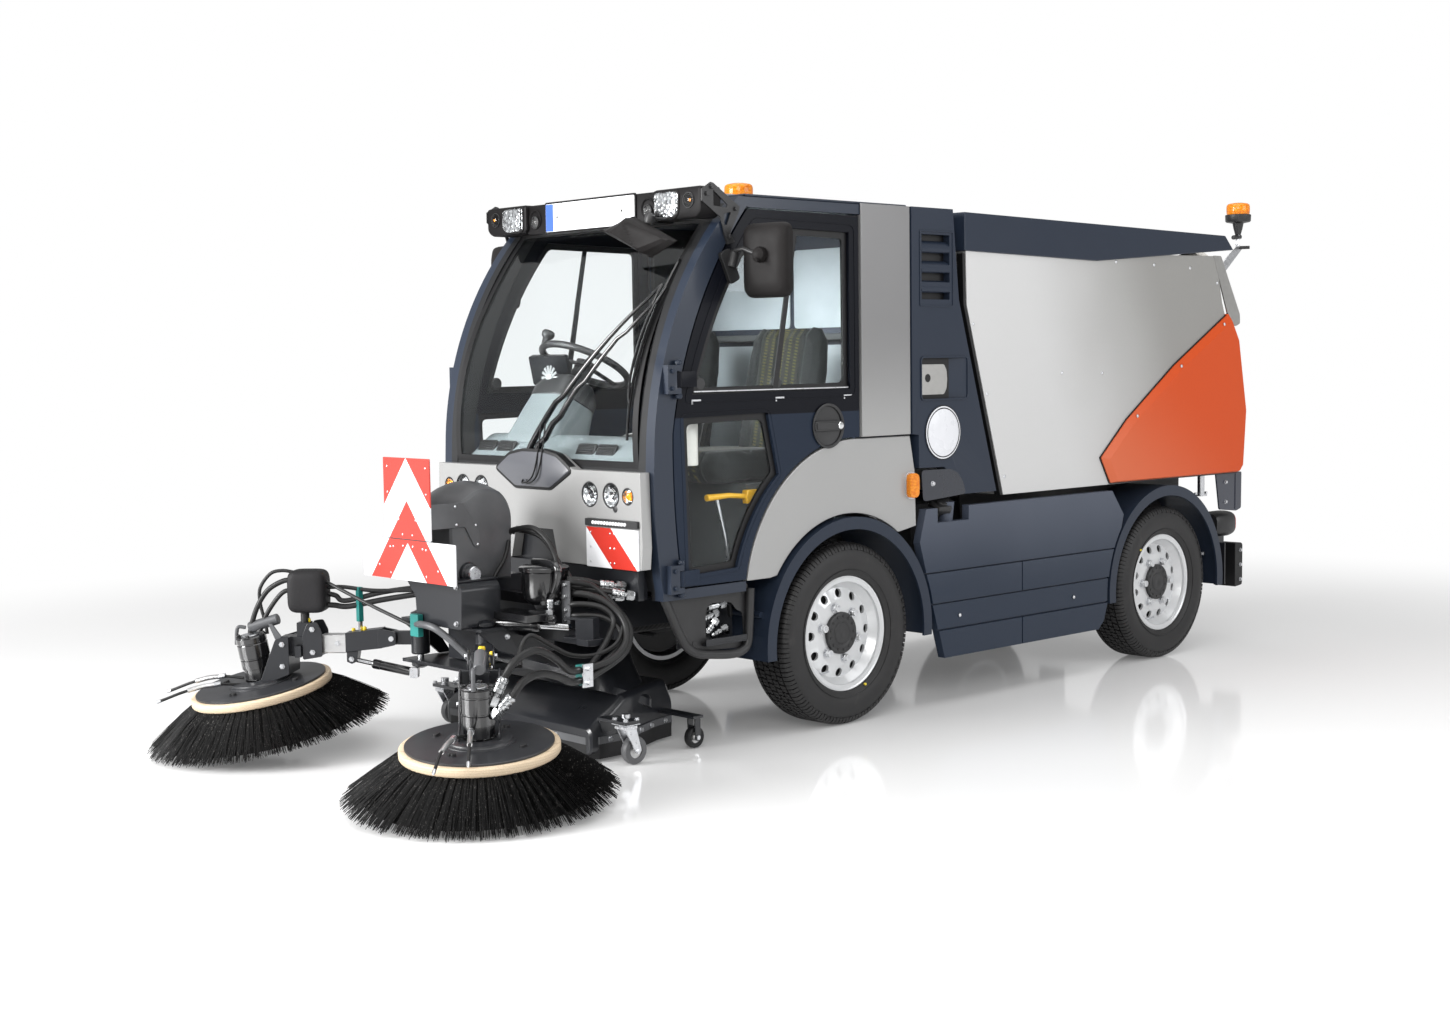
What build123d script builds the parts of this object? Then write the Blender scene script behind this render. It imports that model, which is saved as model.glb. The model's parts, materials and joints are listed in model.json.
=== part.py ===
"""Street sweeper truck: compact two-axle sweeper with a cab, a tipping hopper and two front disc brushes.

Everything is drawn in millimetres with +X to the vehicle's left, -Y forwards and +Z up. Stations along Y
are counted from the front axle, and save() moves every piece by SHIFT_Y so that the origin lies under the
middle of the whole machine, on the ground.
"""
from build123d import *
import math
import os

# ---- driving dimensions -------------------------------------------------------------------------
WHEELBASE = 2140
TYRE_R = 352
TYRE_W = 205
BODY_X = 640             # outer face of skirts and arches
CAB_X = BODY_X - 18      # outer face of cab panels and doors
HOPPER_X = BODY_X - 22   # outer face of the hopper's sides
WHEEL_X = BODY_X - 118   # middle of a tyre
ROOF_Z = 1997
CAB_FLOOR_Z = 600
DECK_Z = 815             # raised floor behind the driver's feet
HOPPER_FLOOR_Z = 830
FRONT_END = -2225        # foremost bristle
BACK_END = WHEELBASE + 785
AXLE_Z = TYRE_R
BACK = WHEELBASE         # rear axle's station
SHIFT_Y = -(FRONT_END + BACK_END) / 2

RUN = 0.05               # radial running clearance of a shaft in its bore
REST = 0.3               # gap between faces that only rest on each other
SEAM = 6                 # open seam between panels
JOIN = 1                 # depth to which fused pieces enter each other
PANEL_T = 30             # outer panel thickness
DOOR_T = 36              # door leaf thickness


# ---- drawing helpers ----------------------------------------------------------------------------
def box(x, y, z):
    """Block between the pairs x, y and z."""
    middle = [(a + b) / 2 for a, b in (x, y, z)]
    return Pos(*middle) * Box(x[1] - x[0], y[1] - y[0], z[1] - z[0])


def bar(start, end, radius):
    """Round bar between two points."""
    a, b = Vector(*start), Vector(*end)
    return Plane(origin=a, z_dir=(b - a)) * Cylinder(
        radius, (b - a).length, align=(Align.CENTER, Align.CENTER, Align.MIN))


def shaft(x, yz, radius):
    """Round bar along X between the pair x."""
    return bar((x[0], *yz), (x[1], *yz), radius)


def post(xy, z, radius):
    """Upright round bar between the pair z."""
    return bar((*xy, z[0]), (*xy, z[1]), radius)


def side_face(outline):
    """Flat face from (Y, Z) corners; an item that holds two corners is an arc through them."""
    edges = []
    last = None
    for item in outline:
        if isinstance(item[0], tuple):
            edges.append(ThreePointArc(last, item[0], item[1]))
            last = item[1]
        else:
            if last is not None:
                edges.append(Line(last, item))
            last = item
    first = outline[0]
    if last != first:
        edges.append(Line(last, first))
    return make_face(Wire(edges))


def side_plate(outline, x):
    """Plate with a (Y, Z) outline between the pair x."""
    return extrude(Plane.YZ.offset(x[0]) * side_face(outline), x[1] - x[0])


def front_plate(outline, y):
    """Plate with an (X, Z) outline between the pair y."""
    face = make_face(Polyline(*outline, close=True))
    return extrude(Plane(origin=(0, y[0], 0), x_dir=(1, 0, 0), z_dir=(0, -1, 0)) * face, -(y[1] - y[0]))


def tube(yz, outer, inner, x):
    """Tube along X about the point yz."""
    return shaft(x, yz, outer) - shaft((x[0] - JOIN, x[1] + JOIN), yz, inner)


def about(middle, half):
    """Pair that lies half to each side of the middle."""
    return middle - half, middle + half


def left(shape):
    """The piece as drawn, on the vehicle's left."""
    return shape


def right(shape):
    """The same piece on the vehicle's right."""
    return mirror(shape, about=Plane.YZ)


SIDES = (("left", left), ("right", right))


def pair(shape):
    """The piece and its mirror image, to be fused to what lies between them."""
    return shape + right(shape)


def both(*shapes):
    """The pieces and their mirror images as separate solids."""
    solids = [solid for shape in shapes for solid in shape.solids()]
    return Compound(children=solids + [right(solid) for solid in solids])


os.makedirs("parts", exist_ok=True)


def save(name, shape):
    """Write one sub-part in the finished frame."""
    export_step(Pos(0, SHIFT_Y, 0) * shape, "parts/" + name + ".step")


# ---- chassis: two rails, their cross members and the posts that carry cab and hopper -------------
RAIL_X = (160, 220)
RAIL_Z = (420, 520)
CROSS_Y = (-985, -925)            # front cross member
CROSS_X = 400
BEAM_X = 560                      # rear bumper beam
BEAM_Y = (BACK + 555, BACK + 605)
BEAM_Z = (430, 520)
RAIL_Y = (CROSS_Y[1], BEAM_Y[0])
CAB_POST_Y = (-800, -740)
DECK_POST_Y = (150, 210)
HOPPER_POST_Y = (BACK - 770, BACK - 720)
HOSE_R = 95
HOSE_LEVEL_Z = 357 + HOSE_R       # suction hose's level run, over the front beam
BRIDGE_Y = (250, 290)             # cross member that passes over the suction hose
BRIDGE_Z = (HOSE_LEVEL_Z + HOSE_R + 8, HOSE_LEVEL_Z + HOSE_R + 33)
MID_CROSS_Y = (BACK - 810, BACK - 770)
MID_CROSS_Z = (440, 500)
SKIRT_T = 36
OUTRIGGER_Y = ((760, 810), (BACK - 760, BACK - 710))
OUTRIGGER_Z = (450, 500)
OUTRIGGER_X = (RAIL_X[1] - JOIN, BODY_X - SKIRT_T - REST)
TOW_Y = BACK + 650
TOW_Z = (455, 495)
TOW_EYE_R = 35
TOW_BORE_R = 16
PIVOT = (BACK + 480, 790)         # hopper pivot (Y, Z)
PIVOT_R = 20
PIVOT_EYE_R = 32
TILT_BASE = (BACK - 640, 470)     # lower pin of the tilt cylinders (Y, Z)
TILT_EYE = (BACK - 40, 775)       # upper pin of the tilt cylinders (Y, Z)
TILT_X = 110
TILT_PIN_R = 14
TILT_FOOT_W = 20                  # half width of a cylinder's foot
FLAP_X = (420, 620)               # rear mudflaps
FLAP_Y = (BACK + 515, BACK + 523)
FLAP_Z = (295, 495)
FLAP_HANGER = (480, 10)           # place along X, radius

rail = box(RAIL_X, RAIL_Y, RAIL_Z)
rail += box(RAIL_X, CAB_POST_Y, (RAIL_Z[1] - JOIN, CAB_FLOOR_Z))
rail += box(RAIL_X, DECK_POST_Y, (RAIL_Z[1] - JOIN, DECK_Z))
rail += box(RAIL_X, HOPPER_POST_Y, (RAIL_Z[1] - JOIN, HOPPER_FLOOR_Z - REST))
rail += box(RAIL_X, BRIDGE_Y, (RAIL_Z[1] - JOIN, BRIDGE_Z[1]))
rail += box(RAIL_X, about(PIVOT[0], PIVOT_EYE_R), (RAIL_Z[1] - JOIN, PIVOT[1]))
rail += shaft(RAIL_X, PIVOT, PIVOT_EYE_R)
rail -= shaft((RAIL_X[0] - JOIN, RAIL_X[1] + JOIN), PIVOT, PIVOT_R + RUN)
for y in OUTRIGGER_Y:
    rail += box(OUTRIGGER_X, y, OUTRIGGER_Z)
rail += shaft((TILT_X - TILT_FOOT_W - 4, RAIL_X[0] + JOIN), TILT_BASE, TILT_PIN_R)
save("chassis_rails", both(rail))

hanger_top = (FLAP_HANGER[0], BEAM_Y[0] + JOIN, FLAP_Z[1] + 5)
flap = bar(hanger_top, (FLAP_HANGER[0], FLAP_Y[0] + JOIN, FLAP_Z[1] - 35), FLAP_HANGER[1])
flap += box(FLAP_X, FLAP_Y, FLAP_Z)
beam = box(about(0, BEAM_X), BEAM_Y, BEAM_Z) + pair(flap)
beam += box(about(0, TOW_EYE_R), (BEAM_Y[1] - JOIN, TOW_Y), TOW_Z)
beam += post((0, TOW_Y), TOW_Z, TOW_EYE_R)
beam -= post((0, TOW_Y), (TOW_Z[0] - JOIN, TOW_Z[1] + JOIN), TOW_BORE_R)
between_rails = about(0, RAIL_X[0])
save("cross_members", Compound(children=[
    box(about(0, CROSS_X), CROSS_Y, RAIL_Z),
    box(between_rails, BRIDGE_Y, BRIDGE_Z),
    box(between_rails, MID_CROSS_Y, MID_CROSS_Z),
    beam]))

ENGINE_X = 330
ENGINE_Y = (700, 1300)
ENGINE_TO_HOPPER = 40
save("engine_block", box(about(0, ENGINE_X), ENGINE_Y, (RAIL_Z[1], HOPPER_FLOOR_Z - ENGINE_TO_HOPPER)))

# ---- axles, knuckles and wheels -----------------------------------------------------------------
KINGPIN_X = WHEEL_X - 82
KINGPIN_R = 15
FIST_R = 28              # end of the axle beam round the kingpin
FIST_Z = about(AXLE_Z, 70)
KNUCKLE_Z = about(AXLE_Z, 90)
KNUCKLE_EAR_R = 26
KNUCKLE_EAR_T = 18
FLANGE_X = (WHEEL_X - 48, WHEEL_X - 36)
SPINDLE_R = 25
SPINDLE_END_X = WHEEL_X + 48
BEAM_DROP = (-62, -7)    # front beam's height from the axle line
BEAM_HALF_Y = 35
SPRING_X = (165, 215)
SPRING_HALF_L = 330
SPRING_T = 15
SPRING_SAG = 22          # spring's middle below the axle line
AXLE_R = 45
AXLE_END_R = 60
DIFF_X = 90
STEER_ARM_Y = (-160, -140)
STEER_ARM_Z = (AXLE_Z - 88, AXLE_Z - 76)


def leaf_springs(y):
    """Pair of arched leaf springs between an axle and the rails."""
    top = RAIL_Z[0] - REST
    low = AXLE_Z - SPRING_SAG
    ends = about(y, SPRING_HALF_L)
    arch = [(ends[0], top), ((y, low), (ends[1], top)), (ends[1], top - SPRING_T),
            ((y, low - SPRING_T), (ends[0], top - SPRING_T))]
    return pair(side_plate(arch, SPRING_X))


fist = post((KINGPIN_X, 0), FIST_Z, FIST_R)
fist_bore = post((KINGPIN_X, 0), KNUCKLE_Z, KINGPIN_R + RUN)
beam = box(about(0, KINGPIN_X - 10), about(0, BEAM_HALF_Y), [AXLE_Z + drop for drop in BEAM_DROP])
save("front_axle", beam + leaf_springs(0) + pair(fist) - pair(fist_bore))

axle_line = (BACK, AXLE_Z)
rear_axle = shaft(about(0, FLANGE_X[0] - 40), axle_line, AXLE_R)
rear_axle += shaft(about(0, DIFF_X), axle_line, AXLE_END_R)
rear_axle += pair(shaft((FLANGE_X[0] - 49, FLANGE_X[0] + 6), axle_line, AXLE_END_R))
rear_axle += pair(shaft((FLANGE_X[0], SPINDLE_END_X), axle_line, SPINDLE_R))
save("rear_axle", rear_axle + leaf_springs(BACK))

knuckle = post((KINGPIN_X, 0), KNUCKLE_Z, KINGPIN_R)
for z in (KNUCKLE_Z[0], KNUCKLE_Z[1] - KNUCKLE_EAR_T):
    ear_z = (z, z + KNUCKLE_EAR_T)
    knuckle += post((KINGPIN_X, 0), ear_z, KNUCKLE_EAR_R)
    knuckle += box((KINGPIN_X, FLANGE_X[1] - 2), about(0, 22), ear_z)
knuckle += box(FLANGE_X, about(0, 40), KNUCKLE_Z)
knuckle += shaft((FLANGE_X[1] - JOIN, SPINDLE_END_X), (0, AXLE_Z), SPINDLE_R)
knuckle += box((KINGPIN_X - 110, KINGPIN_X - 10), STEER_ARM_Y, STEER_ARM_Z)
knuckle += box((KINGPIN_X - 30, KINGPIN_X), (STEER_ARM_Y[0], -10), STEER_ARM_Z)
for label, turn in SIDES:
    save(label + "_knuckle", turn(knuckle))

RIM_HALF_W = 77          # over the flanges
RIM_SEAT_R = 207
RIM_FLANGE_R = 221
RIM_LIP = 6              # flange thickness
HUB_R = 62
DISC_T = 12
HUB_CAP = (79, 63)           # radius, outer face from the tyre's middle
HAND_HOLES = (12, 154, 17, 15)   # count, circle radius, hole radius, turned by (degrees)
STUDS = (6, 102, 14, 0)          # count, circle radius, nut radius, turned by
FRONT_TURN = -15                 # how far the front wheels stand turned from the rear ones
NUT_X = (WHEEL_X + 43, WHEEL_X + 72)
FIT = 0.5                # bead to rim


def turned(profile, station):
    """Solid turned about an axle from (X from the tyre's middle, radius) corners."""
    corners = [(WHEEL_X + x, 0, r) for x, r in profile]
    return Pos(0, station, AXLE_Z) * revolve(make_face(Polyline(*corners, close=True)), Axis.X, 360)


def round_pattern(pattern, x, station, turned_by):
    """Bars along X on a circle about an axle, from (count, circle radius, bar radius, first bar's angle)."""
    count, circle, radius, first = pattern
    turns = [2 * math.pi * i / count + math.radians(first + turned_by) for i in range(count)]
    places = [(station + circle * math.cos(turn), AXLE_Z + circle * math.sin(turn)) for turn in turns]
    return [shaft(x, place, radius) for place in places]


bead = RIM_HALF_W - RIM_LIP - FIT
half_profile = [(bead - FIT, RIM_SEAT_R + FIT), (bead, RIM_FLANGE_R + 5), (TYRE_W / 2, TYRE_R - 77),
                (TYRE_W / 2, TYRE_R - 52), (TYRE_W / 2 - 16, TYRE_R - 12), (TYRE_W / 2 - 34.5, TYRE_R)]
TYRE_PROFILE = [(-x, r) for x, r in half_profile] + half_profile[::-1]
WELL_R = 200
RIM_PROFILE = [
    (-RIM_HALF_W, WELL_R), (-RIM_HALF_W, RIM_FLANGE_R), (-RIM_HALF_W + RIM_LIP, RIM_FLANGE_R),
    (-RIM_HALF_W + RIM_LIP, RIM_SEAT_R), (RIM_HALF_W - RIM_LIP, RIM_SEAT_R),
    (RIM_HALF_W - RIM_LIP, RIM_FLANGE_R), (RIM_HALF_W, RIM_FLANGE_R), (RIM_HALF_W, WELL_R),
    (66, WELL_R - 2), (38, 174), (50, 130),
    (50, HUB_CAP[0]), (HUB_CAP[1], HUB_CAP[0]), (HUB_CAP[1], 20), (54, 20), (54, SPINDLE_R + RUN), (-22, SPINDLE_R + RUN), (-22, HUB_R),
    (40, HUB_R), (40, 128), (26, 176), (53, WELL_R)]
for end, station, phase in (("front", 0, FRONT_TURN), ("rear", BACK, 0)):
    tyre = turned(TYRE_PROFILE, station)
    rim = turned(RIM_PROFILE, station)
    rim -= round_pattern(HAND_HOLES, about(WHEEL_X + 48, 30), station, phase)
    rim += round_pattern(STUDS, NUT_X, station, phase)
    for label, turn in SIDES:
        save(end + "_" + label + "_tyre", turn(tyre))
        save(end + "_" + label + "_rim", turn(rim))

# ---- cab structure: pillars, rear wall, roof rails and the door hinges ----------------------------
DOOR_TOP_Z = ROOF_Z - 55
FRAME_TOP_Z = ROOF_Z - 12
REAR_WALL_Y = (345, 360)
FLOOR_T = 15
PILLAR_X = (CAB_X - 82, CAB_X)
SILL_Z = (570, CAB_FLOOR_Z + 6)
# front of the A-pillar, from the sill up to the roof, as (Y, Z)
PILLAR_FRONT = [(-945, CAB_FLOOR_Z), ((-974, 830), (-976, 1080)), ((-842, 1615), (-560, FRAME_TOP_Z))]
# front edge of the door, and the pillar's rear edge behind it
DOOR_FRONT = [(-850, CAB_FLOOR_Z + 12), ((-880, 880), (-885, 1150)), ((-757, 1575), (-515, DOOR_TOP_Z))]
PILLAR_REAR = [(-490, FRAME_TOP_Z), (-490, DOOR_TOP_Z + 8), (-520, DOOR_TOP_Z + 8),
               ((-763, 1576), (-891, 1150)), ((-886, 880), (-856, CAB_FLOOR_Z))]
HEADER_Y = (-560, -500)
SCUTTLE = ((-975, -935), (985, 1030))     # cross member under the windscreen (Y, Z)
INNER_X = CAB_X - 62                      # inner face of rails and rear pillars
WALL_X = CAB_X - PANEL_T - REST           # edge of the rear wall, inside the panels

HINGE = (CAB_X + 14, -872)                # door hinge axis (X, Y)
HINGE_PIN_R = 6
HINGE_R = 12
HINGE_Z = (1340, 645)                     # middles of the two hinges
HINGE_BASE_HALF_Z = 50
HINGE_LEAF_Z = 20                         # height of a fixed knuckle
HINGE_OUT_X = CAB_X + 26
HINGE_HALF_Z = HINGE_BASE_HALF_Z - HINGE_LEAF_Z - 3

side = side_plate(PILLAR_FRONT + PILLAR_REAR, PILLAR_X)
side += box((INNER_X, CAB_X), (HEADER_Y[1] - 10, REAR_WALL_Y[1]), (DOOR_TOP_Z + SEAM, FRAME_TOP_Z))
side += box((INNER_X, CAB_X), (-945, -545), SILL_Z)
side += box((INNER_X, WALL_X), (75, REAR_WALL_Y[1]), (DECK_Z + FLOOR_T, DOOR_TOP_Z + 8))
for z in HINGE_Z:
    ends = about(z, HINGE_BASE_HALF_Z)
    side += box((CAB_X - JOIN, HINGE_OUT_X), (-930, -888), ends)
    for leaf_z in ((ends[0], ends[0] + HINGE_LEAF_Z), (ends[1] - HINGE_LEAF_Z, ends[1])):
        side += box((CAB_X - JOIN, HINGE_OUT_X), (-930, HINGE[1] + 4), leaf_z)
    side += post(HINGE, about(z, HINGE_BASE_HALF_Z - JOIN), HINGE_PIN_R)
cab_frame = pair(side)
cab_frame += box(about(0, WALL_X), REAR_WALL_Y, (DECK_Z + FLOOR_T, FRAME_TOP_Z))
cab_frame += box(about(0, INNER_X + JOIN), HEADER_Y, (DOOR_TOP_Z - 2, FRAME_TOP_Z))
cab_frame += box(about(0, INNER_X), *SCUTTLE)
save("cab_frame", cab_frame)

FLOOR_X = PILLAR_X[0] - 2
SEAT_X = (75, CAB_X - 87)
SEAT_BASE_Z = 950
FLOOR_FRONT_Y = (-940, -925)
STEP_Y = (-455, -440)                     # riser between foot well and deck
under_wall = REAR_WALL_Y[0] - REST
bulkhead_z = SCUTTLE[1][0] - REST
floor = side_plate([
    (FLOOR_FRONT_Y[0], bulkhead_z), (FLOOR_FRONT_Y[0], CAB_FLOOR_Z), (STEP_Y[1], CAB_FLOOR_Z),
    (STEP_Y[1], DECK_Z),
    (under_wall, DECK_Z), (under_wall, DECK_Z + FLOOR_T), (STEP_Y[0], DECK_Z + FLOOR_T),
    (STEP_Y[0], CAB_FLOOR_Z + FLOOR_T), (FLOOR_FRONT_Y[1], CAB_FLOOR_Z + FLOOR_T),
    (FLOOR_FRONT_Y[1], bulkhead_z)],
    about(0, FLOOR_X))
floor += box(about(0, INNER_X - 1), (70, under_wall), (DECK_Z, DECK_Z + FLOOR_T))
floor += pair(box(SEAT_X, (STEP_Y[0], 0), (DECK_Z + FLOOR_T - JOIN, SEAT_BASE_Z)))
save("cab_floor", floor)

roof_top = box(about(0, CAB_X - 10), (-520, REAR_WALL_Y[1]), (FRAME_TOP_Z + REST, ROOF_Z))
lining_y = (HEADER_Y[1] + 2 * SEAM, REAR_WALL_Y[0] - SEAM)
roof_lining = box(about(0, INNER_X - SEAM), lining_y, (ROOF_Z - 32, ROOF_Z))
save("cab_roof", roof_top + roof_lining)

glass_foot = SCUTTLE[1][1] + REST
save("windscreen", side_plate([
    (-972, glass_foot), ((-936, 1400), (-842, 1608)), ((-728, 1785), (-566, FRAME_TOP_Z - 7)),
    (-561, FRAME_TOP_Z - 11),
    ((-723, 1781), (-836, 1604)), ((-930, 1398), (-966, glass_foot))], about(0, PILLAR_X[0] - REST)))

# ---- cab skin: front panel, bumper, quarter panels, rear pillars, skirts and arches ----------------
FRONT_Y = (-1024, -980)
FRONT_X = CAB_X - 22
FRONT_Z = (684, 1022)
LAMP_Z = 937
LAMPS = ((325, 45), (442, 45), (532, 30))   # X, radius
BOARD = (282, 141)                          # warning board, wide and high
BOARD_X = 451
BOARD_Z = FRONT_Z[0] - 2
STRIP_Z = (828, 853)                        # daytime lamp
LAMP_DEPTH = 22
STRIP_DEPTH = 12
BADGE_TOP = ((230, FRONT_Z[1]), (140, 1072), (0, 1088))
GRILLE_NOTCH = ((-140, FRONT_Z[0]), (-110, 800), (110, 800), (140, FRONT_Z[0]))
waist = (FRONT_X + 8, 760)
panel = front_plate([
    (-FRONT_X, FRONT_Z[0]), *GRILLE_NOTCH, (FRONT_X, FRONT_Z[0]), waist, (FRONT_X, FRONT_Z[1]), *BADGE_TOP,
    *[(-x, z) for x, z in BADGE_TOP[1::-1]], (-FRONT_X, FRONT_Z[1]), (-waist[0], waist[1])], FRONT_Y)
for x, r in LAMPS:
    socket = bar((x, FRONT_Y[0] - JOIN, LAMP_Z), (x, FRONT_Y[0] + LAMP_DEPTH, LAMP_Z), r + REST)
    panel -= pair(socket)
strip_y = (FRONT_Y[0] - JOIN, FRONT_Y[0] + STRIP_DEPTH)
panel -= pair(box(about(BOARD_X, BOARD[0] / 2), strip_y, STRIP_Z))
save("front_panel", panel)

BUMPER_X = CAB_X - 62
BUMPER_Y = (-1005, FRONT_Y[1], FLOOR_FRONT_Y[0] - SEAM)
BUMPER_Z = (573, 678)
bumper = box(about(0, BUMPER_X), (BUMPER_Y[0], BUMPER_Y[1] + JOIN), BUMPER_Z)
bumper += box(about(0, PILLAR_X[0] - REST), BUMPER_Y[1:], (BUMPER_Z[0], SCUTTLE[1][0] - 5))
save("bumper", bumper)

ARCH_Z = AXLE_Z - 12
ARCH_R = (TYRE_R + 63, TYRE_R + 110)
ARCH_CUT_R = ARCH_R[1] + 13
ARCH_OFFSET_Y = 5        # arches sit a little behind the axles
ARCH_SHEET = 5
ARCH_FLOOR_Z = 300       # lower ends of the arches
ARCH_IN_X = 300
STAY_Z = 470
STAY_R = 12
STAY_REACH = round(math.sqrt((ARCH_R[1] + 8) ** 2 - (STAY_Z - ARCH_Z) ** 2))     # stays touch the arch's outside
SKIN_X = (CAB_X - PANEL_T, CAB_X)
QUARTER_TOP_Z = 1098
VENT_PANEL_Y = (75, REAR_WALL_Y[1] - 3)
# quarter panel behind the door, as (Y, Z); its first arc is the door's lower rear edge
QUARTER = [(388, 960), (REAR_WALL_Y[1], QUARTER_TOP_Z), (74, QUARTER_TOP_Z),
           ((-409, 886), (-538, CAB_FLOOR_Z + 6)), (-420, CAB_FLOOR_Z + 6), (395, 740)]


def wheel_hole(station):
    """Round hole of a wheel arch, right through the skin."""
    return shaft((SKIN_X[0] - 100, BODY_X + 60), (station + ARCH_OFFSET_Y, ARCH_Z), ARCH_CUT_R)


quarter = side_plate(QUARTER, SKIN_X) - wheel_hole(0)
upright = box((SKIN_X[0], CAB_X + 8), VENT_PANEL_Y, (QUARTER_TOP_Z + SEAM, DOOR_TOP_Z + 4))
upright += box((CAB_X + REST, CAB_X + 8), VENT_PANEL_Y, (DOOR_TOP_Z + 3, ROOF_Z - 7))
save("quarter_panels", both(quarter, upright))

PILLAR_TOP_Z = ROOF_Z - 7
REAR_PILLAR_X = (CAB_X - 37, BODY_X - 5)
BEHIND_WALL_Y = REAR_WALL_Y[1] + REST
REAR_PILLAR = [(BEHIND_WALL_Y, PILLAR_TOP_Z), (BEHIND_WALL_Y, 1104), (398, 1100), (400, 968), (552, 966),
               (664, 883), (680, 850), (885, 850), (648, 1631), (612, PILLAR_TOP_Z)]
VENTS = (4, (420, 590), 1632, 68, 50)       # count, Y pair, lowest edge, pitch, height
POCKET = ((412, 700), (1236, 1405), 20)     # Y pair, Z pair, depth
SIGN = (543, 1104, 108, 8)                  # round sign: Y, Z, radius, thickness
through = (REAR_PILLAR_X[0] - JOIN, REAR_PILLAR_X[1] + JOIN)
rear_pillar = side_plate(REAR_PILLAR, REAR_PILLAR_X)
for i in range(VENTS[0]):
    low = VENTS[2] + i * VENTS[3]
    rear_pillar -= box(through, VENTS[1], (low, low + VENTS[4]))
rear_pillar -= box((REAR_PILLAR_X[1] - POCKET[2], through[1]), POCKET[0], POCKET[1])
rear_pillar += shaft((REAR_PILLAR_X[1] - JOIN, REAR_PILLAR_X[1] + SIGN[3] - 5), SIGN[:2], SIGN[2])
cap = box(about(0, CAB_X - 32), (BEHIND_WALL_Y, 608), (PILLAR_TOP_Z - 30, PILLAR_TOP_Z))
save("rear_pillars", pair(rear_pillar) + cap)

SKIRT_X = (BODY_X - SKIRT_T, BODY_X)
SKIRT_TOP_Z = 803
FUEL_Y = (505, 700)      # notch round the fuel cap
FUEL_Z = 745
CAP_R = 30
SKIRT = [(435, SKIRT_TOP_Z), (FUEL_Y[0], SKIRT_TOP_Z), (FUEL_Y[0], FUEL_Z), (FUEL_Y[1], FUEL_Z),
         (FUEL_Y[1], SKIRT_TOP_Z), (BACK - 440, SKIRT_TOP_Z), (BACK - 352, 692), (BACK - 440, 400),
         (BACK - 500, 231), (BACK - 540, 194), (546, 194), (396, 672)]
ROW_Z = (542, 415, 307)  # lower edges of the seams between skirt rows
SPLIT_Y = 1050
GROOVE = 12
BAND_DEPTH = 4
skirt_y = (300, BACK - 240)
skirt = side_plate(SKIRT, SKIRT_X) - wheel_hole(0) - wheel_hole(BACK)
for z in ROW_Z:
    skirt -= box((BODY_X - GROOVE, BODY_X + JOIN), skirt_y, (z, z + SEAM))
for z in ((ROW_Z[1] + SEAM, ROW_Z[0]), (ROW_Z[2] - 113, ROW_Z[2])):
    skirt -= box((BODY_X - GROOVE, BODY_X + JOIN), (SPLIT_Y, SPLIT_Y + SEAM), z)
skirt -= box((BODY_X - BAND_DEPTH, BODY_X + JOIN), skirt_y, (ROW_Z[2] + SEAM, ROW_Z[1]))
cap_y = sum(FUEL_Y) / 2
skirt += bar((BODY_X - 44, cap_y, FUEL_Z - JOIN), (BODY_X - 34, cap_y, FUEL_Z + 80), CAP_R)
save("side_skirts", both(skirt))

arches = []
for station in (0, BACK):
    middle = station + ARCH_OFFSET_Y
    arch = tube((middle, ARCH_Z), ARCH_R[1], ARCH_R[1] - ARCH_SHEET, (ARCH_IN_X, BODY_X))
    arch += tube((middle, ARCH_Z), ARCH_R[1], ARCH_R[0], (BODY_X - 10, BODY_X))
    arch -= box((ARCH_IN_X - JOIN, BODY_X + JOIN), about(middle, ARCH_CUT_R), (-ARCH_CUT_R, ARCH_FLOOR_Z))
    for reach in (-STAY_REACH, STAY_REACH):
        arch += shaft((RAIL_X[1] + REST, SKIRT_X[0] - 4), (middle + reach, STAY_Z), STAY_R)
    arches.append(arch)
save("wheel_arches", both(*arches))

# ---- doors, their glass and the mirrors that ride on them -----------------------------------------
DOOR_X = (CAB_X - DOOR_T, CAB_X)
DOOR_BACK_Y = VENT_PANEL_Y[0] - 8
DOOR = DOOR_FRONT + [(DOOR_BACK_Y, DOOR_TOP_Z), (DOOR_BACK_Y, QUARTER_TOP_Z + SEAM),
                     ((-418, 892), (-545, CAB_FLOOR_Z + 12))]
UPPER_WINDOW = [(-795, 1285), ((-672, 1590), (-470, DOOR_TOP_Z - 57)), (15, DOOR_TOP_Z - 64), (17, 1290)]
LOWER_WINDOW = [(-838, 1205), (-425, 1212), (-372, 985), ((-507, 835), (-588, 660)), (-822, 650)]
WINDOWS = (UPPER_WINDOW, LOWER_WINDOW)
GLASS_X = (CAB_X - 22, CAB_X - 17)
HANDLE = (-110, 1153, 78)                   # Y, Z and radius of the round recess
RECESS_DEPTH = 12
LEVER = (62, 17)                            # half length, half height

door = side_plate(DOOR, DOOR_X)
for window in WINDOWS:
    door -= side_plate(window, (DOOR_X[0] - JOIN, DOOR_X[1] + JOIN))
door -= shaft((CAB_X - RECESS_DEPTH, CAB_X + JOIN), HANDLE[:2], HANDLE[2])
door += box((CAB_X - RECESS_DEPTH - JOIN, CAB_X), about(HANDLE[0], LEVER[0]), about(HANDLE[1], LEVER[1]))
for z in HINGE_Z:
    door += box((CAB_X + 2, HINGE_OUT_X - 6), (HINGE[1], -790), about(z, HINGE_HALF_Z))
    door += box((CAB_X - JOIN, HINGE_OUT_X - 6), (-830, -790), about(z, HINGE_HALF_Z))
    door += post(HINGE, about(z, HINGE_HALF_Z), HINGE_R)
    door -= post(HINGE, about(z, HINGE_BASE_HALF_Z), HINGE_PIN_R + RUN)
panes = [side_plate(window, GLASS_X) for window in WINDOWS]

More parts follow.
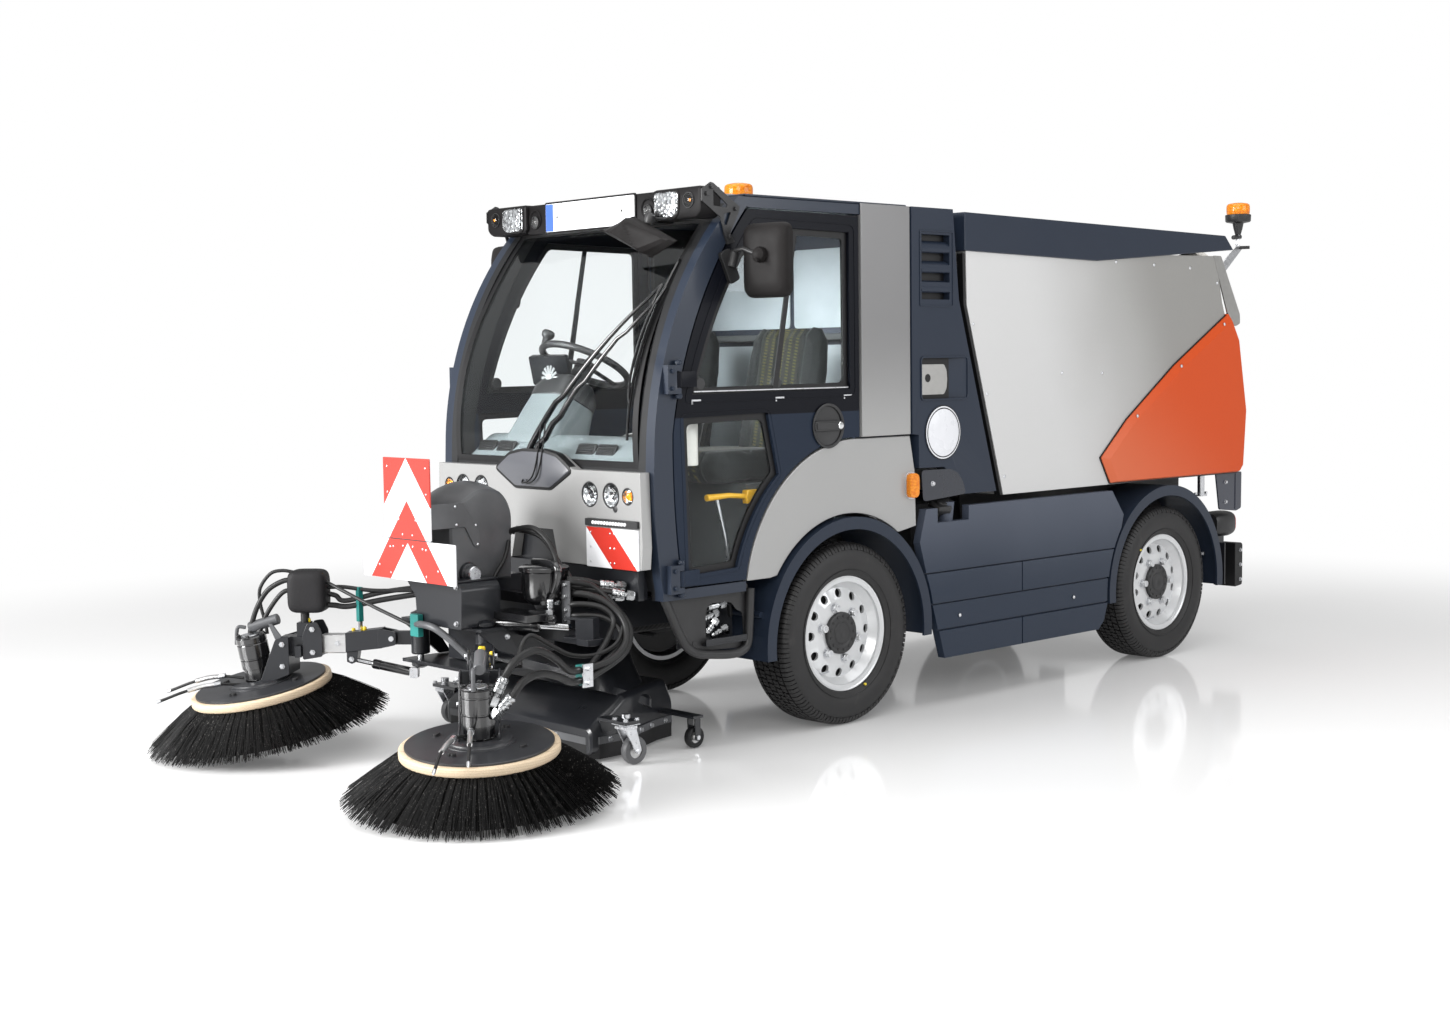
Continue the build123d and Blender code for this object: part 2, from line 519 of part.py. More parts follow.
MIRROR = (CAB_X + 143, -560, 1752)
MIRROR_SIZE = (195, 52, 262)
MIRROR_TURN = 10
ELBOW = (CAB_X + 68, -600, 1790)
ARM_R = 8
mirror_unit = Pos(*MIRROR) * Rot(0, 0, MIRROR_TURN) * Box(*MIRROR_SIZE)
mirror_unit += bar((CAB_X, *ELBOW[1:]), ELBOW, ARM_R) + bar(ELBOW, MIRROR, ARM_R)
mirror_unit += box((CAB_X, CAB_X + 8), (ELBOW[1], ELBOW[1] + 25), about(ELBOW[2], 25))
for label, turn in SIDES:
    save(label + "_door", turn(door))
    save(label + "_door_glass", Compound(children=[turn(pane) for pane in panes]))
    save(label + "_mirror", turn(mirror_unit))

# ---- inside the cab -------------------------------------------------------------------------------
CUSHION_Y = (-620, -140)
CUSHION_Z = (SEAT_BASE_Z + REST, 1075)
BACKREST = [(CUSHION_Y[1] + REST, SEAT_BASE_Z + REST), (-20, SEAT_BASE_Z + REST), (90, 1560), (0, 1560)]
cushion = box(SEAT_X, CUSHION_Y, CUSHION_Z)
backrest = side_plate(BACKREST, SEAT_X)
save("seats", both(fillet(cushion.edges(), 25), fillet(backrest.edges().filter_by(Axis.X), 20)))

COLUMN_TOP = (-280, -540, 1392)
WHEEL_TILT = 28          # degrees from the vertical
WHEEL_RING = (178, 14)   # radii of the steering wheel's ring
COLUMN_R = 10
DASH_FRONT_Y = FLOOR_FRONT_Y[1] + REST
DASH = [(DASH_FRONT_Y, 700), (-860, 640), (-800, 700), (-740, 1000), (-760, 1050), (DASH_FRONT_Y, 1020)]
column = Vector(0, math.sin(math.radians(WHEEL_TILT)), math.cos(math.radians(WHEEL_TILT)))
top = Vector(*COLUMN_TOP)
dash = side_plate(DASH, about(0, CAB_X - 87))
dash += bar((COLUMN_TOP[0], -790, 980), top - column * 90, 60)
dash += bar(top - column * 150, top - column * 30, 32)
dash += bar(top - column * 35, top + column * 5, COLUMN_R)
save("dashboard", dash)

HUB = (38, 22)           # radius, height
SPOKE = (140, 22, 9)
wheel_plane = Plane(origin=top, x_dir=(1, 0, 0), z_dir=column)
steering = wheel_plane * (Torus(*WHEEL_RING) + Cylinder(*HUB) - Cylinder(COLUMN_R + RUN, 60))
for angle in (90, 210, 330):
    steering += wheel_plane * (Rot(0, 0, angle) * Pos(104, 0, 0) * Box(*SPOKE))
save("steering_wheel", steering)

# ---- lamp bar over the windscreen, and all lamps --------------------------------------------------
BAR_X = CAB_X + 6
BAR_Y = (-745, -655)
BAR_Z = (ROOF_Z - 92, ROOF_Z + 18)
BAR_LAMP_Z = ROOF_Z - 37
HEADLAMP_X = (485, 95)                      # middle, half width
HEADLAMP_Z = (BAR_LAMP_Z - 42, BAR_LAMP_Z + 40)
WINKER = (605, 20)                          # X, radius
POCKET_DEPTH = 15
PLATE_HOLE = (110, 3, 60)                   # X, radius, depth
BRACKET = [(BAR_Y[0], BAR_LAMP_Z), (BAR_Y[0], BAR_Z[1]), (-700, BAR_Z[1] + 15), (-560, BAR_LAMP_Z - 10),
           (-600, BAR_LAMP_Z - 110), (-640, BAR_LAMP_Z - 110)]
lamp_bar = box(about(0, BAR_X), BAR_Y, BAR_Z)
lamp_bar += pair(side_plate(BRACKET, (CAB_X + REST, BAR_X)))
pocket_y = (BAR_Y[0] - JOIN, BAR_Y[0] + POCKET_DEPTH)
lamp_bar -= pair(box(about(*HEADLAMP_X), pocket_y, HEADLAMP_Z))
lamp_bar -= pair(bar((WINKER[0], pocket_y[0], BAR_LAMP_Z), (WINKER[0], pocket_y[1], BAR_LAMP_Z), WINKER[1]))
plate_hole_end = (PLATE_HOLE[0], BAR_Y[0] + PLATE_HOLE[2], BAR_LAMP_Z)
lamp_bar -= pair(bar((PLATE_HOLE[0], BAR_Y[0] - JOIN, BAR_LAMP_Z), plate_hole_end, PLATE_HOLE[1]))
save("lamp_bar", lamp_bar)

PROUD = 3                                   # how far a lens stands out of its housing
LENS_GAP = 0.5
REAR_LAMP = (about(500, 60), (BEAM_Y[1] + REST, BEAM_Y[1] + 113), (510, 634))
MARKER = ((CAB_X + REST, BODY_X), (332, 398), (845, 951))
ROOF_BEACON = (250, -200, 62, 80)           # X, Y, radius, height
lenses = []
for x, r in LAMPS:
    lenses.append(bar((x, FRONT_Y[0] - PROUD, LAMP_Z), (x, FRONT_Y[0] + LAMP_DEPTH - REST, LAMP_Z), r))
lenses.append(box(about(BOARD_X, BOARD[0] / 2 - LENS_GAP), (FRONT_Y[0] - PROUD, strip_y[1] - REST),
                  (STRIP_Z[0] + LENS_GAP, STRIP_Z[1] - LENS_GAP)))
lenses.append(box(about(HEADLAMP_X[0], HEADLAMP_X[1] - JOIN), (BAR_Y[0] - PROUD, pocket_y[1] - REST),
                  (HEADLAMP_Z[0] + JOIN, HEADLAMP_Z[1] - JOIN)))
lenses.append(bar((WINKER[0], BAR_Y[0] - PROUD, BAR_LAMP_Z), (WINKER[0], pocket_y[1] - REST, BAR_LAMP_Z),
                  WINKER[1] - LENS_GAP))
lenses += [box(*REAR_LAMP), box(*MARKER)]
beacon_z = (ROOF_Z + REST, ROOF_Z + ROOF_BEACON[3])
lamps = both(*lenses)
save("lamps", Compound(children=lamps.solids() + [post(ROOF_BEACON[:2], beacon_z, ROOF_BEACON[2])]))

TOWER_BOARD_Y = (-1576, -1570)
BOARD_T = 6
TOWER_BOARDS = ((141, (800, 1082)), (282, (655, 796)))   # half width, Z pair
front_board = box(about(BOARD_X, BOARD[0] / 2), (FRONT_Y[0] - BOARD_T, FRONT_Y[0] - REST),
                  (BOARD_Z, BOARD_Z + BOARD[1]))
boards = [front_board, right(front_board)]
boards += [box(about(0, half), TOWER_BOARD_Y, z) for half, z in TOWER_BOARDS]
save("warning_boards", Compound(children=boards))

# ---- hopper: tipping body, cover, corner panels, tail door and rear beacon -------------------------
WALL = 12
HOPPER_TOP_Z = 1830
COVER_TOP_Z = 1984
HOPPER_FRONT_Y = 712
# outside of the hopper, as (Y, Z)
HOPPER = [(HOPPER_FRONT_Y, HOPPER_TOP_Z), (HOPPER_FRONT_Y + 6, 1612), (952, HOPPER_FLOOR_Z),
          (BACK + 590, HOPPER_FLOOR_Z), (BACK + 628, 1128), (BACK + 560, 1450), (BACK + 480, 1640),
          (BACK + 420, 1860)]
HOPPER_INSIDE = [(HOPPER_FRONT_Y + WALL, 1900), (HOPPER_FRONT_Y + 6 + WALL, 1615),
                 (960, HOPPER_FLOOR_Z + WALL), (BACK + 590 - WALL, HOPPER_FLOOR_Z + WALL),
                 (BACK + 628 - WALL, 1126), (BACK + 560 - WALL, 1446), (BACK + 480 - WALL, 1636),
                 (BACK + 400, 1900)]
TAIL_OPENING = (520, (HOPPER_FLOOR_Z + 40, 1600))        # half width, Z pair
INLET_Z = 1815 - HOSE_R
INLET_R = (85, 120)
PIVOT_EAR_X = (224, 244)
TILT_EYE_R = 26
TILT_EYE_HALF_W = 18
TILT_EAR_X = (24, 34)            # inner and outer face of the ears, from the cylinder's middle
TAIL_HINGE = (BACK + 550, 1700)
TAIL_PIN_R = 8
TAIL_LUG_X = (-300, 240)
LUG_W = 30
LUG = [(-130, -10), (-90, -60), (0, -10), (0, 12), (-90, 40)]   # from the hinge

hopper = side_plate(HOPPER, about(0, HOPPER_X)) - side_plate(HOPPER_INSIDE, about(0, HOPPER_X - WALL))
hopper -= box(about(0, TAIL_OPENING[0]), (BACK + 360, BACK + 760), TAIL_OPENING[1])
hopper += bar((0, HOPPER_FRONT_Y, INLET_Z), (0, HOPPER_FRONT_Y + WALL + 2, INLET_Z), INLET_R[1])
hopper -= bar((0, HOPPER_FRONT_Y - 50, INLET_Z), (0, HOPPER_FRONT_Y + 100, INLET_Z), INLET_R[0])
lug_outline = [(TAIL_HINGE[0] + y, TAIL_HINGE[1] + z) for y, z in LUG]
for x in TAIL_LUG_X:
    hopper += side_plate(lug_outline, (x, x + LUG_W))
    hopper += shaft((x, x + LUG_W), TAIL_HINGE, 12)
    hopper += shaft((x + LUG_W / 2, x + LUG_W + 40), TAIL_HINGE, TAIL_PIN_R)
save("hopper", hopper)

pivot_ear = box(PIVOT_EAR_X, about(PIVOT[0], 40), (PIVOT[1], HOPPER_FLOOR_Z))
pivot_ear += shaft(PIVOT_EAR_X, PIVOT, PIVOT_EYE_R - 2)
pivot_ear += shaft((RAIL_X[0] - 10, PIVOT_EAR_X[1] - JOIN), PIVOT, PIVOT_R)
tilt_ears = [box([TILT_X + side * x for x in TILT_EAR_X][::side], about(TILT_EYE[0], 30),
                 (TILT_EYE[1] - 25, HOPPER_FLOOR_Z)) for side in (-1, 1)]
save("hopper_lugs", both(pivot_ear, *tilt_ears))

COVER_X = HOPPER_X + 9
COVER = [(HOPPER_FRONT_Y - 18, HOPPER_TOP_Z), (HOPPER_FRONT_Y - 18, COVER_TOP_Z),
         (BACK + 490, COVER_TOP_Z - 27), (BACK + 562, 1892), (BACK - 540, 1812)]
COVER_INSIDE = [(HOPPER_FRONT_Y - 6, HOPPER_TOP_Z - 30), (HOPPER_FRONT_Y - 6, COVER_TOP_Z - 14),
                (BACK + 482, COVER_TOP_Z - 40), (BACK + 550, 1885), (BACK + 520, 1700)]
cover = side_plate(COVER, about(0, COVER_X))
save("hopper_cover", cover - side_plate(COVER_INSIDE, about(0, HOPPER_X + REST)))

# rear edge that the corner panels and the tail door share
TAIL_EDGE = [(BACK + 648, 863), (BACK + 672, 1128), (BACK + 603, 1465), (BACK + 521, 1589)]
CORNER = [(BACK - 504, 951), (BACK - 434, 837), (BACK + 616, 832), *TAIL_EDGE, (BACK + 69, 1351),
          (BACK - 307, 1113)]
CORNER_BACK = [(BACK + 595, 832), (BACK + 616, 832), *TAIL_EDGE, (BACK + 500, 1589), (BACK + 565, 1460),
               (BACK + 633, 1128)]
CORNER_IN_X = 540
corner = side_plate(CORNER_BACK, (CORNER_IN_X, BODY_X))
corner -= box((CORNER_IN_X - JOIN, HOPPER_X + REST), (BACK + 460, BACK + 632), (800, 1700))
corner += side_plate(CORNER, (HOPPER_X + REST, BODY_X))
save("corner_panels", both(corner))

TAIL_X = 528
TAIL = [(BACK + 602, 845), (BACK + 650, 860), (BACK + 672, 1128), (BACK + 605, 1460), (BACK + 550, 1590),
        (BACK + 550, 1665), (BACK + 515, 1665), (BACK + 515, 1590), (BACK + 576, 1450), (BACK + 638, 1128),
        (BACK + 618, 870), (BACK + 602, 870)]
STRAP_W = 26
STRAP_R = 16
tailgate = side_plate(TAIL, about(0, TAIL_X))
for x in TAIL_LUG_X:
    strap_x = (x + LUG_W + 2, x + LUG_W + 2 + STRAP_W)
    tailgate += box(strap_x, (TAIL_HINGE[0] - 22, TAIL_HINGE[0] + 10), (TAIL_HINGE[1] - 50, TAIL_HINGE[1]))
    tailgate += shaft(strap_x, TAIL_HINGE, STRAP_R)
    tailgate -= shaft((strap_x[0] - JOIN, strap_x[1] + JOIN), TAIL_HINGE, TAIL_PIN_R + RUN)
save("hopper_door", tailgate)

BEACON = (550, BACK + 725)
BEACON_R = 60
BEACON_Z = (2050, 2130)
BEACON_POLE = (10, 1940)                    # radius, foot
BEACON_ARM_X = (540, 560)
BEACON_ARM_Z = (1925, 1941)
behind_cover = BACK + 562 + REST
beacon = post(BEACON, BEACON_Z, BEACON_R)
beacon += post(BEACON, (BEACON_POLE[1], BEACON_Z[0] + JOIN), BEACON_POLE[0])
beacon += box(BEACON_ARM_X, (behind_cover, BEACON[1] + 10), BEACON_ARM_Z)
beacon += box(BEACON_ARM_X, (behind_cover, behind_cover + 10), (1862, BEACON_ARM_Z[1]))
save("hopper_beacon", beacon)

# ---- tilt cylinders ------------------------------------------------------------------------------
BARREL_R = 34
ROD_R = 20
BARREL_END = 60          # barrel stops short of the rod's eye by this much
BARREL_FLOOR = 120       # solid length at the foot
FOOT_R = 30
stroke_dir = Vector(0, TILT_EYE[0] - TILT_BASE[0], TILT_EYE[1] - TILT_BASE[1]).normalized()
closed = math.dist(TILT_BASE, TILT_EYE)
base = Vector(TILT_X, *TILT_BASE)
barrel = bar(base, base + stroke_dir * (closed - BARREL_END), BARREL_R)
barrel += shaft(about(TILT_X, TILT_FOOT_W), TILT_BASE, FOOT_R)
barrel -= shaft(about(TILT_X, BARREL_R + JOIN), TILT_BASE, TILT_PIN_R + RUN)
barrel -= bar(base + stroke_dir * BARREL_FLOOR, base + stroke_dir * closed, ROD_R + RUN)
rod = bar(base + stroke_dir * (BARREL_FLOOR + 10), Vector(TILT_X, *TILT_EYE), ROD_R)
rod += shaft(about(TILT_X, TILT_EYE_HALF_W), TILT_EYE, TILT_EYE_R)
save("tilt_cylinders", both(barrel))
save("tilt_rods", both(rod))

# ---- front tool carrier, brush arms and brushes ----------------------------------------------------
CARRIER_PLATES_Z = ((330, 350), (480, 500))
CARRIER_X = 245
CARRIER_Y = (-1450, -1160)
SWING = (200, -1400)                        # brush arm's upright pin (X, Y)
SWING_PIN_R = 12
ARM_Z = 415
LIFT_X = 100                                # level pin of the arm, from the upright pin
LIFT_PIN_R = 10
tower = box(about(0, 120), (-1500, -1200), (CARRIER_PLATES_Z[1][1] - JOIN, 950))
tower += box(about(0, 200), (CARRIER_Y[0], -1200), (CARRIER_PLATES_Z[1][1] - JOIN, 650))
tower += box(about(0, 50), (TOWER_BOARD_Y[1] + REST, -1495), (680, 930))
for z in CARRIER_PLATES_Z:
    tower += box(about(0, CARRIER_X), CARRIER_Y, z)
tower += box(about(0, 110), (-1330, CARRIER_Y[1]), (CARRIER_PLATES_Z[0][1] - 5, CARRIER_PLATES_Z[1][0] + 5))
tower += box(about(0, 100), (CARRIER_Y[1] - 5, CROSS_Y[0] - REST), (RAIL_Z[0] + 5, 480))
pin_z = about(ARM_Z, 75)
save("tool_tower", tower + pair(post(SWING, pin_z, SWING_PIN_R)))

DISC_R = 255
TIP_R = 445
BRISTLE = 150            # height of the bristle cone
RING_HALF_T = 15
BORE_R = 14
TIP_CLEAR = 3            # bristles above the ground
MOTOR = (55, 30, 205)    # radius, lower and upper end along the brush's axis
EAR_Y = (19, 31)         # forks of the arm at its level pin
EYE_R = 25
BRACKET_HALF = 14
# side, mirror sign, brush centre (X, Y), lean of the brush's axis along X and Y
BRUSHES = (("left", 1, (690, -1785), (0.068, -0.073)), ("right", -1, (-640, -1800), (-0.029, -0.184)))
BRUSH_PROFILE = [
    (BORE_R + RUN, RING_HALF_T - 3), (BORE_R + RUN, RING_HALF_T + 11), (40, RING_HALF_T + 11),
    (40, RING_HALF_T + 5), (232, RING_HALF_T + 5), (232, RING_HALF_T), (DISC_R, RING_HALF_T),
    (DISC_R, -RING_HALF_T), (TIP_R, -BRISTLE),
    (TIP_R - 70, -BRISTLE), (195, -RING_HALF_T), (195, 5), (BORE_R + RUN, 5)]
for label, sign, (hub_x, hub_y), (lean_x, lean_y) in BRUSHES:
    origin = Vector(sign * SWING[0], SWING[1], 0)
    reach = Vector(hub_x, hub_y, 0) - origin
    arm_plane = Plane(origin=origin, x_dir=reach, z_dir=(0, 0, 1))
    level_pin = ((LIFT_X, -EAR_Y[1], ARM_Z), (LIFT_X, EAR_Y[1], ARM_Z))
    bracket = post((0, 0), about(ARM_Z, 60), 34)
    bracket += box((10, LIFT_X), about(0, BRACKET_HALF), about(ARM_Z, 25))
    bracket += bar((LIFT_X, -BRACKET_HALF, ARM_Z), (LIFT_X, BRACKET_HALF, ARM_Z), EYE_R)
    bracket -= post((0, 0), about(ARM_Z, 100), SWING_PIN_R + RUN)
    bracket -= bar(*level_pin, LIFT_PIN_R + RUN)
    save(label + "_arm_bracket", arm_plane * bracket)

    lean = Vector(lean_x, lean_y, 1).normalized()
    slope = math.acos(lean.Z)
    hub = Vector(hub_x, hub_y, BRISTLE * math.cos(slope) + TIP_R * math.sin(slope) + TIP_CLEAR)
    arm = box((135, reach.length - 60), about(0, 30), about(ARM_Z, 37))
    arm += box((reach.length - 62, reach.length + 45), about(0, 45), (ARM_Z - 20, ARM_Z + 5))
    for y in (EAR_Y, (-EAR_Y[1], -EAR_Y[0])):
        arm += box((LIFT_X, 140), y, about(ARM_Z, 25))
        arm += bar((LIFT_X, y[0], ARM_Z), (LIFT_X, y[1], ARM_Z), EYE_R)
    arm += bar(*level_pin, LIFT_PIN_R)
    arm = arm_plane * arm
    arm += bar(hub + lean * MOTOR[1], hub + lean * MOTOR[2], MOTOR[0])
    arm += bar(hub + lean * (RING_HALF_T - 3), hub + lean * (MOTOR[1] + JOIN), BORE_R)
    save(label + "_brush_arm", arm)

    face = make_face(Polyline(*[(r, 0, z) for r, z in BRUSH_PROFILE], close=True))
    save(label + "_brush", Plane(origin=hub, z_dir=lean) * revolve(face, Axis.Z, 360))

# ---- suction mouth, hose and casters ---------------------------------------------------------------
MOUTH_X = 440
MOUTH_T = 20             # side walls
MOUTH_LOW_Z = 12
HOSE_Y = -760
NECK_Z = (220, 280)
NECK_WALL = 12
MOUTH = [(-1130, MOUTH_LOW_Z), (-1130, 120), (-960, 230), (-680, 230), (-640, 150), (-640, MOUTH_LOW_Z)]
MOUTH_INSIDE = [(-1110, 0), (-1110, 112), (-950, 215), (-690, 215), (-660, 145), (-660, 0)]
CASTER = (545, -1060)    # swivel pin (X, Y)
CASTER_PIN_R = 9
CASTER_R = 50
CASTER_HALF_W = 16
CASTER_TRAIL = 34
CASTER_TOP_Z = (150, 162)
CASTER_AXLE_Z = CASTER_R + 1
CASTER_AXLE_R = 6
ROLLER = (500, -700)     # small rear wheel (X, Y)
ROLLER_R = 40
ROLLER_HALF_W = 14
ROLLER_AXLE_Z = ROLLER_R + 2
HANGER = (190, -780, 14) # X, Y, radius of the mouth's hangers

mouth = side_plate(MOUTH, about(0, MOUTH_X)) - side_plate(MOUTH_INSIDE, about(0, MOUTH_X - MOUTH_T))
mouth += post((0, HOSE_Y), NECK_Z, HOSE_R)
mouth -= post((0, HOSE_Y), (NECK_Z[0] - 80, NECK_Z[1] + JOIN), HOSE_R - NECK_WALL)
wing = box((MOUTH_X - 5, CASTER[0] + 35), about(CASTER[1], 35), CASTER_TOP_Z)
wing -= post(CASTER, (CASTER_TOP_Z[0] - JOIN, CASTER_TOP_Z[1] + JOIN), CASTER_PIN_R + RUN)
wing += box((MOUTH_X - 5, ROLLER[0] + 25), about(ROLLER[1], 25), (112, 122))
for x in (ROLLER[0] - 22, ROLLER[0] + 16):
    wing += box((x, x + 6), about(ROLLER[1], 14), (ROLLER_AXLE_Z - 14, 113))
wing += shaft(about(ROLLER[0], 20), (ROLLER[1], ROLLER_AXLE_Z), CASTER_AXLE_R)
wing += post(HANGER[:2], (MOUTH[2][1] - 2, RAIL_Z[0] - REST), HANGER[2])
save("suction_mouth", mouth + pair(wing))

HOSE_RISE_Y = 500
HOSE_BENDS = (130, 150, 150)
hose_start = (0, HOSE_Y, NECK_Z[1] + 1)
hose_path = FilletPolyline(hose_start, (0, HOSE_Y, HOSE_LEVEL_Z), (0, HOSE_RISE_Y, HOSE_LEVEL_Z),
                           (0, HOSE_RISE_Y, INLET_Z), (0, HOPPER_FRONT_Y - REST, INLET_Z),
                           radius=HOSE_BENDS)
save("suction_hose", sweep(Plane(origin=hose_start, z_dir=(0, 0, 1)) * Circle(HOSE_R), path=hose_path))

x, y = CASTER
axle_y = y + CASTER_TRAIL
fork = box(about(x, 28), about(y, 28), (CASTER_TOP_Z[0] - 18, CASTER_TOP_Z[0] - 8))
fork += post(CASTER, (CASTER_TOP_Z[0] - 17, CASTER_TOP_Z[1] + 17), CASTER_PIN_R)
fork += post(CASTER, (CASTER_TOP_Z[1] + 7, CASTER_TOP_Z[1] + 21), 16)
for inner_x in (x - 26, x + 20):
    fork += side_plate([(y - 25, 134), (y + 25, 134), (axle_y + 14, CASTER_AXLE_Z), (axle_y, 38),
                        (axle_y - 14, CASTER_AXLE_Z)], (inner_x, inner_x + 6))
fork += shaft(about(x, 24), (axle_y, CASTER_AXLE_Z), CASTER_AXLE_R)
caster_wheel = tube((axle_y, CASTER_AXLE_Z), CASTER_R, CASTER_AXLE_R + RUN, about(x, CASTER_HALF_W))
roller = tube((ROLLER[1], ROLLER_AXLE_Z), ROLLER_R, CASTER_AXLE_R + RUN, about(ROLLER[0], ROLLER_HALF_W))
for label, turn in SIDES:
    save(label + "_caster_fork", turn(fork))
    save(label + "_caster_wheel", turn(caster_wheel))
    save(label + "_roller", turn(roller))
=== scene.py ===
"""Street sweeper truck, finished for the studio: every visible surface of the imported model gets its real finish,
and the trim that the model leaves out is added piece by piece, in metres, in the model's own frame."""
import json
import math
import bpy
import numpy as np
from mathutils import Matrix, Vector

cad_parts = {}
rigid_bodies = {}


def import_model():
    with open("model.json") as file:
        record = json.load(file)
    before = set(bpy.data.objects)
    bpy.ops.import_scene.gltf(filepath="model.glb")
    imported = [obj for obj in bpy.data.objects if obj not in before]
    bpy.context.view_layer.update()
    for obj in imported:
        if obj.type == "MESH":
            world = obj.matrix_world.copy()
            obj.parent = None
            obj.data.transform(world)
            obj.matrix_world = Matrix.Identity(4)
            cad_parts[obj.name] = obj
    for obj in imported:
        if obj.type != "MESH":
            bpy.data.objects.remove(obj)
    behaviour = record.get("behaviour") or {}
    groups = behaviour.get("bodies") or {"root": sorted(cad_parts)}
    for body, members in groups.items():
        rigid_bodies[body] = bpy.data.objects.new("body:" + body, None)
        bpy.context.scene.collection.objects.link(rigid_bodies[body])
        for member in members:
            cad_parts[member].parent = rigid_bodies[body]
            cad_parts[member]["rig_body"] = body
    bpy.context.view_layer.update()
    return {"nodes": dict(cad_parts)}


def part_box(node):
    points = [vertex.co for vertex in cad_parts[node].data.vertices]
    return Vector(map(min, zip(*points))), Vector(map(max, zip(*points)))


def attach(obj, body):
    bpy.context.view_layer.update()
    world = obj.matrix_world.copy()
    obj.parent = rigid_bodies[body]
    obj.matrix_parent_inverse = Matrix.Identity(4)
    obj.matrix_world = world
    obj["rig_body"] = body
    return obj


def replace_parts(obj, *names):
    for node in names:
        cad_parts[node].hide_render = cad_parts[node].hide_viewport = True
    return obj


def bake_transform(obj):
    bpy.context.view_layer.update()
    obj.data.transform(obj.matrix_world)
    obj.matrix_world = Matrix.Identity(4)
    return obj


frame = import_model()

# ---- camera -------------------------------------------------------------------------------------
# A tripod camera at chest height, off the vehicle's front left corner, with a slightly long lens.
PICTURE = (1450, 1022)
FOCAL_PX = 1848.9
front_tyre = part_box("front_left_tyre")
axle_y = (front_tyre[0].y + front_tyre[1].y) / 2
STAND = (5.4085, axle_y - 5.1587, 1.4087)
YAW, PITCH, ROLL = 46.682, 4.7025, -0.7841

camera_data = bpy.data.cameras.new("studio_camera")
camera = bpy.data.objects.new("studio_camera", camera_data)
bpy.context.scene.collection.objects.link(camera)
bpy.context.scene.camera = camera
camera_data.sensor_width = 36
camera_data.lens = FOCAL_PX / PICTURE[0] * camera_data.sensor_width
camera_data.clip_end = 200


def turn(axis, degrees):
    """3 x 3 rotation about a main axis: cosines on the plane's diagonal and sines off it."""
    c, s = math.cos(math.radians(degrees)), math.sin(math.radians(degrees))
    i, j = [(1, 2), (2, 0), (0, 1)][axis]
    matrix = np.eye(3)
    matrix[i, i], matrix[i, j], matrix[j, i], matrix[j, j] = c, -s, s, c
    return matrix


aim = turn(2, YAW) @ turn(0, 90 - PITCH) @ turn(2, ROLL)
pose = np.eye(4)
pose[:3, :3] = aim
pose[:3, 3] = STAND
camera.matrix_world = Matrix(pose.tolist())

# ---- studio floor, world and lamps -----------------------------------------------------------------
# A white sweep lit by large soft boxes. The floor has a faint polish, and fades to plain white far away.
bpy.context.scene.view_settings.view_transform = "Standard"


class Signal:
    """A shader socket that takes part in Python sums: each expression adds the Math node that works it out."""

    def __init__(self, finish, socket):
        self.finish, self.socket = finish, socket

    def maths(self, operation, *others):
        return self.finish.add("Math", {"operation": operation}, dict(enumerate((self,) + others)))

    def swapped(self, operation, other):
        return self.finish.add("Math", {"operation": operation}, {0: other, 1: self})

    def __add__(self, other):
        return self.maths("ADD", other)

    def __sub__(self, other):
        return self.maths("SUBTRACT", other)

    def __rsub__(self, other):
        return self.swapped("SUBTRACT", other)

    def __mul__(self, other):
        return self.maths("MULTIPLY", other)

    def __truediv__(self, other):
        return self.maths("DIVIDE", other)

    def __gt__(self, other):
        return self.maths("GREATER_THAN", other)

    def __lt__(self, other):
        return self.maths("LESS_THAN", other)

    __radd__ = __add__
    __rmul__ = __mul__

    def step(self, low, high):
        """0 below low, 1 above high and smooth between."""
        settings = {"interpolation_type": "SMOOTHSTEP"}
        return self.finish.add("MapRange", settings, {0: self, 1: low, 2: high, 3: 0.0, 4: 1.0})


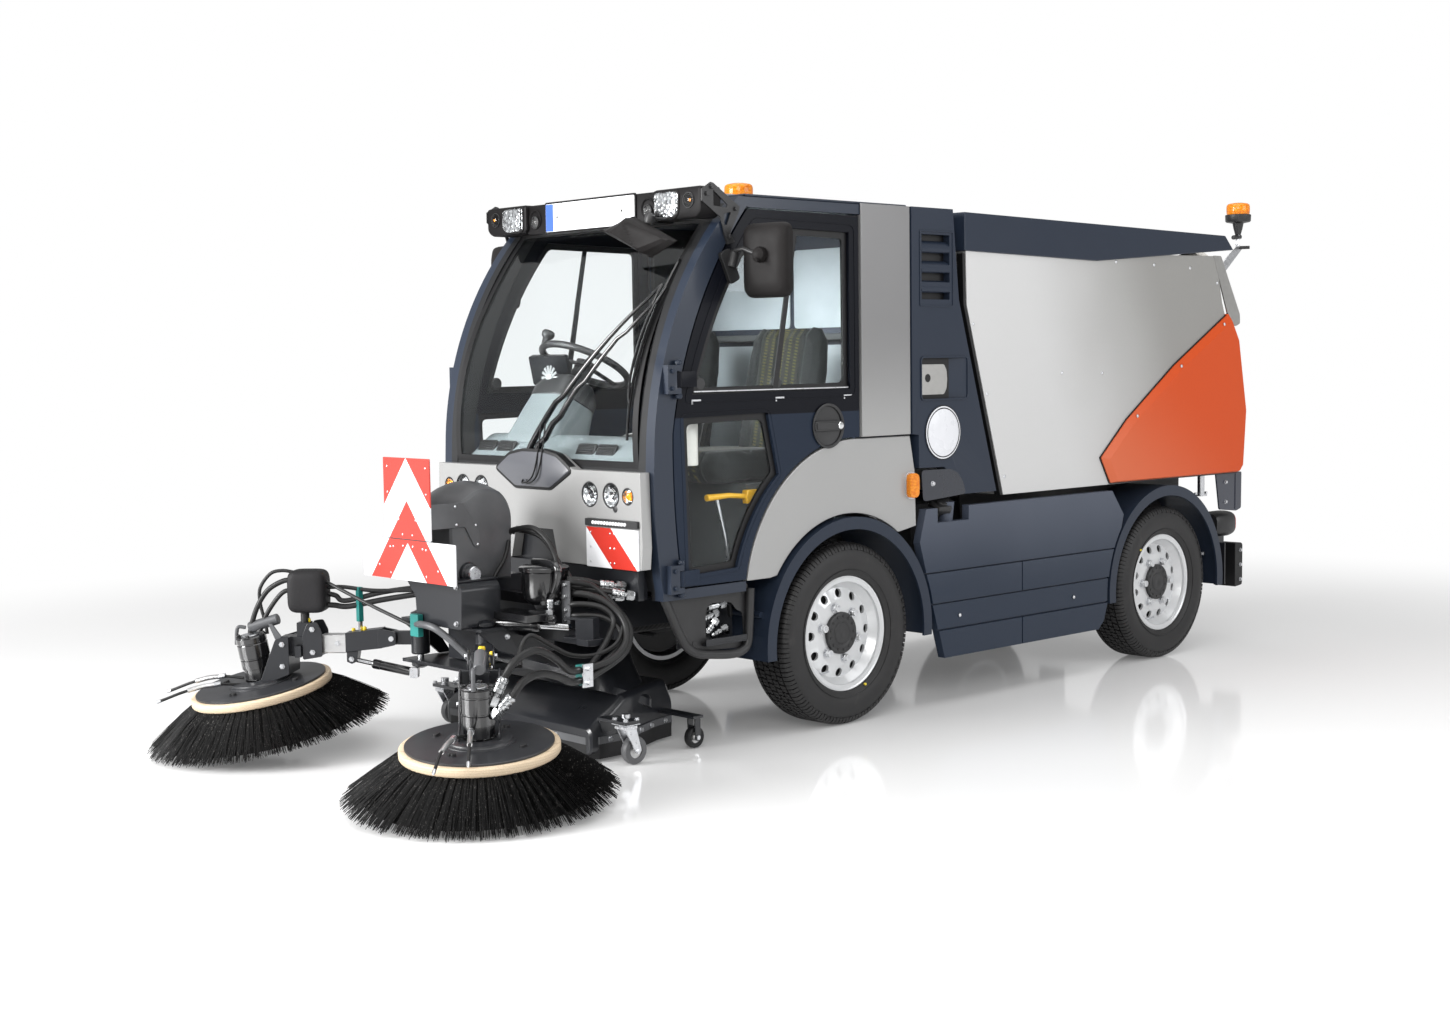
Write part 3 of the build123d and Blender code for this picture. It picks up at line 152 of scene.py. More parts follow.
class Finish:
    """A surface finish under construction: one Principled shader, and a method that adds any other node."""

    def __init__(self, name, **constants):
        self.material = bpy.data.materials.new(name)
        self.material.use_nodes = True
        self.tree = self.material.node_tree
        self.shader = self.tree.nodes["Principled BSDF"]
        for word, value in constants.items():
            self.shader.inputs[word.replace("_", " ").title().replace("Ior", "IOR")].default_value = value

    def add(self, kind, settings=None, inputs=None, out=0):
        node = self.tree.nodes.new("ShaderNode" + kind)
        for word, value in (settings or {}).items():
            if word == "stops":
                ramp = node.color_ramp
                for place, colour in value[len(ramp.elements):]:
                    ramp.elements.new(place)
                for element, (place, colour) in zip(ramp.elements, value):
                    element.position = place
                    element.color = (*colour, 1)
            else:
                setattr(node, word, value)
        for word, value in (inputs or {}).items():
            self.put(node.inputs[word], value)
        return Signal(self, node.outputs[out])

    def put(self, socket, value):
        if isinstance(value, Signal):
            self.tree.links.new(value.socket, socket)
        elif isinstance(value, tuple) and socket.type == "RGBA":
            socket.default_value = (*value[:3], 1)
        else:
            socket.default_value = value

    def feed(self, **sockets):
        for word, value in sockets.items():
            self.put(self.shader.inputs[word.replace("_", " ").title()], value)
        return self

    def place(self, scale=(1, 1, 1), rotation=(0, 0, 0)):
        """The point on the object in metres, stretched along the axes by scale."""
        where = self.add("TexCoord", out="Object")
        return self.add("Mapping", inputs={"Vector": where, "Scale": scale, "Rotation": rotation})

    def noise(self, scale, detail=3.0, stretch=(1, 1, 1), rough=0.5):
        return self.add("TexNoise", inputs={"Vector": self.place(stretch), "Scale": scale, "Detail": detail,
                                            "Roughness": rough})

    def axis(self, letter):
        """One coordinate of the point on the object, in metres."""
        return self.add("SeparateXYZ", inputs={0: self.place()}, out="XYZ".index(letter))

    def mix(self, share, first, second):
        """Colour between first and second, by share."""
        node = self.add("Mix", {"data_type": "RGBA"}, {0: share, 6: first, 7: second}, out=2)
        return node

    def ramp(self, value, *stops):
        return self.add("ValToRGB", {"stops": stops}, {0: value})

    def bump(self, height, distance, strength=1.0):
        return self.add("Bump", inputs={"Height": height, "Distance": distance, "Strength": strength})


FLOOR_HALF = 40.0
FLOOR_FADE = (3.2, 6.5)
DIFFUSE_WORLD = 0.45
LAMPS = (
    # name, place, size, watts, colour
    ("top_softbox", (0.5, -0.5, 6.5), (7.0, 9.0), 330, (1.0, 1.0, 1.0)),
    ("key_softbox", (6.5, -6.5, 4.6), (4.0, 4.0), 300, (1.0, 0.99, 0.97)),
    ("side_softbox", (7.5, 3.0, 3.4), (5.0, 3.0), 190, (0.97, 0.98, 1.0)),
    ("front_softbox", (-2.6, -9.0, 3.0), (4.5, 3.5), 1250, (1.0, 1.0, 1.0)),
)
floor_finish = Finish("studio_floor", roughness=0.09, base_color=(0.80, 0.80, 0.80, 1),
                      emission_color=(1, 1, 1, 1), emission_strength=0.10)
distance = floor_finish.add("VectorMath", {"operation": "LENGTH"}, {0: floor_finish.place()}, out="Value")
white = floor_finish.add("Emission", inputs={"Color": (1, 1, 1), "Strength": 1.0})
blend = floor_finish.add("MixShader", inputs={
    0: distance.step(*FLOOR_FADE), 1: Signal(floor_finish, floor_finish.shader.outputs[0]), 2: white})
floor_finish.tree.links.new(blend.socket, floor_finish.tree.nodes["Material Output"].inputs["Surface"])
floor_mesh = bpy.data.meshes.new("studio_floor")
floor_mesh.from_pydata([(x * FLOOR_HALF, y * FLOOR_HALF, 0) for x, y in ((-1, -1), (1, -1), (1, 1), (-1, 1))],
                       [], [(0, 1, 2, 3)])
floor_mesh.materials.append(floor_finish.material)
floor = bpy.data.objects.new("studio_floor", floor_mesh)
bpy.context.scene.collection.objects.link(floor)

world = bpy.data.worlds.new("studio_world")
bpy.context.scene.world = world
world.use_nodes = True
light_path = world.node_tree.nodes.new("ShaderNodeLightPath")
seen = light_path.outputs["Is Camera Ray"]
either = world.node_tree.nodes.new("ShaderNodeMath")
either.operation = "MAXIMUM"
world.node_tree.links.new(seen, either.inputs[0])
world.node_tree.links.new(light_path.outputs["Is Transmission Ray"], either.inputs[1])
strength = world.node_tree.nodes.new("ShaderNodeMapRange")
world.node_tree.links.new(either.outputs[0], strength.inputs["Value"])
strength.inputs["To Min"].default_value = DIFFUSE_WORLD
strength.inputs["To Max"].default_value = 1.0
world.node_tree.links.new(strength.outputs[0], world.node_tree.nodes["Background"].inputs["Strength"])
world.node_tree.nodes["Background"].inputs["Color"].default_value = (1, 1, 1, 1)

for name, where, size, watts, colour in LAMPS:
    lamp_data = bpy.data.lights.new(name, "AREA")
    lamp_data.shape = "RECTANGLE"
    lamp_data.size, lamp_data.size_y = size
    lamp_data.energy = watts
    lamp_data.color = colour
    lamp = bpy.data.objects.new(name, lamp_data)
    bpy.context.scene.collection.objects.link(lamp)
    target = np.array((0.0, 0.0, 0.8))
    back = np.array(where) - target
    back /= np.linalg.norm(back)
    side = np.cross((0, 1, 0) if abs(back[2]) > 0.95 else (0, 0, 1), back)
    side /= np.linalg.norm(side)
    turned = np.stack([side, np.cross(back, side), back], 1).tolist()
    lamp.matrix_world = Matrix([[*row, place] for row, place in zip(turned, where)] + [[0, 0, 0, 1]])

# ---- painted body: cab, doors, roof, skirts, pillars, arches and cover ------------------------------
# Pressed sheet and moulded covers in a dark blue-grey, with two cab panels and the front in silver-grey.
# Every edge is folded or moulded round, and the paint has a fine orange peel.
SLATE = (0.0150, 0.0220, 0.0375)
# The skirts' darker foot and lighter top are painted shade and painted light.
SKIRT_LIT_TOP, SKIRT_SHADED_FOOT = (0.064, 0.075, 0.102), (0.0125, 0.0215, 0.0400)
# The silver-grey's lighter lower part and darker upper part are painted light and shade.
SILVER_LIT_LOW, SILVER_SHADED_TOP = (0.335, 0.335, 0.332), (0.195, 0.194, 0.196)
ORANGE = (0.50, 0.056, 0.004)


def painted(name, colour, roughness, coat=0.35, flake=0.0, high=None, span=(0.0, 1.0), **constants):
    """Paint on sheet: broad tone drift, optional fine flakes, and an orange-peel bump. With high given, the
    colour changes to it between the two heights of the span."""
    finish = Finish(name, coat_weight=coat, coat_roughness=0.12, **constants)
    share = (0.08 + finish.noise(1.3, 2.0) * 0.14 + (finish.noise(900.0, 1.0) - 0.5) * flake) * 3.0
    base, *above = [finish.mix(share, tuple(c * 0.9 for c in tone), tuple(min(1, c * 1.12) for c in tone))
                    for tone in (colour, high) if tone]
    if above:
        height = finish.axis("Z") + (finish.noise(1.6, 2.0) - 0.5) * 0.3 * (span[1] - span[0])
        base = finish.mix(height.step(*span), base, above[0])
    finish.feed(base_color=base, roughness=roughness + (finish.noise(9.0, 5.0, (1, 1, 0.6)) - 0.5) * 0.12,
                normal=finish.bump(finish.noise(160.0, 2.0), 0.00012, 0.35))
    return finish.material


slate_paint = painted("slate_paint", SLATE, 0.36, coat=0.10, specular_ior_level=0.25)

# Skirt paint: its change from a dark foot to a light top is painted light and shade.
skirt_paint = painted("skirt_paint", SKIRT_SHADED_FOOT, 0.36, 0.10, high=SKIRT_LIT_TOP, span=(0.42, 0.86), specular_ior_level=0.25)
# Silver-grey paint: lighter below 1.0 m and darker above 1.6 m, as painted light and shade.
silver_paint = painted("silver_grey_paint", SILVER_LIT_LOW, 0.34, flake=0.25, high=SILVER_SHADED_TOP, span=(1.00, 1.60), metallic=0.25)
orange_paint = painted("orange_paint", ORANGE, 0.42, coat=0.05, specular_ior_level=0.25)


def dress(piece, finish):
    """The piece takes one material all over."""
    piece.data.materials.clear()
    piece.data.materials.append(finish)
    return piece


def softened(node, finish, width, angle=28, segments=3, slot=None):
    """Copy of a model piece with its loose triangles merged, flat faces joined and sharp edges rounded."""
    import bmesh
    source = frame["nodes"][node]
    work = bmesh.new()
    work.from_mesh(source.data)
    bmesh.ops.remove_doubles(work, verts=work.verts, dist=2e-5)
    bmesh.ops.dissolve_limit(work, angle_limit=math.radians(1.0), verts=work.verts, edges=work.edges,
                             delimit={"NORMAL"})
    mesh = bpy.data.meshes.new(node + "_skin")
    work.to_mesh(mesh)
    work.free()
    piece = bpy.data.objects.new(node + "_skin", mesh)
    bpy.context.scene.collection.objects.link(piece)
    mesh.shade_smooth()
    mesh.set_sharp_from_angle(angle=math.radians(angle))
    rounding = piece.modifiers.new("rounding", "BEVEL")
    rounding.width = width
    rounding.segments = segments
    rounding.limit_method = "ANGLE"
    rounding.angle_limit = math.radians(angle)
    rounding.harden_normals = True
    dress(piece, finish)
    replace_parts(piece, node)
    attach(piece, source["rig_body"])
    return piece


for node, finish, width, slot in (
        ("cab_frame", slate_paint, 0.006, "dark_paint"), ("cab_roof", slate_paint, 0.006, "dark_paint"),
        ("rear_pillars", slate_paint, 0.007, "dark_paint"), ("side_skirts", skirt_paint, 0.006, "dark_paint"),
        ("wheel_arches", slate_paint, 0.006, "dark_paint"), ("left_door", slate_paint, 0.005, "dark_paint"),
        ("right_door", slate_paint, 0.005, "dark_paint"), ("hopper_cover", slate_paint, 0.008, "dark_paint"),
        ("front_panel", silver_paint, 0.010, "grey_paint"), ("quarter_panels", silver_paint, 0.006, "grey_paint")):
    softened(node, finish, width, slot=slot)

# ---- tyres ---------------------------------------------------------------------------------------
# Radial van tyres: a carcass turned from its section, a row of lugs over each shoulder, and four rows of
# sawtooth blocks between them, each cut across by a sipe. They run on silver-painted steel wheels.


def at(x, y, z):
    """Point in the model's frame: x from the middle, y from the front axle, z from the ground, in metres."""
    return np.array((x, axle_y + y, z))


def across(axis):
    """The axis made a unit, and two unit directions at right angles to it and to each other."""
    axis = np.array(axis, float) / np.linalg.norm(axis)
    first = np.cross(axis, (0, 0, 1) if abs(axis[2]) < 0.9 else (0, 1, 0))
    first /= np.linalg.norm(first)
    return axis, first, np.cross(axis, first)


def volume(points, faces):
    """Signed volume inside the faces: a sixth of the triple product of each fan triangle."""
    total = 0.0
    for block in faces:
        for k in range(1, block.shape[1] - 1):
            a, b, c = points[block[:, 0]], points[block[:, k]], points[block[:, k + 1]]
            total += (a * np.cross(b, c)).sum() / 6
    return total


def outward(points, faces):
    """The same solid with its faces turned to point outwards."""
    centred = points - points.mean(0)
    return (points, [block[:, ::-1] for block in faces]) if volume(centred, faces) < 0 else (points, faces)


def skin(grid, closed=False):
    """Solid over a grid [station, place round the section]: quads between neighbouring rings, and a flat
    cap on the first and the last ring, or the last ring joined to the first where it is closed."""
    count, around = grid.shape[:2]
    index = np.arange(count * around).reshape(count, around)
    here, there = (index, np.roll(index, -1, 0)) if closed else (index[:-1], index[1:])
    quads = np.stack([here, np.roll(here, -1, 1), np.roll(there, -1, 1), there], -1).reshape(-1, 4)
    faces = [quads] if closed else [quads, index[:1, ::-1], index[-1:]]
    return outward(grid.reshape(-1, 3), faces)


def turned(profile, origin, axis, steps=48, closed=False):
    """Profile of (radius, height) pairs carried round an axis:
    origin + height * axis + radius * (cos t * first + sin t * second)."""
    radius, height = np.array(profile, float).T[:, :, None, None]
    axis, first, second = across(axis)
    t = np.linspace(0, 2 * math.pi, steps, endpoint=False)[None, :, None]
    return skin(origin + height * axis + radius * (np.cos(t) * first + np.sin(t) * second), closed)


def slab(outline, origin, u, v, depth):
    """Outline of (a, b) pairs, at origin + a * u + b * v, carried by the vector depth."""
    flat = np.array(outline, float)
    ring = np.array(origin) + flat[:, :1] * np.array(u, float) + flat[:, 1:] * np.array(v, float)
    return skin(np.stack([ring, ring + np.array(depth, float)]))


def block(low, high):
    """Upright box between two corners."""
    low, high = np.array(low, float), np.array(high, float)
    wide, deep, tall = high - low
    return slab([(0, 0), (wide, 0), (wide, deep), (0, deep)], low, (1, 0, 0), (0, 1, 0), (0, 0, tall))


def rounded(points, radius, steps=5):
    """Outline with its corners rounded: each becomes a quadratic curve between points radius from it, or a
    little under half of the shorter edge beside it if that is less."""
    corner = np.array(points, float)[:, None]
    before, after = np.roll(corner, 1, 0) - corner, np.roll(corner, -1, 0) - corner
    lengths = [np.linalg.norm(way, axis=2, keepdims=True) for way in (before, after)]
    reach = np.minimum(radius, 0.46 * np.minimum(*lengths))
    start, end = (corner + way / length * reach for way, length in zip((before, after), lengths))
    t = np.linspace(0, 1, steps)[None, :, None]
    return ((1 - t) ** 2 * start + 2 * t * (1 - t) * corner + t ** 2 * end).reshape(-1, corner.shape[2])


def oblong(width, height, radius, steps=5):
    """Rounded rectangle about the middle."""
    a, b = width / 2, height / 2
    return rounded([(-a, -b), (a, -b), (a, b), (-a, b)], radius, steps)


def copies(part, places, turns=None):
    """The part at each place; a turn's columns are the directions that the part's x, y and z take."""
    points, faces = part
    places = np.array(places, float)
    turns = np.eye(3)[None] if turns is None else np.array(turns)
    moved = np.einsum("kij,nj->kni", np.broadcast_to(turns, (len(places), 3, 3)), points) + places[:, None]
    steps = np.arange(len(places))[:, None, None] * len(points)
    return moved.reshape(-1, 3), [(own[None] + steps).reshape(-1, own.shape[1]) for own in faces]


def joined(*parts):
    """Several solids as one list of points and faces."""
    starts = np.cumsum([0] + [len(points) for points, _ in parts])
    faces = [own + start for (_, blocks), start in zip(parts, starts) for own in blocks]
    return np.concatenate([points for points, _ in parts]), faces


def mirrored(part):
    """The part on the vehicle's other side."""
    points, faces = part
    return points * (-1, 1, 1), [own[:, ::-1] for own in faces]


def piece(name, part, finish, body, slot=None, angle=32, rounding=None):
    """Object made of the part's faces, smooth below the angle, with its sharper edges rounded if asked."""
    points, faces = part
    corners = np.concatenate([own.ravel() for own in faces])
    counts = np.concatenate([np.full(len(own), own.shape[1]) for own in faces])
    mesh = bpy.data.meshes.new(name)
    mesh.vertices.add(len(points))
    mesh.vertices.foreach_set("co", points.astype(np.float32).ravel())
    mesh.loops.add(len(corners))
    mesh.loops.foreach_set("vertex_index", corners.astype(np.int32))
    mesh.polygons.add(len(counts))
    mesh.polygons.foreach_set("loop_start", (np.cumsum(counts) - counts).astype(np.int32))
    mesh.update(calc_edges=True)
    mesh.shade_smooth()
    mesh.set_sharp_from_angle(angle=math.radians(angle))
    made = bpy.data.objects.new(name, mesh)
    bpy.context.scene.collection.objects.link(made)
    if rounding:
        bevel = made.modifiers.new("rounding", "BEVEL")
        bevel.width = rounding
        bevel.segments = 2
        bevel.limit_method = "ANGLE"
        bevel.angle_limit = math.radians(angle)
        bevel.harden_normals = True
    dress(made, finish)
    if body:
        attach(made, body)
    return made


def moulded(name, colour, roughness, grain=700.0, depth=0.0001, drift=0.25, **constants):
    """Rubber or plastic from a mould: a fine grain in the bump, and a slow drift of tone and of gloss."""
    finish = Finish(name, **constants)
    tone = finish.noise(5.0, 4.0)
    light = tuple(min(1, c * (1 + drift)) for c in colour)
    dark = tuple(c * (1 - drift) for c in colour)
    finish.feed(base_color=finish.mix(tone.step(0.3, 0.7), dark, light),
                roughness=roughness + (finish.noise(23.0, 5.0) - 0.5) * 0.18,
                normal=finish.bump(finish.noise(grain, 2.0), depth, 0.6))
    return finish.material


TYRE_R = (front_tyre[1].z - front_tyre[0].z) / 2
TYRE_HALF_W = (front_tyre[1].x - front_tyre[0].x) / 2
WHEEL_X = (front_tyre[1].x + front_tyre[0].x) / 2
rear_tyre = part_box("rear_left_tyre")
WHEELBASE = (rear_tyre[0].y + rear_tyre[1].y) / 2 - axle_y
CARCASS = [(0.2088, 0.0700), (0.2165, 0.0772), (0.2240, 0.0800), (0.2270, 0.0862), (0.2335, 0.0880),
           (0.2365, 0.0912), (0.2550, 0.0975), (0.2760, 0.1012), (0.2920, 0.1020), (0.3060, 0.1002),
           (0.3200, 0.0962), (0.3300, 0.0915), (0.3370, 0.0855), (0.3415, 0.0760), (0.3430, 0.0500),
           (0.3436, 0.0160)]
PITCHES = 58
ROWS = (-0.0435, -0.0145, 0.0145, 0.0435)
ROW_HALF_W = 0.0128


def tread_point(s, x, r):
    """Place on the tread: s along the rolling line, x across and r from the axle, wrapped round the wheel."""
    turn_at = s / TYRE_R
    return np.stack([x, r * np.sin(turn_at), r * np.cos(turn_at)], -1)


def wrapped(outline, low, high):
    """Tread block with an (s, x) outline, a little narrower at its top, before it is wrapped round."""
    flat = np.array(outline)
    middle = flat.mean(0)
    top = middle + (flat - middle) * 0.94
    return np.stack([np.column_stack([flat, np.full(len(flat), low)]),
                     np.column_stack([top, np.full(len(top), high)])])


def tread_blocks():
    """Half blocks with a stepped end, in rows half a pitch apart, and stepped lugs over both shoulders."""
    pitch = 2 * math.pi * TYRE_R / PITCHES
    a, w = pitch / 2, ROW_HALF_W
    step = 0.16 * pitch
    halves = [
        [(-a + step, -w), (-0.0006, -w), (-0.0006, w), (-a + 0.002, w), (-a + 0.002, 0), (-a + step, -0.001)],
        [(0.0006, -w), (a - 0.002, -w), (a - 0.002, 0), (a - step, 0.001), (a - step, w), (0.0006, w)]]
    starts = np.arange(PITCHES) * pitch
    parts = []
    for number, row in enumerate(ROWS):
        for half in halves:
            grid = wrapped(half, 0.3400, TYRE_R)
            s = grid[None, ..., 0] + (starts + number % 2 * a)[:, None, None]
            x = grid[None, ..., 1] + row
            solid = skin(grid)
            wound = tread_point(s, x + 0 * s, grid[None, ..., 2] + 0 * s).reshape(PITCHES, -1, 3)
            offsets = (np.arange(PITCHES) * grid.shape[0] * grid.shape[1])[:, None, None]
            faces = [(own[None] + offsets).reshape(-1, own.shape[1]) for own in solid[1]]
            parts.append(outward(wound.reshape(-1, 3), faces))
    section = np.array([(0.0625, TYRE_R - 0.0002), (0.0780, 0.3495), (0.0880, 0.3440), (0.0955, 0.3330),
                        (0.0985, 0.3240), (0.0930, 0.3220), (0.0800, 0.3360), (0.0625, 0.3390)])
    for side in (-1, 1):
        for number, (low, high, reach) in enumerate(((-0.44, -0.04, 1.0), (0.04, 0.44, 0.6))):
            ends = np.array((low, high)) * pitch
            s = (starts[:, None, None] + ends[None, :, None]) + np.zeros((PITCHES, 2, len(section)))
            shrunk = section.copy()
            shrunk[3:5] -= (1 - reach) * np.array((0.0035, -0.006))
            x = side * shrunk[None, None, :, 0] + 0 * s
            r = shrunk[None, None, :, 1] + 0 * s
            wound = tread_point(s, x, r).reshape(PITCHES, -1, 3)
            solid = skin(np.zeros((2, len(section), 3)))
            offsets = (np.arange(PITCHES) * 2 * len(section))[:, None, None]
            faces = [(own[None] + offsets).reshape(-1, own.shape[1]) for own in solid[1]]
            parts.append(outward(wound.reshape(-1, 3), faces))
    return joined(*parts)


def sidewall_rubber():
    """Tyre rubber: near-black and matt, greyer where it has scuffed, with thin moulded rings round the side."""
    finish = Finish("tyre_rubber", specular_ior_level=0.45)
    scuff = finish.noise(14.0, 6.0, rough=0.65)
    finish.feed(base_color=finish.ramp(scuff, (0.3, (0.0080, 0.0078, 0.0084)), (0.62, (0.0145, 0.0140, 0.0145)),
                                       (0.8, (0.030, 0.028, 0.0275))),
                roughness=0.44 + scuff * 0.22,
                normal=finish.bump(finish.noise(420.0, 3.0), 0.0002, 0.5))
    return finish.material


tyre_rubber = sidewall_rubber()
blocks_part = tread_blocks()
side_sections = CARCASS + [(r, -x) for r, x in CARCASS[::-1]]
RIBS = 150
rib = slab([(-0.0008, 0.2995), (0.0008, 0.2995), (0.0008, 0.3155), (-0.0008, 0.3155)], (0.0968, 0, 0),
           (0, 1, 0), (-0.045, 0, 1), (0.0045, 0, 0))
rib_turns = np.array([turn(0, 360 * i / RIBS) for i in range(RIBS)])
ribs_part = copies(rib, np.zeros((RIBS, 3)), rib_turns)
bead_ring = turned([(0.2445, 0.094), (0.2445, 0.0968), (0.2472, 0.0975), (0.2472, 0.094)], (0, 0, 0), (1, 0, 0),
                   96, closed=True)
tyre_part = joined(turned(side_sections, (0, 0, 0), (1, 0, 0), 96, closed=True), blocks_part, ribs_part,
                   mirrored(ribs_part), bead_ring)
WHEELS = [(end, side, sign, station) for end, station in (("front", 0.0), ("rear", WHEELBASE))
          for side, sign in (("left", 1), ("right", -1))]
for end, side, sign, station in WHEELS:
    middle = at(sign * WHEEL_X, station, TYRE_R)
    whole = tyre_part if sign > 0 else mirrored(tyre_part)
    tread = piece(end + "_" + side + "_tyre_tread", copies(whole, [middle]), tyre_rubber,
                  end + "_" + side + "_wheel", "tyre")
    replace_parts(tread, end + "_" + side + "_tyre")

# ---- wheels ----------------------------------------------------------------------------------------
# Pressed steel wheels painted silver, with a rolled lip and gutter, six domed nuts on conical seats, a
# rubber-stemmed valve, and the black cast hub cap that shows through the middle.
WHEEL_SILVER = (0.60, 0.61, 0.62)
wheel_paint = painted("wheel_silver_paint", WHEEL_SILVER, 0.30, coat=0.5, flake=0.12, metallic=0.35)
satin_black = moulded("satin_black_casting", (0.016, 0.016, 0.017), 0.45, 260.0, 0.0002)


def plated(name, colour, roughness, mottle=0.16):
    """Bright plated steel: a metal with a slow mottle in its colour and a fine drift in its gloss."""
    finish = Finish(name, metallic=1.0)
    patches = finish.noise(60.0, 4.0)
    light = tuple(min(1, c * (1 + mottle)) for c in colour)
    dark = tuple(c * (1 - mottle) for c in colour)
    finish.feed(base_color=finish.mix(patches, dark, light), roughness=roughness + (patches - 0.5) * 0.25,
                normal=finish.bump(finish.noise(900.0, 2.0), 0.00004, 0.4))
    return finish.material


zinc = plated("bright_zinc", (0.62, 0.63, 0.65), 0.30)
chrome = plated("hard_chrome", (0.78, 0.79, 0.80), 0.10, 0.04)
LIP = [(0.2010, 0.0600), (0.2045, 0.0690), (0.2085, 0.0735), (0.2125, 0.0765), (0.2175, 0.0800),
       (0.2205, 0.0806), (0.2228, 0.0790), (0.2230, 0.0765), (0.2205, 0.0742), (0.2120, 0.0730),
       (0.2068, 0.0690), (0.2040, 0.0600)]
GUTTER = [(0.1985, 0.0480), (0.1995, 0.0610), (0.2015, 0.0660), (0.2035, 0.0610), (0.2030, 0.0480)]
STUD_CIRCLE, STUDS = 0.102, 6
FRONT_TURN = -15
NUT = [(0.0225, 0.0490), (0.0215, 0.0520), (0.0162, 0.0532), (0.0162, 0.0590), (0.0150, 0.0612),
       (0.0140, 0.0625), (0.0140, 0.0690), (0.0115, 0.0722), (0.0060, 0.0730)]
CAP = [(0.0795, 0.0480), (0.0812, 0.0500), (0.0815, 0.0590), (0.0802, 0.0630), (0.0765, 0.0650),
       (0.0500, 0.0652), (0.0480, 0.0640), (0.0420, 0.0640), (0.0400, 0.0662), (0.0380, 0.0668),
       (0.0120, 0.0668), (0.0090, 0.0655)]
CAP_BOLT = [(0.0062, 0.0640), (0.0062, 0.0672), (0.0045, 0.0684)]
VALVE = [(0.0050, 0.0), (0.0055, 0.008), (0.0040, 0.014), (0.0032, 0.030), (0.0040, 0.031), (0.0040, 0.038)]


def ring_of(part, count, radius, phase=0.0):
    """The part, made along X, count times round the X axis at the radius."""
    t = np.linspace(0, 2 * math.pi, count, endpoint=False) + math.radians(phase)
    return copies(part, np.stack([0 * t, radius * np.cos(t), radius * np.sin(t)], 1))


DRUM = [(0.1000, -0.0500), (0.1850, -0.0500), (0.1850, 0.0180), (0.1780, 0.0220), (0.1000, 0.0220)]
drum_part = turned(DRUM, (0, 0, 0), (1, 0, 0), 64, closed=True)
RINGS = [(0.1880, 0.0340), (0.1905, 0.0365), (0.1930, 0.0340), (0.1905, 0.0320)]
lip_part = joined(turned(RINGS, (0, 0, 0), (1, 0, 0), 96, closed=True),
                  turned(LIP, (0, 0, 0), (1, 0, 0), 96, closed=True),
                  turned(GUTTER, (0, 0, 0), (1, 0, 0), 96, closed=True))
nut_part = joined(ring_of(turned(NUT[:2], (0, 0, 0), (1, 0, 0), 20), STUDS, STUD_CIRCLE),
                  ring_of(turned(NUT[2:5], (0, 0, 0), (1, 0, 0), 6), STUDS, STUD_CIRCLE),
                  ring_of(turned(NUT[4:], (0, 0, 0), (1, 0, 0), 16), STUDS, STUD_CIRCLE))
cap_part = joined(turned(CAP, (0, 0, 0), (1, 0, 0), 48),
                  ring_of(turned(CAP_BOLT, (0, 0, 0), (1, 0, 0), 8), 13, 0.0650, 15))
valve_part = turned(VALVE, (0.046, -0.062, -0.170), (0.9, 0.12, 0.35), 12)
for end, side, sign, station in WHEELS:
    label = end + "_" + side
    middle = at(sign * WHEEL_X, station, TYRE_R)
    softened(label + "_rim", wheel_paint, 0.0022, slot="wheel_silver")
    for name, part, finish, slot in (("lip", lip_part, wheel_paint, "wheel_silver"),
                                     ("nuts", nut_part, zinc, "steel"), ("cap", cap_part, satin_black, "cast"),
                                     ("drum", drum_part, satin_black, "cast"),
                                     ("valve", valve_part, zinc, "steel")):
        own = part if sign > 0 else mirrored(part)
        spin = turn(0, FRONT_TURN if end == "front" else 0)
        piece(label + "_wheel_" + name, copies(own, [middle], [spin]), finish, label + "_wheel", slot)

# ---- brushes -----------------------------------------------------------------------------------------
# Disc brushes: tufts of stiff black bristles in a birch plywood ring, under a black steel disc with a hub
# plate and four bolts. The hydraulic motor that turns each one stands on its arm.
BRUSH_TIP_R, BRUSH_RING_R, BRUSH_DROP = 0.445, 0.255, 0.150
BRUSHES = (
    # side, sign, centre (x, y), lean along x and y
    ("left", 1, (0.690, -1.785), (0.068, -0.073)),
    ("right", -1, (-0.640, -1.800), (-0.029, -0.184)),
)
TUFT_ROWS = (
    # tufts, bristles in each, radius at the ring, share of the full spread at the tip
    (76, 21, 0.243, (0.90, 1.00)), (62, 12, 0.226, (0.76, 0.93)), (44, 7, 0.205, (0.64, 0.80)))
BRISTLE_R = 0.00165
BRISTLE_STATIONS = 4


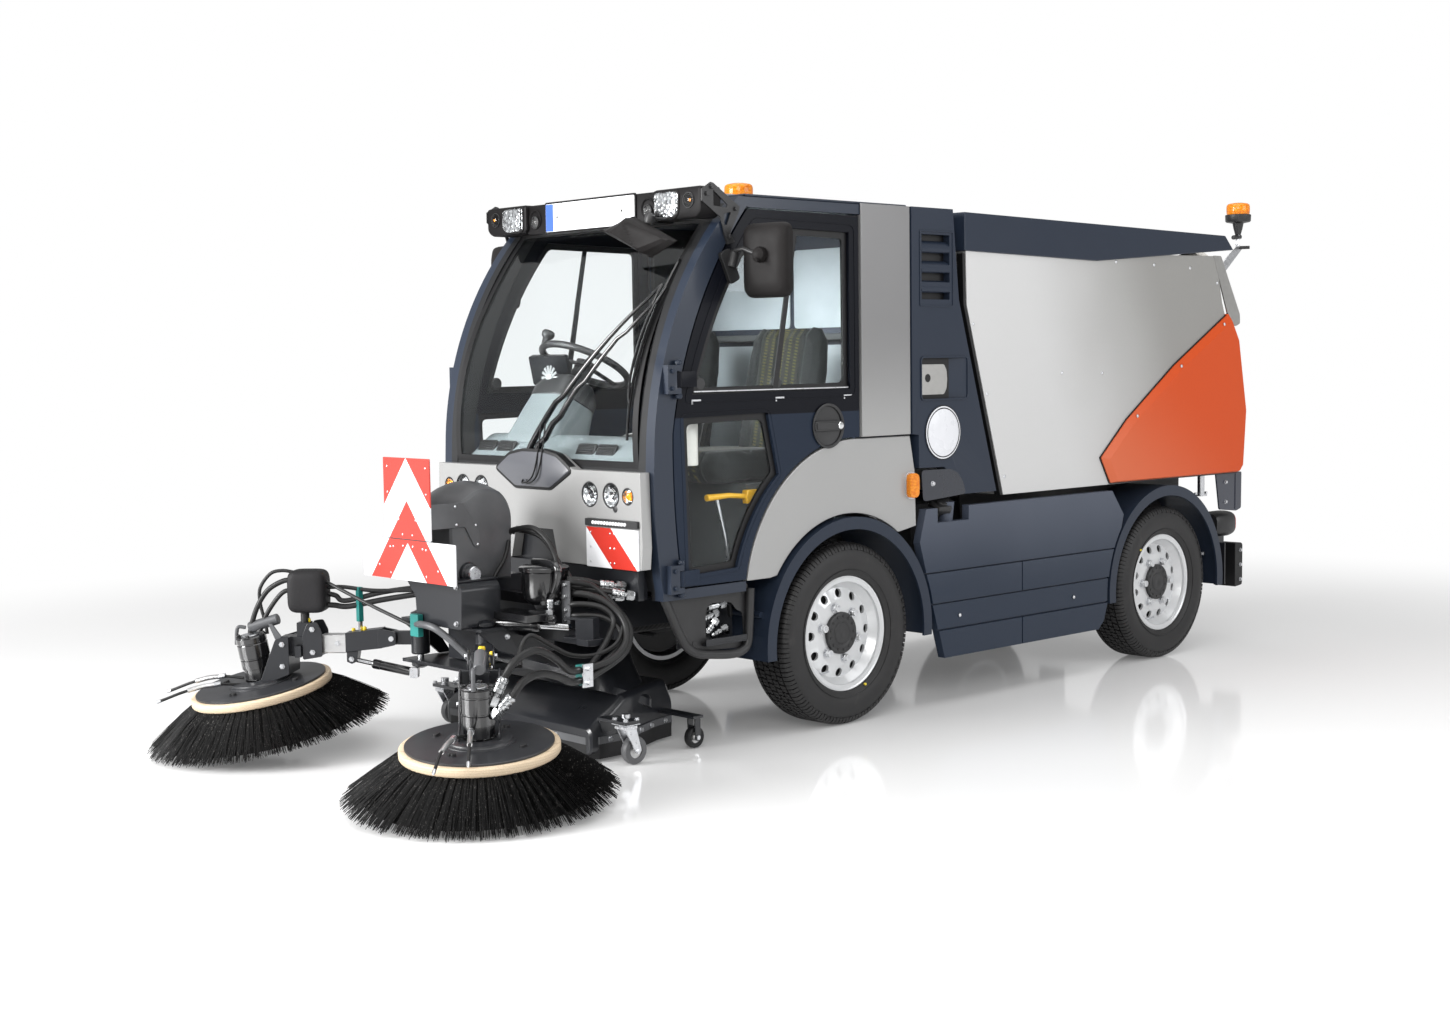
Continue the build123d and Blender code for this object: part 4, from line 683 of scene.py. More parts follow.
def bristles(seed):
    """Each bristle is a thin three-sided strip that leaves its hole at the ring, splays outwards and droops:
    radius = root + spread * t, height = -drop * t ** 1.15, with a small sideways drift that grows as t ** 2."""
    chance = np.random.default_rng(seed)
    strips = []
    for tufts, count, root_r, (low, high) in TUFT_ROWS:
        total = tufts * count
        tuft = np.repeat(np.arange(tufts), count)
        angle = (tuft + 0.5) / tufts * 2 * math.pi
        spread = np.sqrt(chance.uniform(0, 1, total)) * 0.0075
        round_hole = chance.uniform(0, 2 * math.pi, total)
        root = root_r + spread * np.cos(round_hole)
        angle = angle + spread * np.sin(round_hole) / root_r
        tip = BRUSH_TIP_R * chance.uniform(low, high, total) * (1 - 0.05 * chance.uniform(0, 1, total) ** 3)
        reach = chance.uniform(0.93, 1.0, total)
        drift = chance.normal(0, 0.020, total) + chance.normal(0, 0.013, tufts)[tuft]
        t = np.linspace(0, 1, BRISTLE_STATIONS)[None, :]
        radius = root[:, None] + (tip - root)[:, None] * t
        height = -0.012 - (BRUSH_DROP - 0.014) * reach[:, None] * t ** 1.15
        turn_at = angle[:, None] + drift[:, None] * t ** 2
        line = np.stack([radius * np.cos(turn_at), radius * np.sin(turn_at), height], -1)
        corner = np.array((0, 2 * math.pi / 3, 4 * math.pi / 3))
        outer = np.stack([np.cos(turn_at), np.sin(turn_at), 0 * turn_at], -1)[:, :, None]
        sideways = np.stack([-np.sin(turn_at), np.cos(turn_at), 0 * turn_at], -1)[:, :, None]
        thick = BRISTLE_R * (1 - 0.3 * t)[:, :, None, None]
        ring = line[:, :, None] + thick * (np.cos(corner)[None, None, :, None] * sideways
                                           + np.sin(corner)[None, None, :, None] * (outer * 0.4 + (0, 0, 0.9)))
        one = skin(np.zeros((BRISTLE_STATIONS, 3, 3)))[1]
        starts = (np.arange(total) * BRISTLE_STATIONS * 3)[:, None, None]
        faces = [(own[None] + starts).reshape(-1, own.shape[1]) for own in one]
        strips.append(outward(ring.reshape(-1, 3), faces))
    return joined(*strips)


def bristle_finish():
    """Black polypropylene, with pale streaks that run outwards along the tufts, painted in as highlights."""
    finish = Finish("black_bristles", specular_ior_level=0.22)
    streak = finish.noise(210.0, 2.0, (1, 1, 0.3))
    # The palest stop of this ramp is a painted highlight on the bristles.
    finish.feed(base_color=finish.ramp(streak, (0.35, (0.0012, 0.0012, 0.0014)), (0.62, (0.0045, 0.0044, 0.0045)),
                                       (0.74, (0.11, 0.105, 0.10))),
                roughness=0.38 + streak * 0.25, normal=finish.bump(streak, 0.0003, 0.3))
    return finish.material


def birch_plywood():
    """Birch plywood: pale layers round the edge, one darker glue line between each two, with fine grain."""
    finish = Finish("birch_plywood", coat_weight=0.12, coat_roughness=0.35)
    layer = (finish.axis("Z") * 780.0).maths("SINE")
    grain = finish.noise(240.0, 5.0, (1, 1, 5))
    blotch = finish.noise(16.0, 3.0)
    wood = finish.mix(grain.step(0.25, 0.75), (0.50, 0.38, 0.25), (0.72, 0.60, 0.44))
    lined = finish.mix(layer.step(0.72, 0.98) * 0.45, wood, (0.36, 0.25, 0.15))
    finish.feed(base_color=finish.mix(blotch.step(0.4, 0.8) * 0.35, lined, (0.62, 0.47, 0.31)),
                roughness=0.55 + grain * 0.15, normal=finish.bump(grain, 0.0004, 0.5))
    return finish.material


black_bristles = bristle_finish()
plywood = birch_plywood()
disc_black = painted("black_disc_paint", (0.018, 0.019, 0.022), 0.42, coat=0.15)
gloss_black = painted("gloss_black_paint", (0.008, 0.008, 0.009), 0.16, coat=0.8)
MOTOR_R = 0.055
RING = [(0.190, -0.013), (0.190, 0.015), (0.236, 0.015), (0.248, 0.0152), (0.2535, 0.0125), (0.2550, 0.008),
        (0.2550, -0.010), (0.2520, -0.0145), (0.246, -0.0155)]
DISC = [(0.060, 0.0155), (0.060, 0.0230), (0.2340, 0.0230), (0.2362, 0.0215), (0.2362, 0.0155)]
HUB_PLATE = [(0.052, 0.0225), (0.052, 0.0365), (0.098, 0.0365), (0.1035, 0.0345), (0.1050, 0.0300),
             (0.1085, 0.0270), (0.1140, 0.0262), (0.1150, 0.0225)]
CORE = [(0.150, -0.006), (0.232, -0.010), (0.300, -0.070), (0.372, -0.1380), (0.330, -0.1385), (0.225, -0.085)]
MOTOR_SECTION = [(0.046, 0.0400), (0.0500, 0.0420), (0.0500, 0.0800), (0.0545, 0.0820), (0.0545, 0.1140),
                 (0.0515, 0.1160), (0.0515, 0.1200), (0.0555, 0.1220), (0.0555, 0.1700), (0.0535, 0.1730),
                 (0.0535, 0.1765), (0.0555, 0.1780), (0.0555, 0.1960), (0.0525, 0.2000), (0.0420, 0.2010),
                 (0.0415, 0.1985), (0.0200, 0.1985)]
MOTOR_CAP = [(0.0330, 0.1975), (0.0330, 0.2025), (0.0315, 0.2042), (0.0100, 0.2046)]
DISC_BOLT = [(0.0105, 0.0), (0.0105, 0.0015), (0.0082, 0.0018), (0.0082, 0.0080), (0.0070, 0.0092)]


def leaning(lean):
    """Turn whose third column is the leaning axis and whose first points along X as nearly as it can."""
    up = np.array((*lean, 1.0)) / np.linalg.norm((*lean, 1.0))
    side_on = np.cross((0, 1, 0), up)
    side_on /= np.linalg.norm(side_on)
    return np.stack([side_on, np.cross(up, side_on), up], 1)


def brush_frame(centre, lean):
    """Middle of the brush's ring, so high that the lowest bristle just clears the ground."""
    up = 1 / math.sqrt(1 + lean[0] ** 2 + lean[1] ** 2)
    low = BRUSH_DROP * up + BRUSH_TIP_R * math.sqrt(1 - up ** 2)
    return at(*centre, low + 0.003), leaning(lean)


def bolts_round(section, count, radius, height, phase=0.0, steps=6):
    """Ring of upright bolts about the Z axis."""
    t = np.linspace(0, 2 * math.pi, count, endpoint=False) + math.radians(phase)
    places = np.stack([radius * np.cos(t), radius * np.sin(t), 0 * t + height], 1)
    return copies(turned(section, (0, 0, 0), (0, 0, 1), steps), places)


for side, sign, centre, lean in BRUSHES:
    hub, tilt = brush_frame(centre, lean)
    placed = {"places": [hub], "turns": [tilt]}
    tufts = piece(side + "_bristles", copies(bristles(7 + sign), **placed), black_bristles, side + "_brush",
                  "bristle", angle=50)
    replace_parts(tufts, side + "_brush")
    up = (0, 0, 1)
    piece(side + "_bristle_core", copies(turned(CORE, (0, 0, 0), up, 96, closed=True), **placed),
          black_bristles, side + "_brush", "bristle")
    piece(side + "_brush_ring", copies(turned(RING, (0, 0, 0), up, 96, closed=True), **placed), plywood,
          side + "_brush", "bristle", angle=50)
    plates = joined(turned(DISC, (0, 0, 0), up, 96, closed=True), turned(HUB_PLATE, (0, 0, 0), up, 72, closed=True))
    piece(side + "_brush_disc", copies(plates, **placed), disc_black, side + "_brush", "chassis_black", 25)
    fixings = joined(bolts_round(DISC_BOLT, 4, 0.160, 0.0228, 20), bolts_round(DISC_BOLT, 4, 0.160, 0.0228, 24, 16))
    piece(side + "_brush_bolts", copies(fixings, **placed), satin_black, side + "_brush", "chassis_black")
    motor = joined(turned(MOTOR_SECTION, (0, 0, 0), up, 48), bolts_round(DISC_BOLT, 4, 0.046, 0.1990, 45))
    piece(side + "_brush_motor", copies(motor, **placed), gloss_black, side + "_brush_arm", "chassis_black", 28)
    piece(side + "_motor_cap", copies(turned(MOTOR_CAP, (0, 0, 0), up, 40), **placed), zinc, side + "_brush_arm",
          "steel")

# ---- glazing -------------------------------------------------------------------------------------------
# Bonded safety glass, clear with a faint green-grey tint. Each pane has a printed black border, and the side
# window is two sliding panes that meet at a raked rubber bar, each with a round catch.
def see_through(name, tint, roughness=0.0):
    """Clear glass: it bends light as glass does, and lets the lamps' light pass without a dark shadow."""
    finish = Finish(name, transmission_weight=1.0, ior=1.22)
    finish.shader.inputs["Base Color"].default_value = (*tint, 1)
    finish.shader.inputs["Roughness"].default_value = roughness
    shadow = finish.add("LightPath", out="Is Shadow Ray")
    clear = finish.add("BsdfTransparent", inputs={0: tint})
    both = finish.add("MixShader", inputs={0: shadow, 1: Signal(finish, finish.shader.outputs[0]), 2: clear})
    finish.tree.links.new(both.socket, finish.tree.nodes["Material Output"].inputs["Surface"])
    return finish.material


def refinish(node, finish):
    """The model's own piece takes the finish in each of its material slots."""
    for socket in frame["nodes"][node].material_slots:
        socket.material = finish


def arc(start, via, end, count=10):
    """Points after start on the circle through three points: centre + radius * (cos t, sin t)."""
    a, b, c = (np.array(p, float) for p in (start, via, end))
    lhs = 2 * np.array([b - a, c - a])
    middle = np.linalg.solve(lhs, [(b @ b) - (a @ a), (c @ c) - (a @ a)])
    first, mid, last = (math.atan2(*(p - middle)[::-1]) for p in (a, b, c))
    sweep = (last - first) % (2 * math.pi)
    if (mid - first) % (2 * math.pi) > sweep:
        sweep -= 2 * math.pi
    t = first + sweep * np.arange(1, count + 1) / count
    return middle + np.linalg.norm(a - middle) * np.column_stack([np.cos(t), np.sin(t)])


def outline(items, count=10):
    """Corners and arcs as one closed outline; an arc is a pair of points (via, end). It also returns which
    points are corners, so that only they are rounded."""
    points, corner = [], []
    for item in items:
        if isinstance(item[0], tuple):
            run = arc(points[-1], *item, count)
            points += list(run)
            corner += [False] * (len(run) - 1) + [True]
        else:
            points.append(np.array(item, float))
            corner.append(True)
    return np.array(points), np.array(corner)


def inset(points, distance):
    """Outline moved inwards: each point goes along the mean of its two edges' normals, by the mitre rule."""
    along = np.roll(points, -1, 0) - points
    along /= np.linalg.norm(along, axis=1, keepdims=True)
    area = (points[:, 0] * np.roll(points[:, 1], -1) - points[:, 1] * np.roll(points[:, 0], -1)).sum()
    normal = np.column_stack([-along[:, 1], along[:, 0]]) * math.copysign(1, area)
    before = np.roll(normal, 1, 0)
    mitre = normal + before
    return points + distance * mitre / (1 + (normal * before).sum(1, keepdims=True))


def band(outer, inner, origin, u, v, depth):
    """Flat ring between two outlines with as many points each, carried by the vector depth."""
    u, v, depth = (np.array(d, float) for d in (u, v, depth))
    rings = [origin + points[:, :1] * u + points[:, 1:] * v for points in (outer, inner)]
    return skin(np.stack([rings[0], rings[1], rings[1] + depth, rings[0] + depth], 1), closed=True)


def border(items, width, origin, u, v, depth, round_outer=0.002, round_inner=0.022, start=0.0):
    """Ring of the given width inside an outline, with its corners rounded more on the inside."""
    points, corner = outline(items)
    soft_outer = rounded(inset(points, start), np.where(corner, round_outer, 0.001)[:, None, None])
    soft_inner = rounded(inset(points, start + width), np.where(corner, round_inner, 0.001)[:, None, None])
    return band(soft_outer, soft_inner, np.array(origin), u, v, depth)


clear_glass = see_through("clear_safety_glass", (0.955, 0.978, 0.982))
black_rubber = moulded("black_window_rubber", (0.0055, 0.0055, 0.0062), 0.45, 500.0, specular_ior_level=0.35)
for node in ("windscreen", "left_door_glass", "right_door_glass"):
    refinish(node, clear_glass)
GLASS_OUT_X, GLASS_IN_X = 0.605, 0.600
UPPER_WINDOW = [(-0.795, 1.285), ((-0.672, 1.590), (-0.470, 1.885)), (0.015, 1.878), (0.017, 1.290)]
LOWER_WINDOW = [(-0.838, 1.205), (-0.425, 1.212), (-0.372, 0.985), ((-0.507, 0.835), (-0.588, 0.660)),
                (-0.822, 0.650)]
SIDE_VIEW = {"u": (0, 1, 0), "v": (0, 0, 1)}
CATCHES = ((-0.742, 1.322), (-0.360, 1.318))
frit = joined(*[border(window, 0.024, at(x, 0, 0), depth=(depth, 0, 0), **SIDE_VIEW)
                for window in (UPPER_WINDOW, LOWER_WINDOW)
                for x, depth in ((GLASS_OUT_X + 0.0003, 0.0032), (GLASS_IN_X - 0.0035, 0.0032))])
meeting_bar = slab([(-0.272, 1.873), (-0.252, 1.873), (-0.361, 1.297), (-0.387, 1.297)],
                   at(GLASS_OUT_X + 0.0003, 0, 0), depth=(0.006, 0, 0), **SIDE_VIEW)
runner = block(at(GLASS_OUT_X, -0.760, 1.291), at(0.6135, 0.012, 1.301))
sill = block(at(0.6135, -0.782, 1.2935), at(0.6165, 0.015, 1.2975))
catches = joined(*[joined(turned([(0.021, 0), (0.024, 0.002), (0.024, 0.010), (0.021, 0.013), (0.006, 0.0135)],
                                 at(GLASS_IN_X - 0.0005, *place), (-1, 0, 0), 28),
                          turned([(0.022, 0), (0.022, 0.0022), (0.020, 0.0035)],
                                 at(GLASS_OUT_X + 0.0002, *place), (1, 0, 0), 28)) for place in CATCHES])
MARKS = ((-0.800, 1.262), (-0.385, 1.262), (-0.020, 1.262))
marks = joined(*[joined(block(at(0.6219, y, z), at(0.6232, y + 0.045, z + 0.006)),
                        block(at(0.6219, y, z - 0.010), at(0.6232, y + 0.007, z + 0.001))) for y, z in MARKS])
for side, sign in (("left", 1), ("right", -1)):
    for name, part, finish, slot, edge in (
            ("glass_border", joined(frit, meeting_bar), black_rubber, "rubber", None),
            ("glass_runner", joined(runner, catches), satin_black, "black_plastic", 0.0008),
            ("glass_sill", joined(sill, marks), zinc, "steel", None)):
        own = part if sign > 0 else mirrored(part)
        piece(side + "_" + name, own, finish, side + "_door", slot, rounding=edge)

SCREEN_HALF_X = 0.5397
SCREEN = [(-0.972, 1.0303), ((-0.936, 1.400), (-0.842, 1.608)), ((-0.728, 1.785), (-0.566, 1.978))]
screen_line = outline(SCREEN, 24)[0]
steps_along = np.gradient(screen_line, axis=0)
steps_along /= np.linalg.norm(steps_along, axis=1, keepdims=True)
screen_out = np.column_stack([-steps_along[:, 1], steps_along[:, 0]])
screen_out *= np.sign(-screen_out[:, :1])


def on_screen(x_low, x_high, chosen, low, high):
    """Strip over the windscreen's curve between two x, from low to high off the glass."""
    rings = [np.column_stack([0 * chosen + x, line[:, 0] + axle_y, line[:, 1]])
             for x, line in ((x_low, screen_line[chosen] + screen_out[chosen] * low),
                             (x_high, screen_line[chosen] + screen_out[chosen] * low),
                             (x_high, screen_line[chosen] + screen_out[chosen] * high),
                             (x_low, screen_line[chosen] + screen_out[chosen] * high))]
    return skin(np.stack(rings, 1))


whole_height = np.arange(len(screen_line))
top_part = whole_height[screen_line[:, 1] > 1.885]
foot_part = whole_height[screen_line[:, 1] < 1.06]
side_strip = on_screen(0.512, SCREEN_HALF_X + 0.001, whole_height, 0.0004, 0.0030)
screen_border = joined(side_strip, mirrored(side_strip),
                       on_screen(-0.512, 0.512, top_part, 0.0004, 0.0028),
                       on_screen(-0.512, 0.512, foot_part, 0.0004, 0.0028))
piece("windscreen_border", screen_border, black_rubber, "chassis", "rubber")

# ---- door skins and handles ------------------------------------------------------------------------------
# The doors are a darker blue-black than the cab, with a folded frame round the upper window, and a rubber
# seal. The handle is a plastic lever across a round dish, with a chromed lock in its rear end.
door_paint = painted("door_paint", SLATE, 0.36, 0.03, high=(0.0030, 0.0037, 0.0068), span=(1.203, 1.207),
                     specular_ior_level=0.12)
for side in ("left", "right"):
    for made in bpy.data.objects:
        if made.name == side + "_door_skin":
            dress(made, door_paint)
HANDLE = (-0.110, 1.153)
DISH = [(0.0780, 0.0), (0.0830, 0.0012), (0.0855, 0.0050), (0.0840, 0.0085), (0.0800, 0.0095),
        (0.0735, 0.0060), (0.0700, -0.0085), (0.0600, -0.0100)]
dish = turned(DISH, at(0.622, *HANDLE), (1, 0, 0), 56)
lever_shape = oblong(0.150, 0.036, 0.010)
lever = slab(lever_shape, at(0.6225, HANDLE[0] - 0.004, HANDLE[1]), depth=(0.0125, 0, 0), **SIDE_VIEW)
lever_grip = slab(oblong(0.118, 0.024, 0.007), at(0.634, HANDLE[0] - 0.012, HANDLE[1]), depth=(0.004, 0, 0),
                  **SIDE_VIEW)
lock = joined(turned([(0.0135, 0), (0.0140, 0.003), (0.0120, 0.0055), (0.0075, 0.0058)],
                     at(0.6345, HANDLE[0] + 0.058, HANDLE[1]), (1, 0, 0), 32),
              block(at(0.6395, HANDLE[0] + 0.0570, HANDLE[1] - 0.005), at(0.6408, HANDLE[0] + 0.0592, HANDLE[1] + 0.005)))
fold_upper = border(UPPER_WINDOW, 0.0035, at(0.6218, 0, 0), depth=(0.0022, 0, 0), round_outer=0.03,
                    round_inner=0.03, start=-0.030, **SIDE_VIEW)
fold_lower = border(LOWER_WINDOW, 0.0030, at(0.6218, 0, 0), depth=(0.0018, 0, 0), round_outer=0.028,
                    round_inner=0.028, start=-0.016, **SIDE_VIEW)
HINGE_Y, HINGE_Z = -0.872, (1.340, 0.645)
hinge_caps = joined(*[turned([(0.0115, 0), (0.0135, 0.003), (0.0135, 0.012), (0.011, 0.016), (0.005, 0.0175)],
                             at(0.636, HINGE_Y, z + way * 0.050), (0, 0, way), 24)
                      for z in HINGE_Z for way in (-1, 1)])
hinge_bolts = joined(*[copies(turned(DISC_BOLT, (0, 0, 0), (1, 0, 0), 6), [at(0.6478, -0.910, z + step)
                                                                          for step in (-0.030, 0.030)])
                       for z in HINGE_Z])
for side, sign in (("left", 1), ("right", -1)):
    for name, part, finish, slot, edge, body in (
            ("door_handle", joined(dish, lever, lever_grip), satin_black, "black_plastic", 0.0015, side + "_door"),
            ("door_lock", lock, chrome, "steel", None, side + "_door"),
            ("door_folds", joined(fold_upper, fold_lower), door_paint, "dark_paint", 0.0010, side + "_door"),
            ("hinge_caps", hinge_caps, slate_paint, "dark_paint", None, "chassis"),
            ("hinge_bolts", hinge_bolts, slate_paint, "dark_paint", None, "chassis")):
        own = part if sign > 0 else mirrored(part)
        piece(side + "_" + name, own, finish, body, slot, rounding=edge)

# ---- mirrors -----------------------------------------------------------------------------------------------
# Tall mirrors in grained grey-brown plastic shells, on a ball clamp at the end of a bent steel arm. The glass
# faces backwards, and a rubber boot covers the arm's foot on the door frame.
shell_plastic = moulded("mirror_shell_plastic", (0.0110, 0.0100, 0.0100), 0.52, 520.0, 0.0002, specular_ior_level=0.10)
mirror_glass = plated("mirror_glass", (0.86, 0.88, 0.90), 0.03, 0.02)
mirror_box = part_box("left_mirror")
MIRROR_MIDDLE, MIRROR_TURN = (0.765, -0.560, 1.752), 10
SHELL_SECTIONS = (
    # width, height, corner radius, distance behind the glass
    (0.172, 0.240, 0.030, 0.026), (0.192, 0.260, 0.038, 0.021), (0.195, 0.262, 0.040, 0.012),
    (0.194, 0.261, 0.040, 0.000), (0.186, 0.252, 0.042, -0.013), (0.160, 0.224, 0.050, -0.023),
    (0.100, 0.150, 0.045, -0.0265))


def stacked(sections, origin, u, v, w):
    """Rounded rectangles (width, height, corner radius, place along w) joined into one shell."""
    u, v, w = (np.array(d, float) for d in (u, v, w))
    rings = []
    for width, height, radius, place in sections:
        flat = oblong(width, height, radius, 7)
        rings.append(origin + flat[:, :1] * u + flat[:, 1:] * v + place * w)
    return skin(np.stack(rings))


swing = math.radians(MIRROR_TURN)
mirror_u = np.array((math.cos(swing), math.sin(swing), 0))
mirror_w = np.array((-math.sin(swing), math.cos(swing), 0))
middle = at(*MIRROR_MIDDLE)
shell = stacked(SHELL_SECTIONS, middle, mirror_u, (0, 0, 1), mirror_w)
face = slab(oblong(0.170, 0.236, 0.030), middle + 0.0255 * mirror_w, mirror_u, (0, 0, 1), 0.0012 * mirror_w)


def smooth_line(points, count=40):
    """Points along a smooth line through given ones, by Catmull-Rom: each span is a cubic whose slope at a
    point is half the step between its neighbours."""
    knots = np.array(points, float)
    padded = np.concatenate([[2 * knots[0] - knots[1]], knots, [2 * knots[-1] - knots[-2]]])
    place = np.linspace(0, len(knots) - 1, count)
    span = np.minimum(place.astype(int), len(knots) - 2)
    t = (place - span)[:, None]
    a, b, c, d = (padded[span + k] for k in range(4))
    return 0.5 * (2 * b + (c - a) * t + (2 * a - 5 * b + 4 * c - d) * t ** 2 + (3 * b - a - 3 * c + d) * t ** 3)


def hose(points, radius, steps=12, count=None, straight=False):
    """Round section carried along a line: centre + radius * (cos t * first + sin t * second). The section keeps
    one direction near that in which the line runs least. A radius may be given for every point."""
    line = np.array(points, float) if straight else smooth_line(points, count or 8 * len(points))
    along = np.gradient(line, axis=0)
    along /= np.linalg.norm(along, axis=1, keepdims=True)
    reference = np.linalg.svd(along)[2][-1]
    first = np.cross(along, reference)
    first /= np.linalg.norm(first, axis=1, keepdims=True)
    second = np.cross(along, first)
    t = np.linspace(0, 2 * math.pi, steps, endpoint=False)[None, :, None]
    thick = np.broadcast_to(radius, len(line))[:, None, None]
    return skin(line[:, None] + thick * (np.cos(t) * first[:, None] + np.sin(t) * second[:, None]))


ball = middle - 0.030 * mirror_w + (-0.010, 0, 0.018)
ball_profile = [(0.012, -0.030), (0.024, -0.022), (0.028, -0.008), (0.028, 0.008), (0.022, 0.022), (0.010, 0.028)]
ball_clamp = joined(turned(ball_profile, ball, (0.35, -1, 0.1), 28),
                    turned([(0.034, 0.012), (0.036, 0.020), (0.030, 0.027)], ball, mirror_w, 32),
                    turned([(0.007, 0), (0.007, 0.016), (0.005, 0.018)], ball + (0.010, -0.020, -0.016), (0.3, -1, -0.4), 6))
arm = hose([ball, ball + (-0.040, -0.008, 0.012), at(0.690, -0.600, 1.793), at(0.668, -0.602, 1.792),
            at(0.640, -0.603, 1.786), at(0.632, -0.603, 1.760)], 0.0085, 12, 36)
boot = joined(slab(oblong(0.052, 0.120, 0.012), at(0.6235, -0.618, 1.735), (0, 0.9, 0.42), (0, -0.42, 0.9), (0.016, 0, 0)),
              turned([(0.020, -0.03), (0.022, -0.02), (0.022, 0.02), (0.014, 0.035)], at(0.6365, -0.605, 1.758),
                     (0, 0.35, 0.94), 24))
for side, sign in (("left", 1), ("right", -1)):
    for name, part, finish, slot in (("mirror_shell", joined(shell, ball_clamp), shell_plastic, "black_plastic"),
                                     ("mirror_pane", face, mirror_glass, "glass"),
                                     ("mirror_arm", joined(arm, boot), satin_black, "black_plastic")):
        own = part if sign > 0 else mirrored(part)
        made = piece(side + "_" + name, own, finish, side + "_door", slot, 40, 0.0015 if name == "mirror_arm" else None)
        if name == "mirror_shell":
            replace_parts(made, side + "_mirror")

# ---- lamp bar over the windscreen ------------------------------------------------------------------------
# A moulded black bar between two lamp housings, held by a cut-out bracket at each end. It carries a headlamp
# and a winker at each side, two small lamps, and a white plate that is left blank.
bar_plastic = moulded("lamp_bar_plastic", (0.0080, 0.0074, 0.0078), 0.50, 560.0, 0.0002, specular_ior_level=0.10)
white_plate = moulded("white_plate", (0.80, 0.81, 0.82), 0.35, 900.0, 0.00002, 0.04)
blue_plate = moulded("blue_plate_strip", (0.035, 0.105, 0.42), 0.35, 900.0, 0.00002, 0.06)
clear_lens = see_through("clear_lens", (0.97, 0.98, 0.98), 0.02)


def coloured_lens(name, deep, pale):
    """Dyed acrylic over a bright reflector: light comes through it, with darker rings of prisms."""
    finish = Finish(name, transmission_weight=0.30, ior=1.35, coat_weight=0.25, coat_roughness=0.05)
    prisms = finish.noise(150.0, 1.0, (1, 0.4, 1))
    finish.feed(base_color=finish.mix(prisms.step(0.3, 0.7), deep, pale), roughness=0.12 + prisms * 0.1,
                normal=finish.bump(prisms, 0.0012, 0.7))
    return finish.material


amber = coloured_lens("amber_lens", (0.80, 0.20, 0.006), (1.0, 0.36, 0.02))
red_lens = coloured_lens("red_lens", (0.45, 0.008, 0.008), (0.75, 0.03, 0.02))


def faceted_reflector():
    """Bright vapour-coated bowl, moulded in small pillow facets."""
    finish = Finish("lamp_reflector", metallic=1.0)
    cells = finish.add("TexVoronoi", {"feature": "SMOOTH_F1"}, {"Vector": finish.place(), "Scale": 85.0}, "Distance")
    # The darker facet rims in the base colour are painted reflection: the dark spots the facets show are painted into
    # the metal.
    finish.feed(base_color=finish.mix(cells.step(0.1, 0.7), (0.82, 0.83, 0.85), (0.22, 0.225, 0.235)), roughness=0.08 + cells * 0.12,
                normal=finish.bump(cells, 0.004, 0.8))
    return finish.material


reflector = faceted_reflector()
FORWARD = np.array((0, -1, 0.0))
FRONT_VIEW = {"u": (1, 0, 0), "v": (0, 0, 1)}


def soft_box(outline, start, end, bevel, shrink=0.0):
    """Moulded box along Y from the outline in x and z: the front edge is turned over by the bevel."""
    points = np.array(outline, float)
    levels = [(0.0, start), (0.0, end + bevel), (bevel * 0.3, end + bevel * 0.3), (bevel, end)]
    rings = [np.column_stack([inset(points, move + shrink)[:, 0], 0 * points[:, 0] + y, inset(points, move)[:, 1]])
             for move, y in levels]
    return skin(np.stack(rings) + (0, axle_y, 0))


def round_lamp(x, z, radius, y, depth=0.030):
    """Bowl, bezel and solid domed lens of a round lamp that looks forward from y."""
    centre = at(x, y, z)
    bowl = [(radius, 0.000), (radius * 0.98, -0.004), (radius * 0.80, -depth * 0.7), (radius * 0.4, -depth),
            (radius * 0.14, -depth), (radius * 0.13, -depth * 0.55), (radius * 0.05, -depth * 0.5)]
    outside = [(radius * 1.03, -depth * 1.1), (radius * 1.03, 0.0)]
    bezel = [(radius * 0.97, -0.002), (radius * 1.02, 0.0035), (radius * 1.09, 0.0035), (radius * 1.13, -0.001),
             (radius * 1.08, -0.004)]
    lens = [(radius * 0.98, -0.0015), (radius * 0.985, 0.0010), (radius * 0.90, 0.0040), (radius * 0.70, 0.0075),
            (radius * 0.40, 0.0100), (radius * 0.12, 0.0110)]
    return (turned([outside[0]] + [outside[1]] + bowl, centre, FORWARD, 40),
            turned(bezel, centre, FORWARD, 48, closed=True), turned(lens, centre, FORWARD, 40))


END_BOX = rounded([(0.372, 1.915), (0.392, 1.903), (0.600, 1.903), (0.627, 1.925), (0.627, 2.013), (0.372, 2.013)],
                  0.014, 4)
end_housing = soft_box(END_BOX, -0.652, -0.746, 0.010)
LAMP_PANE = rounded([(0.392, 1.921), (0.408, 1.912), (0.490, 1.912), (0.508, 1.925), (0.512, 1.990), (0.500, 2.002),
                     (0.392, 2.002)], 0.008, 4)
pane_frame = soft_box(inset(LAMP_PANE, -0.007), -0.740, -0.7500, 0.004)
pane_bowl = soft_box(LAMP_PANE, -0.742, -0.7515, 0.004)
pane_glass = soft_box(inset(LAMP_PANE, 0.001), -0.7525, -0.7590, 0.005)
winker = round_lamp(0.566, 1.966, 0.025, -0.7475)
small_lamp = round_lamp(0.331, 1.944, 0.021, -0.7330)
small_hole = turned([(0.030, 0), (0.034, 0.003), (0.036, 0.003), (0.038, -0.002), (0.028, -0.004)],
                    at(0.331, -0.7320, 1.954), FORWARD, 40, closed=True)
winker_bulb = turned([(0.003, 0), (0.0105, -0.002), (0.0125, -0.010), (0.009, -0.020), (0.004, -0.024)],
                     at(0.572, -0.7465, 1.966), FORWARD, 20)
MIDDLE_BAR = rounded([(-0.385, 1.898), (0.385, 1.898), (0.385, 2.010), (-0.385, 2.010)], 0.012, 4)
middle_bar = soft_box(MIDDLE_BAR, -0.655, -0.730, 0.006)
plate_shape = oblong(0.520, 0.105, 0.006)
plate_middle = at(0.0, -0.7305, 1.9545)
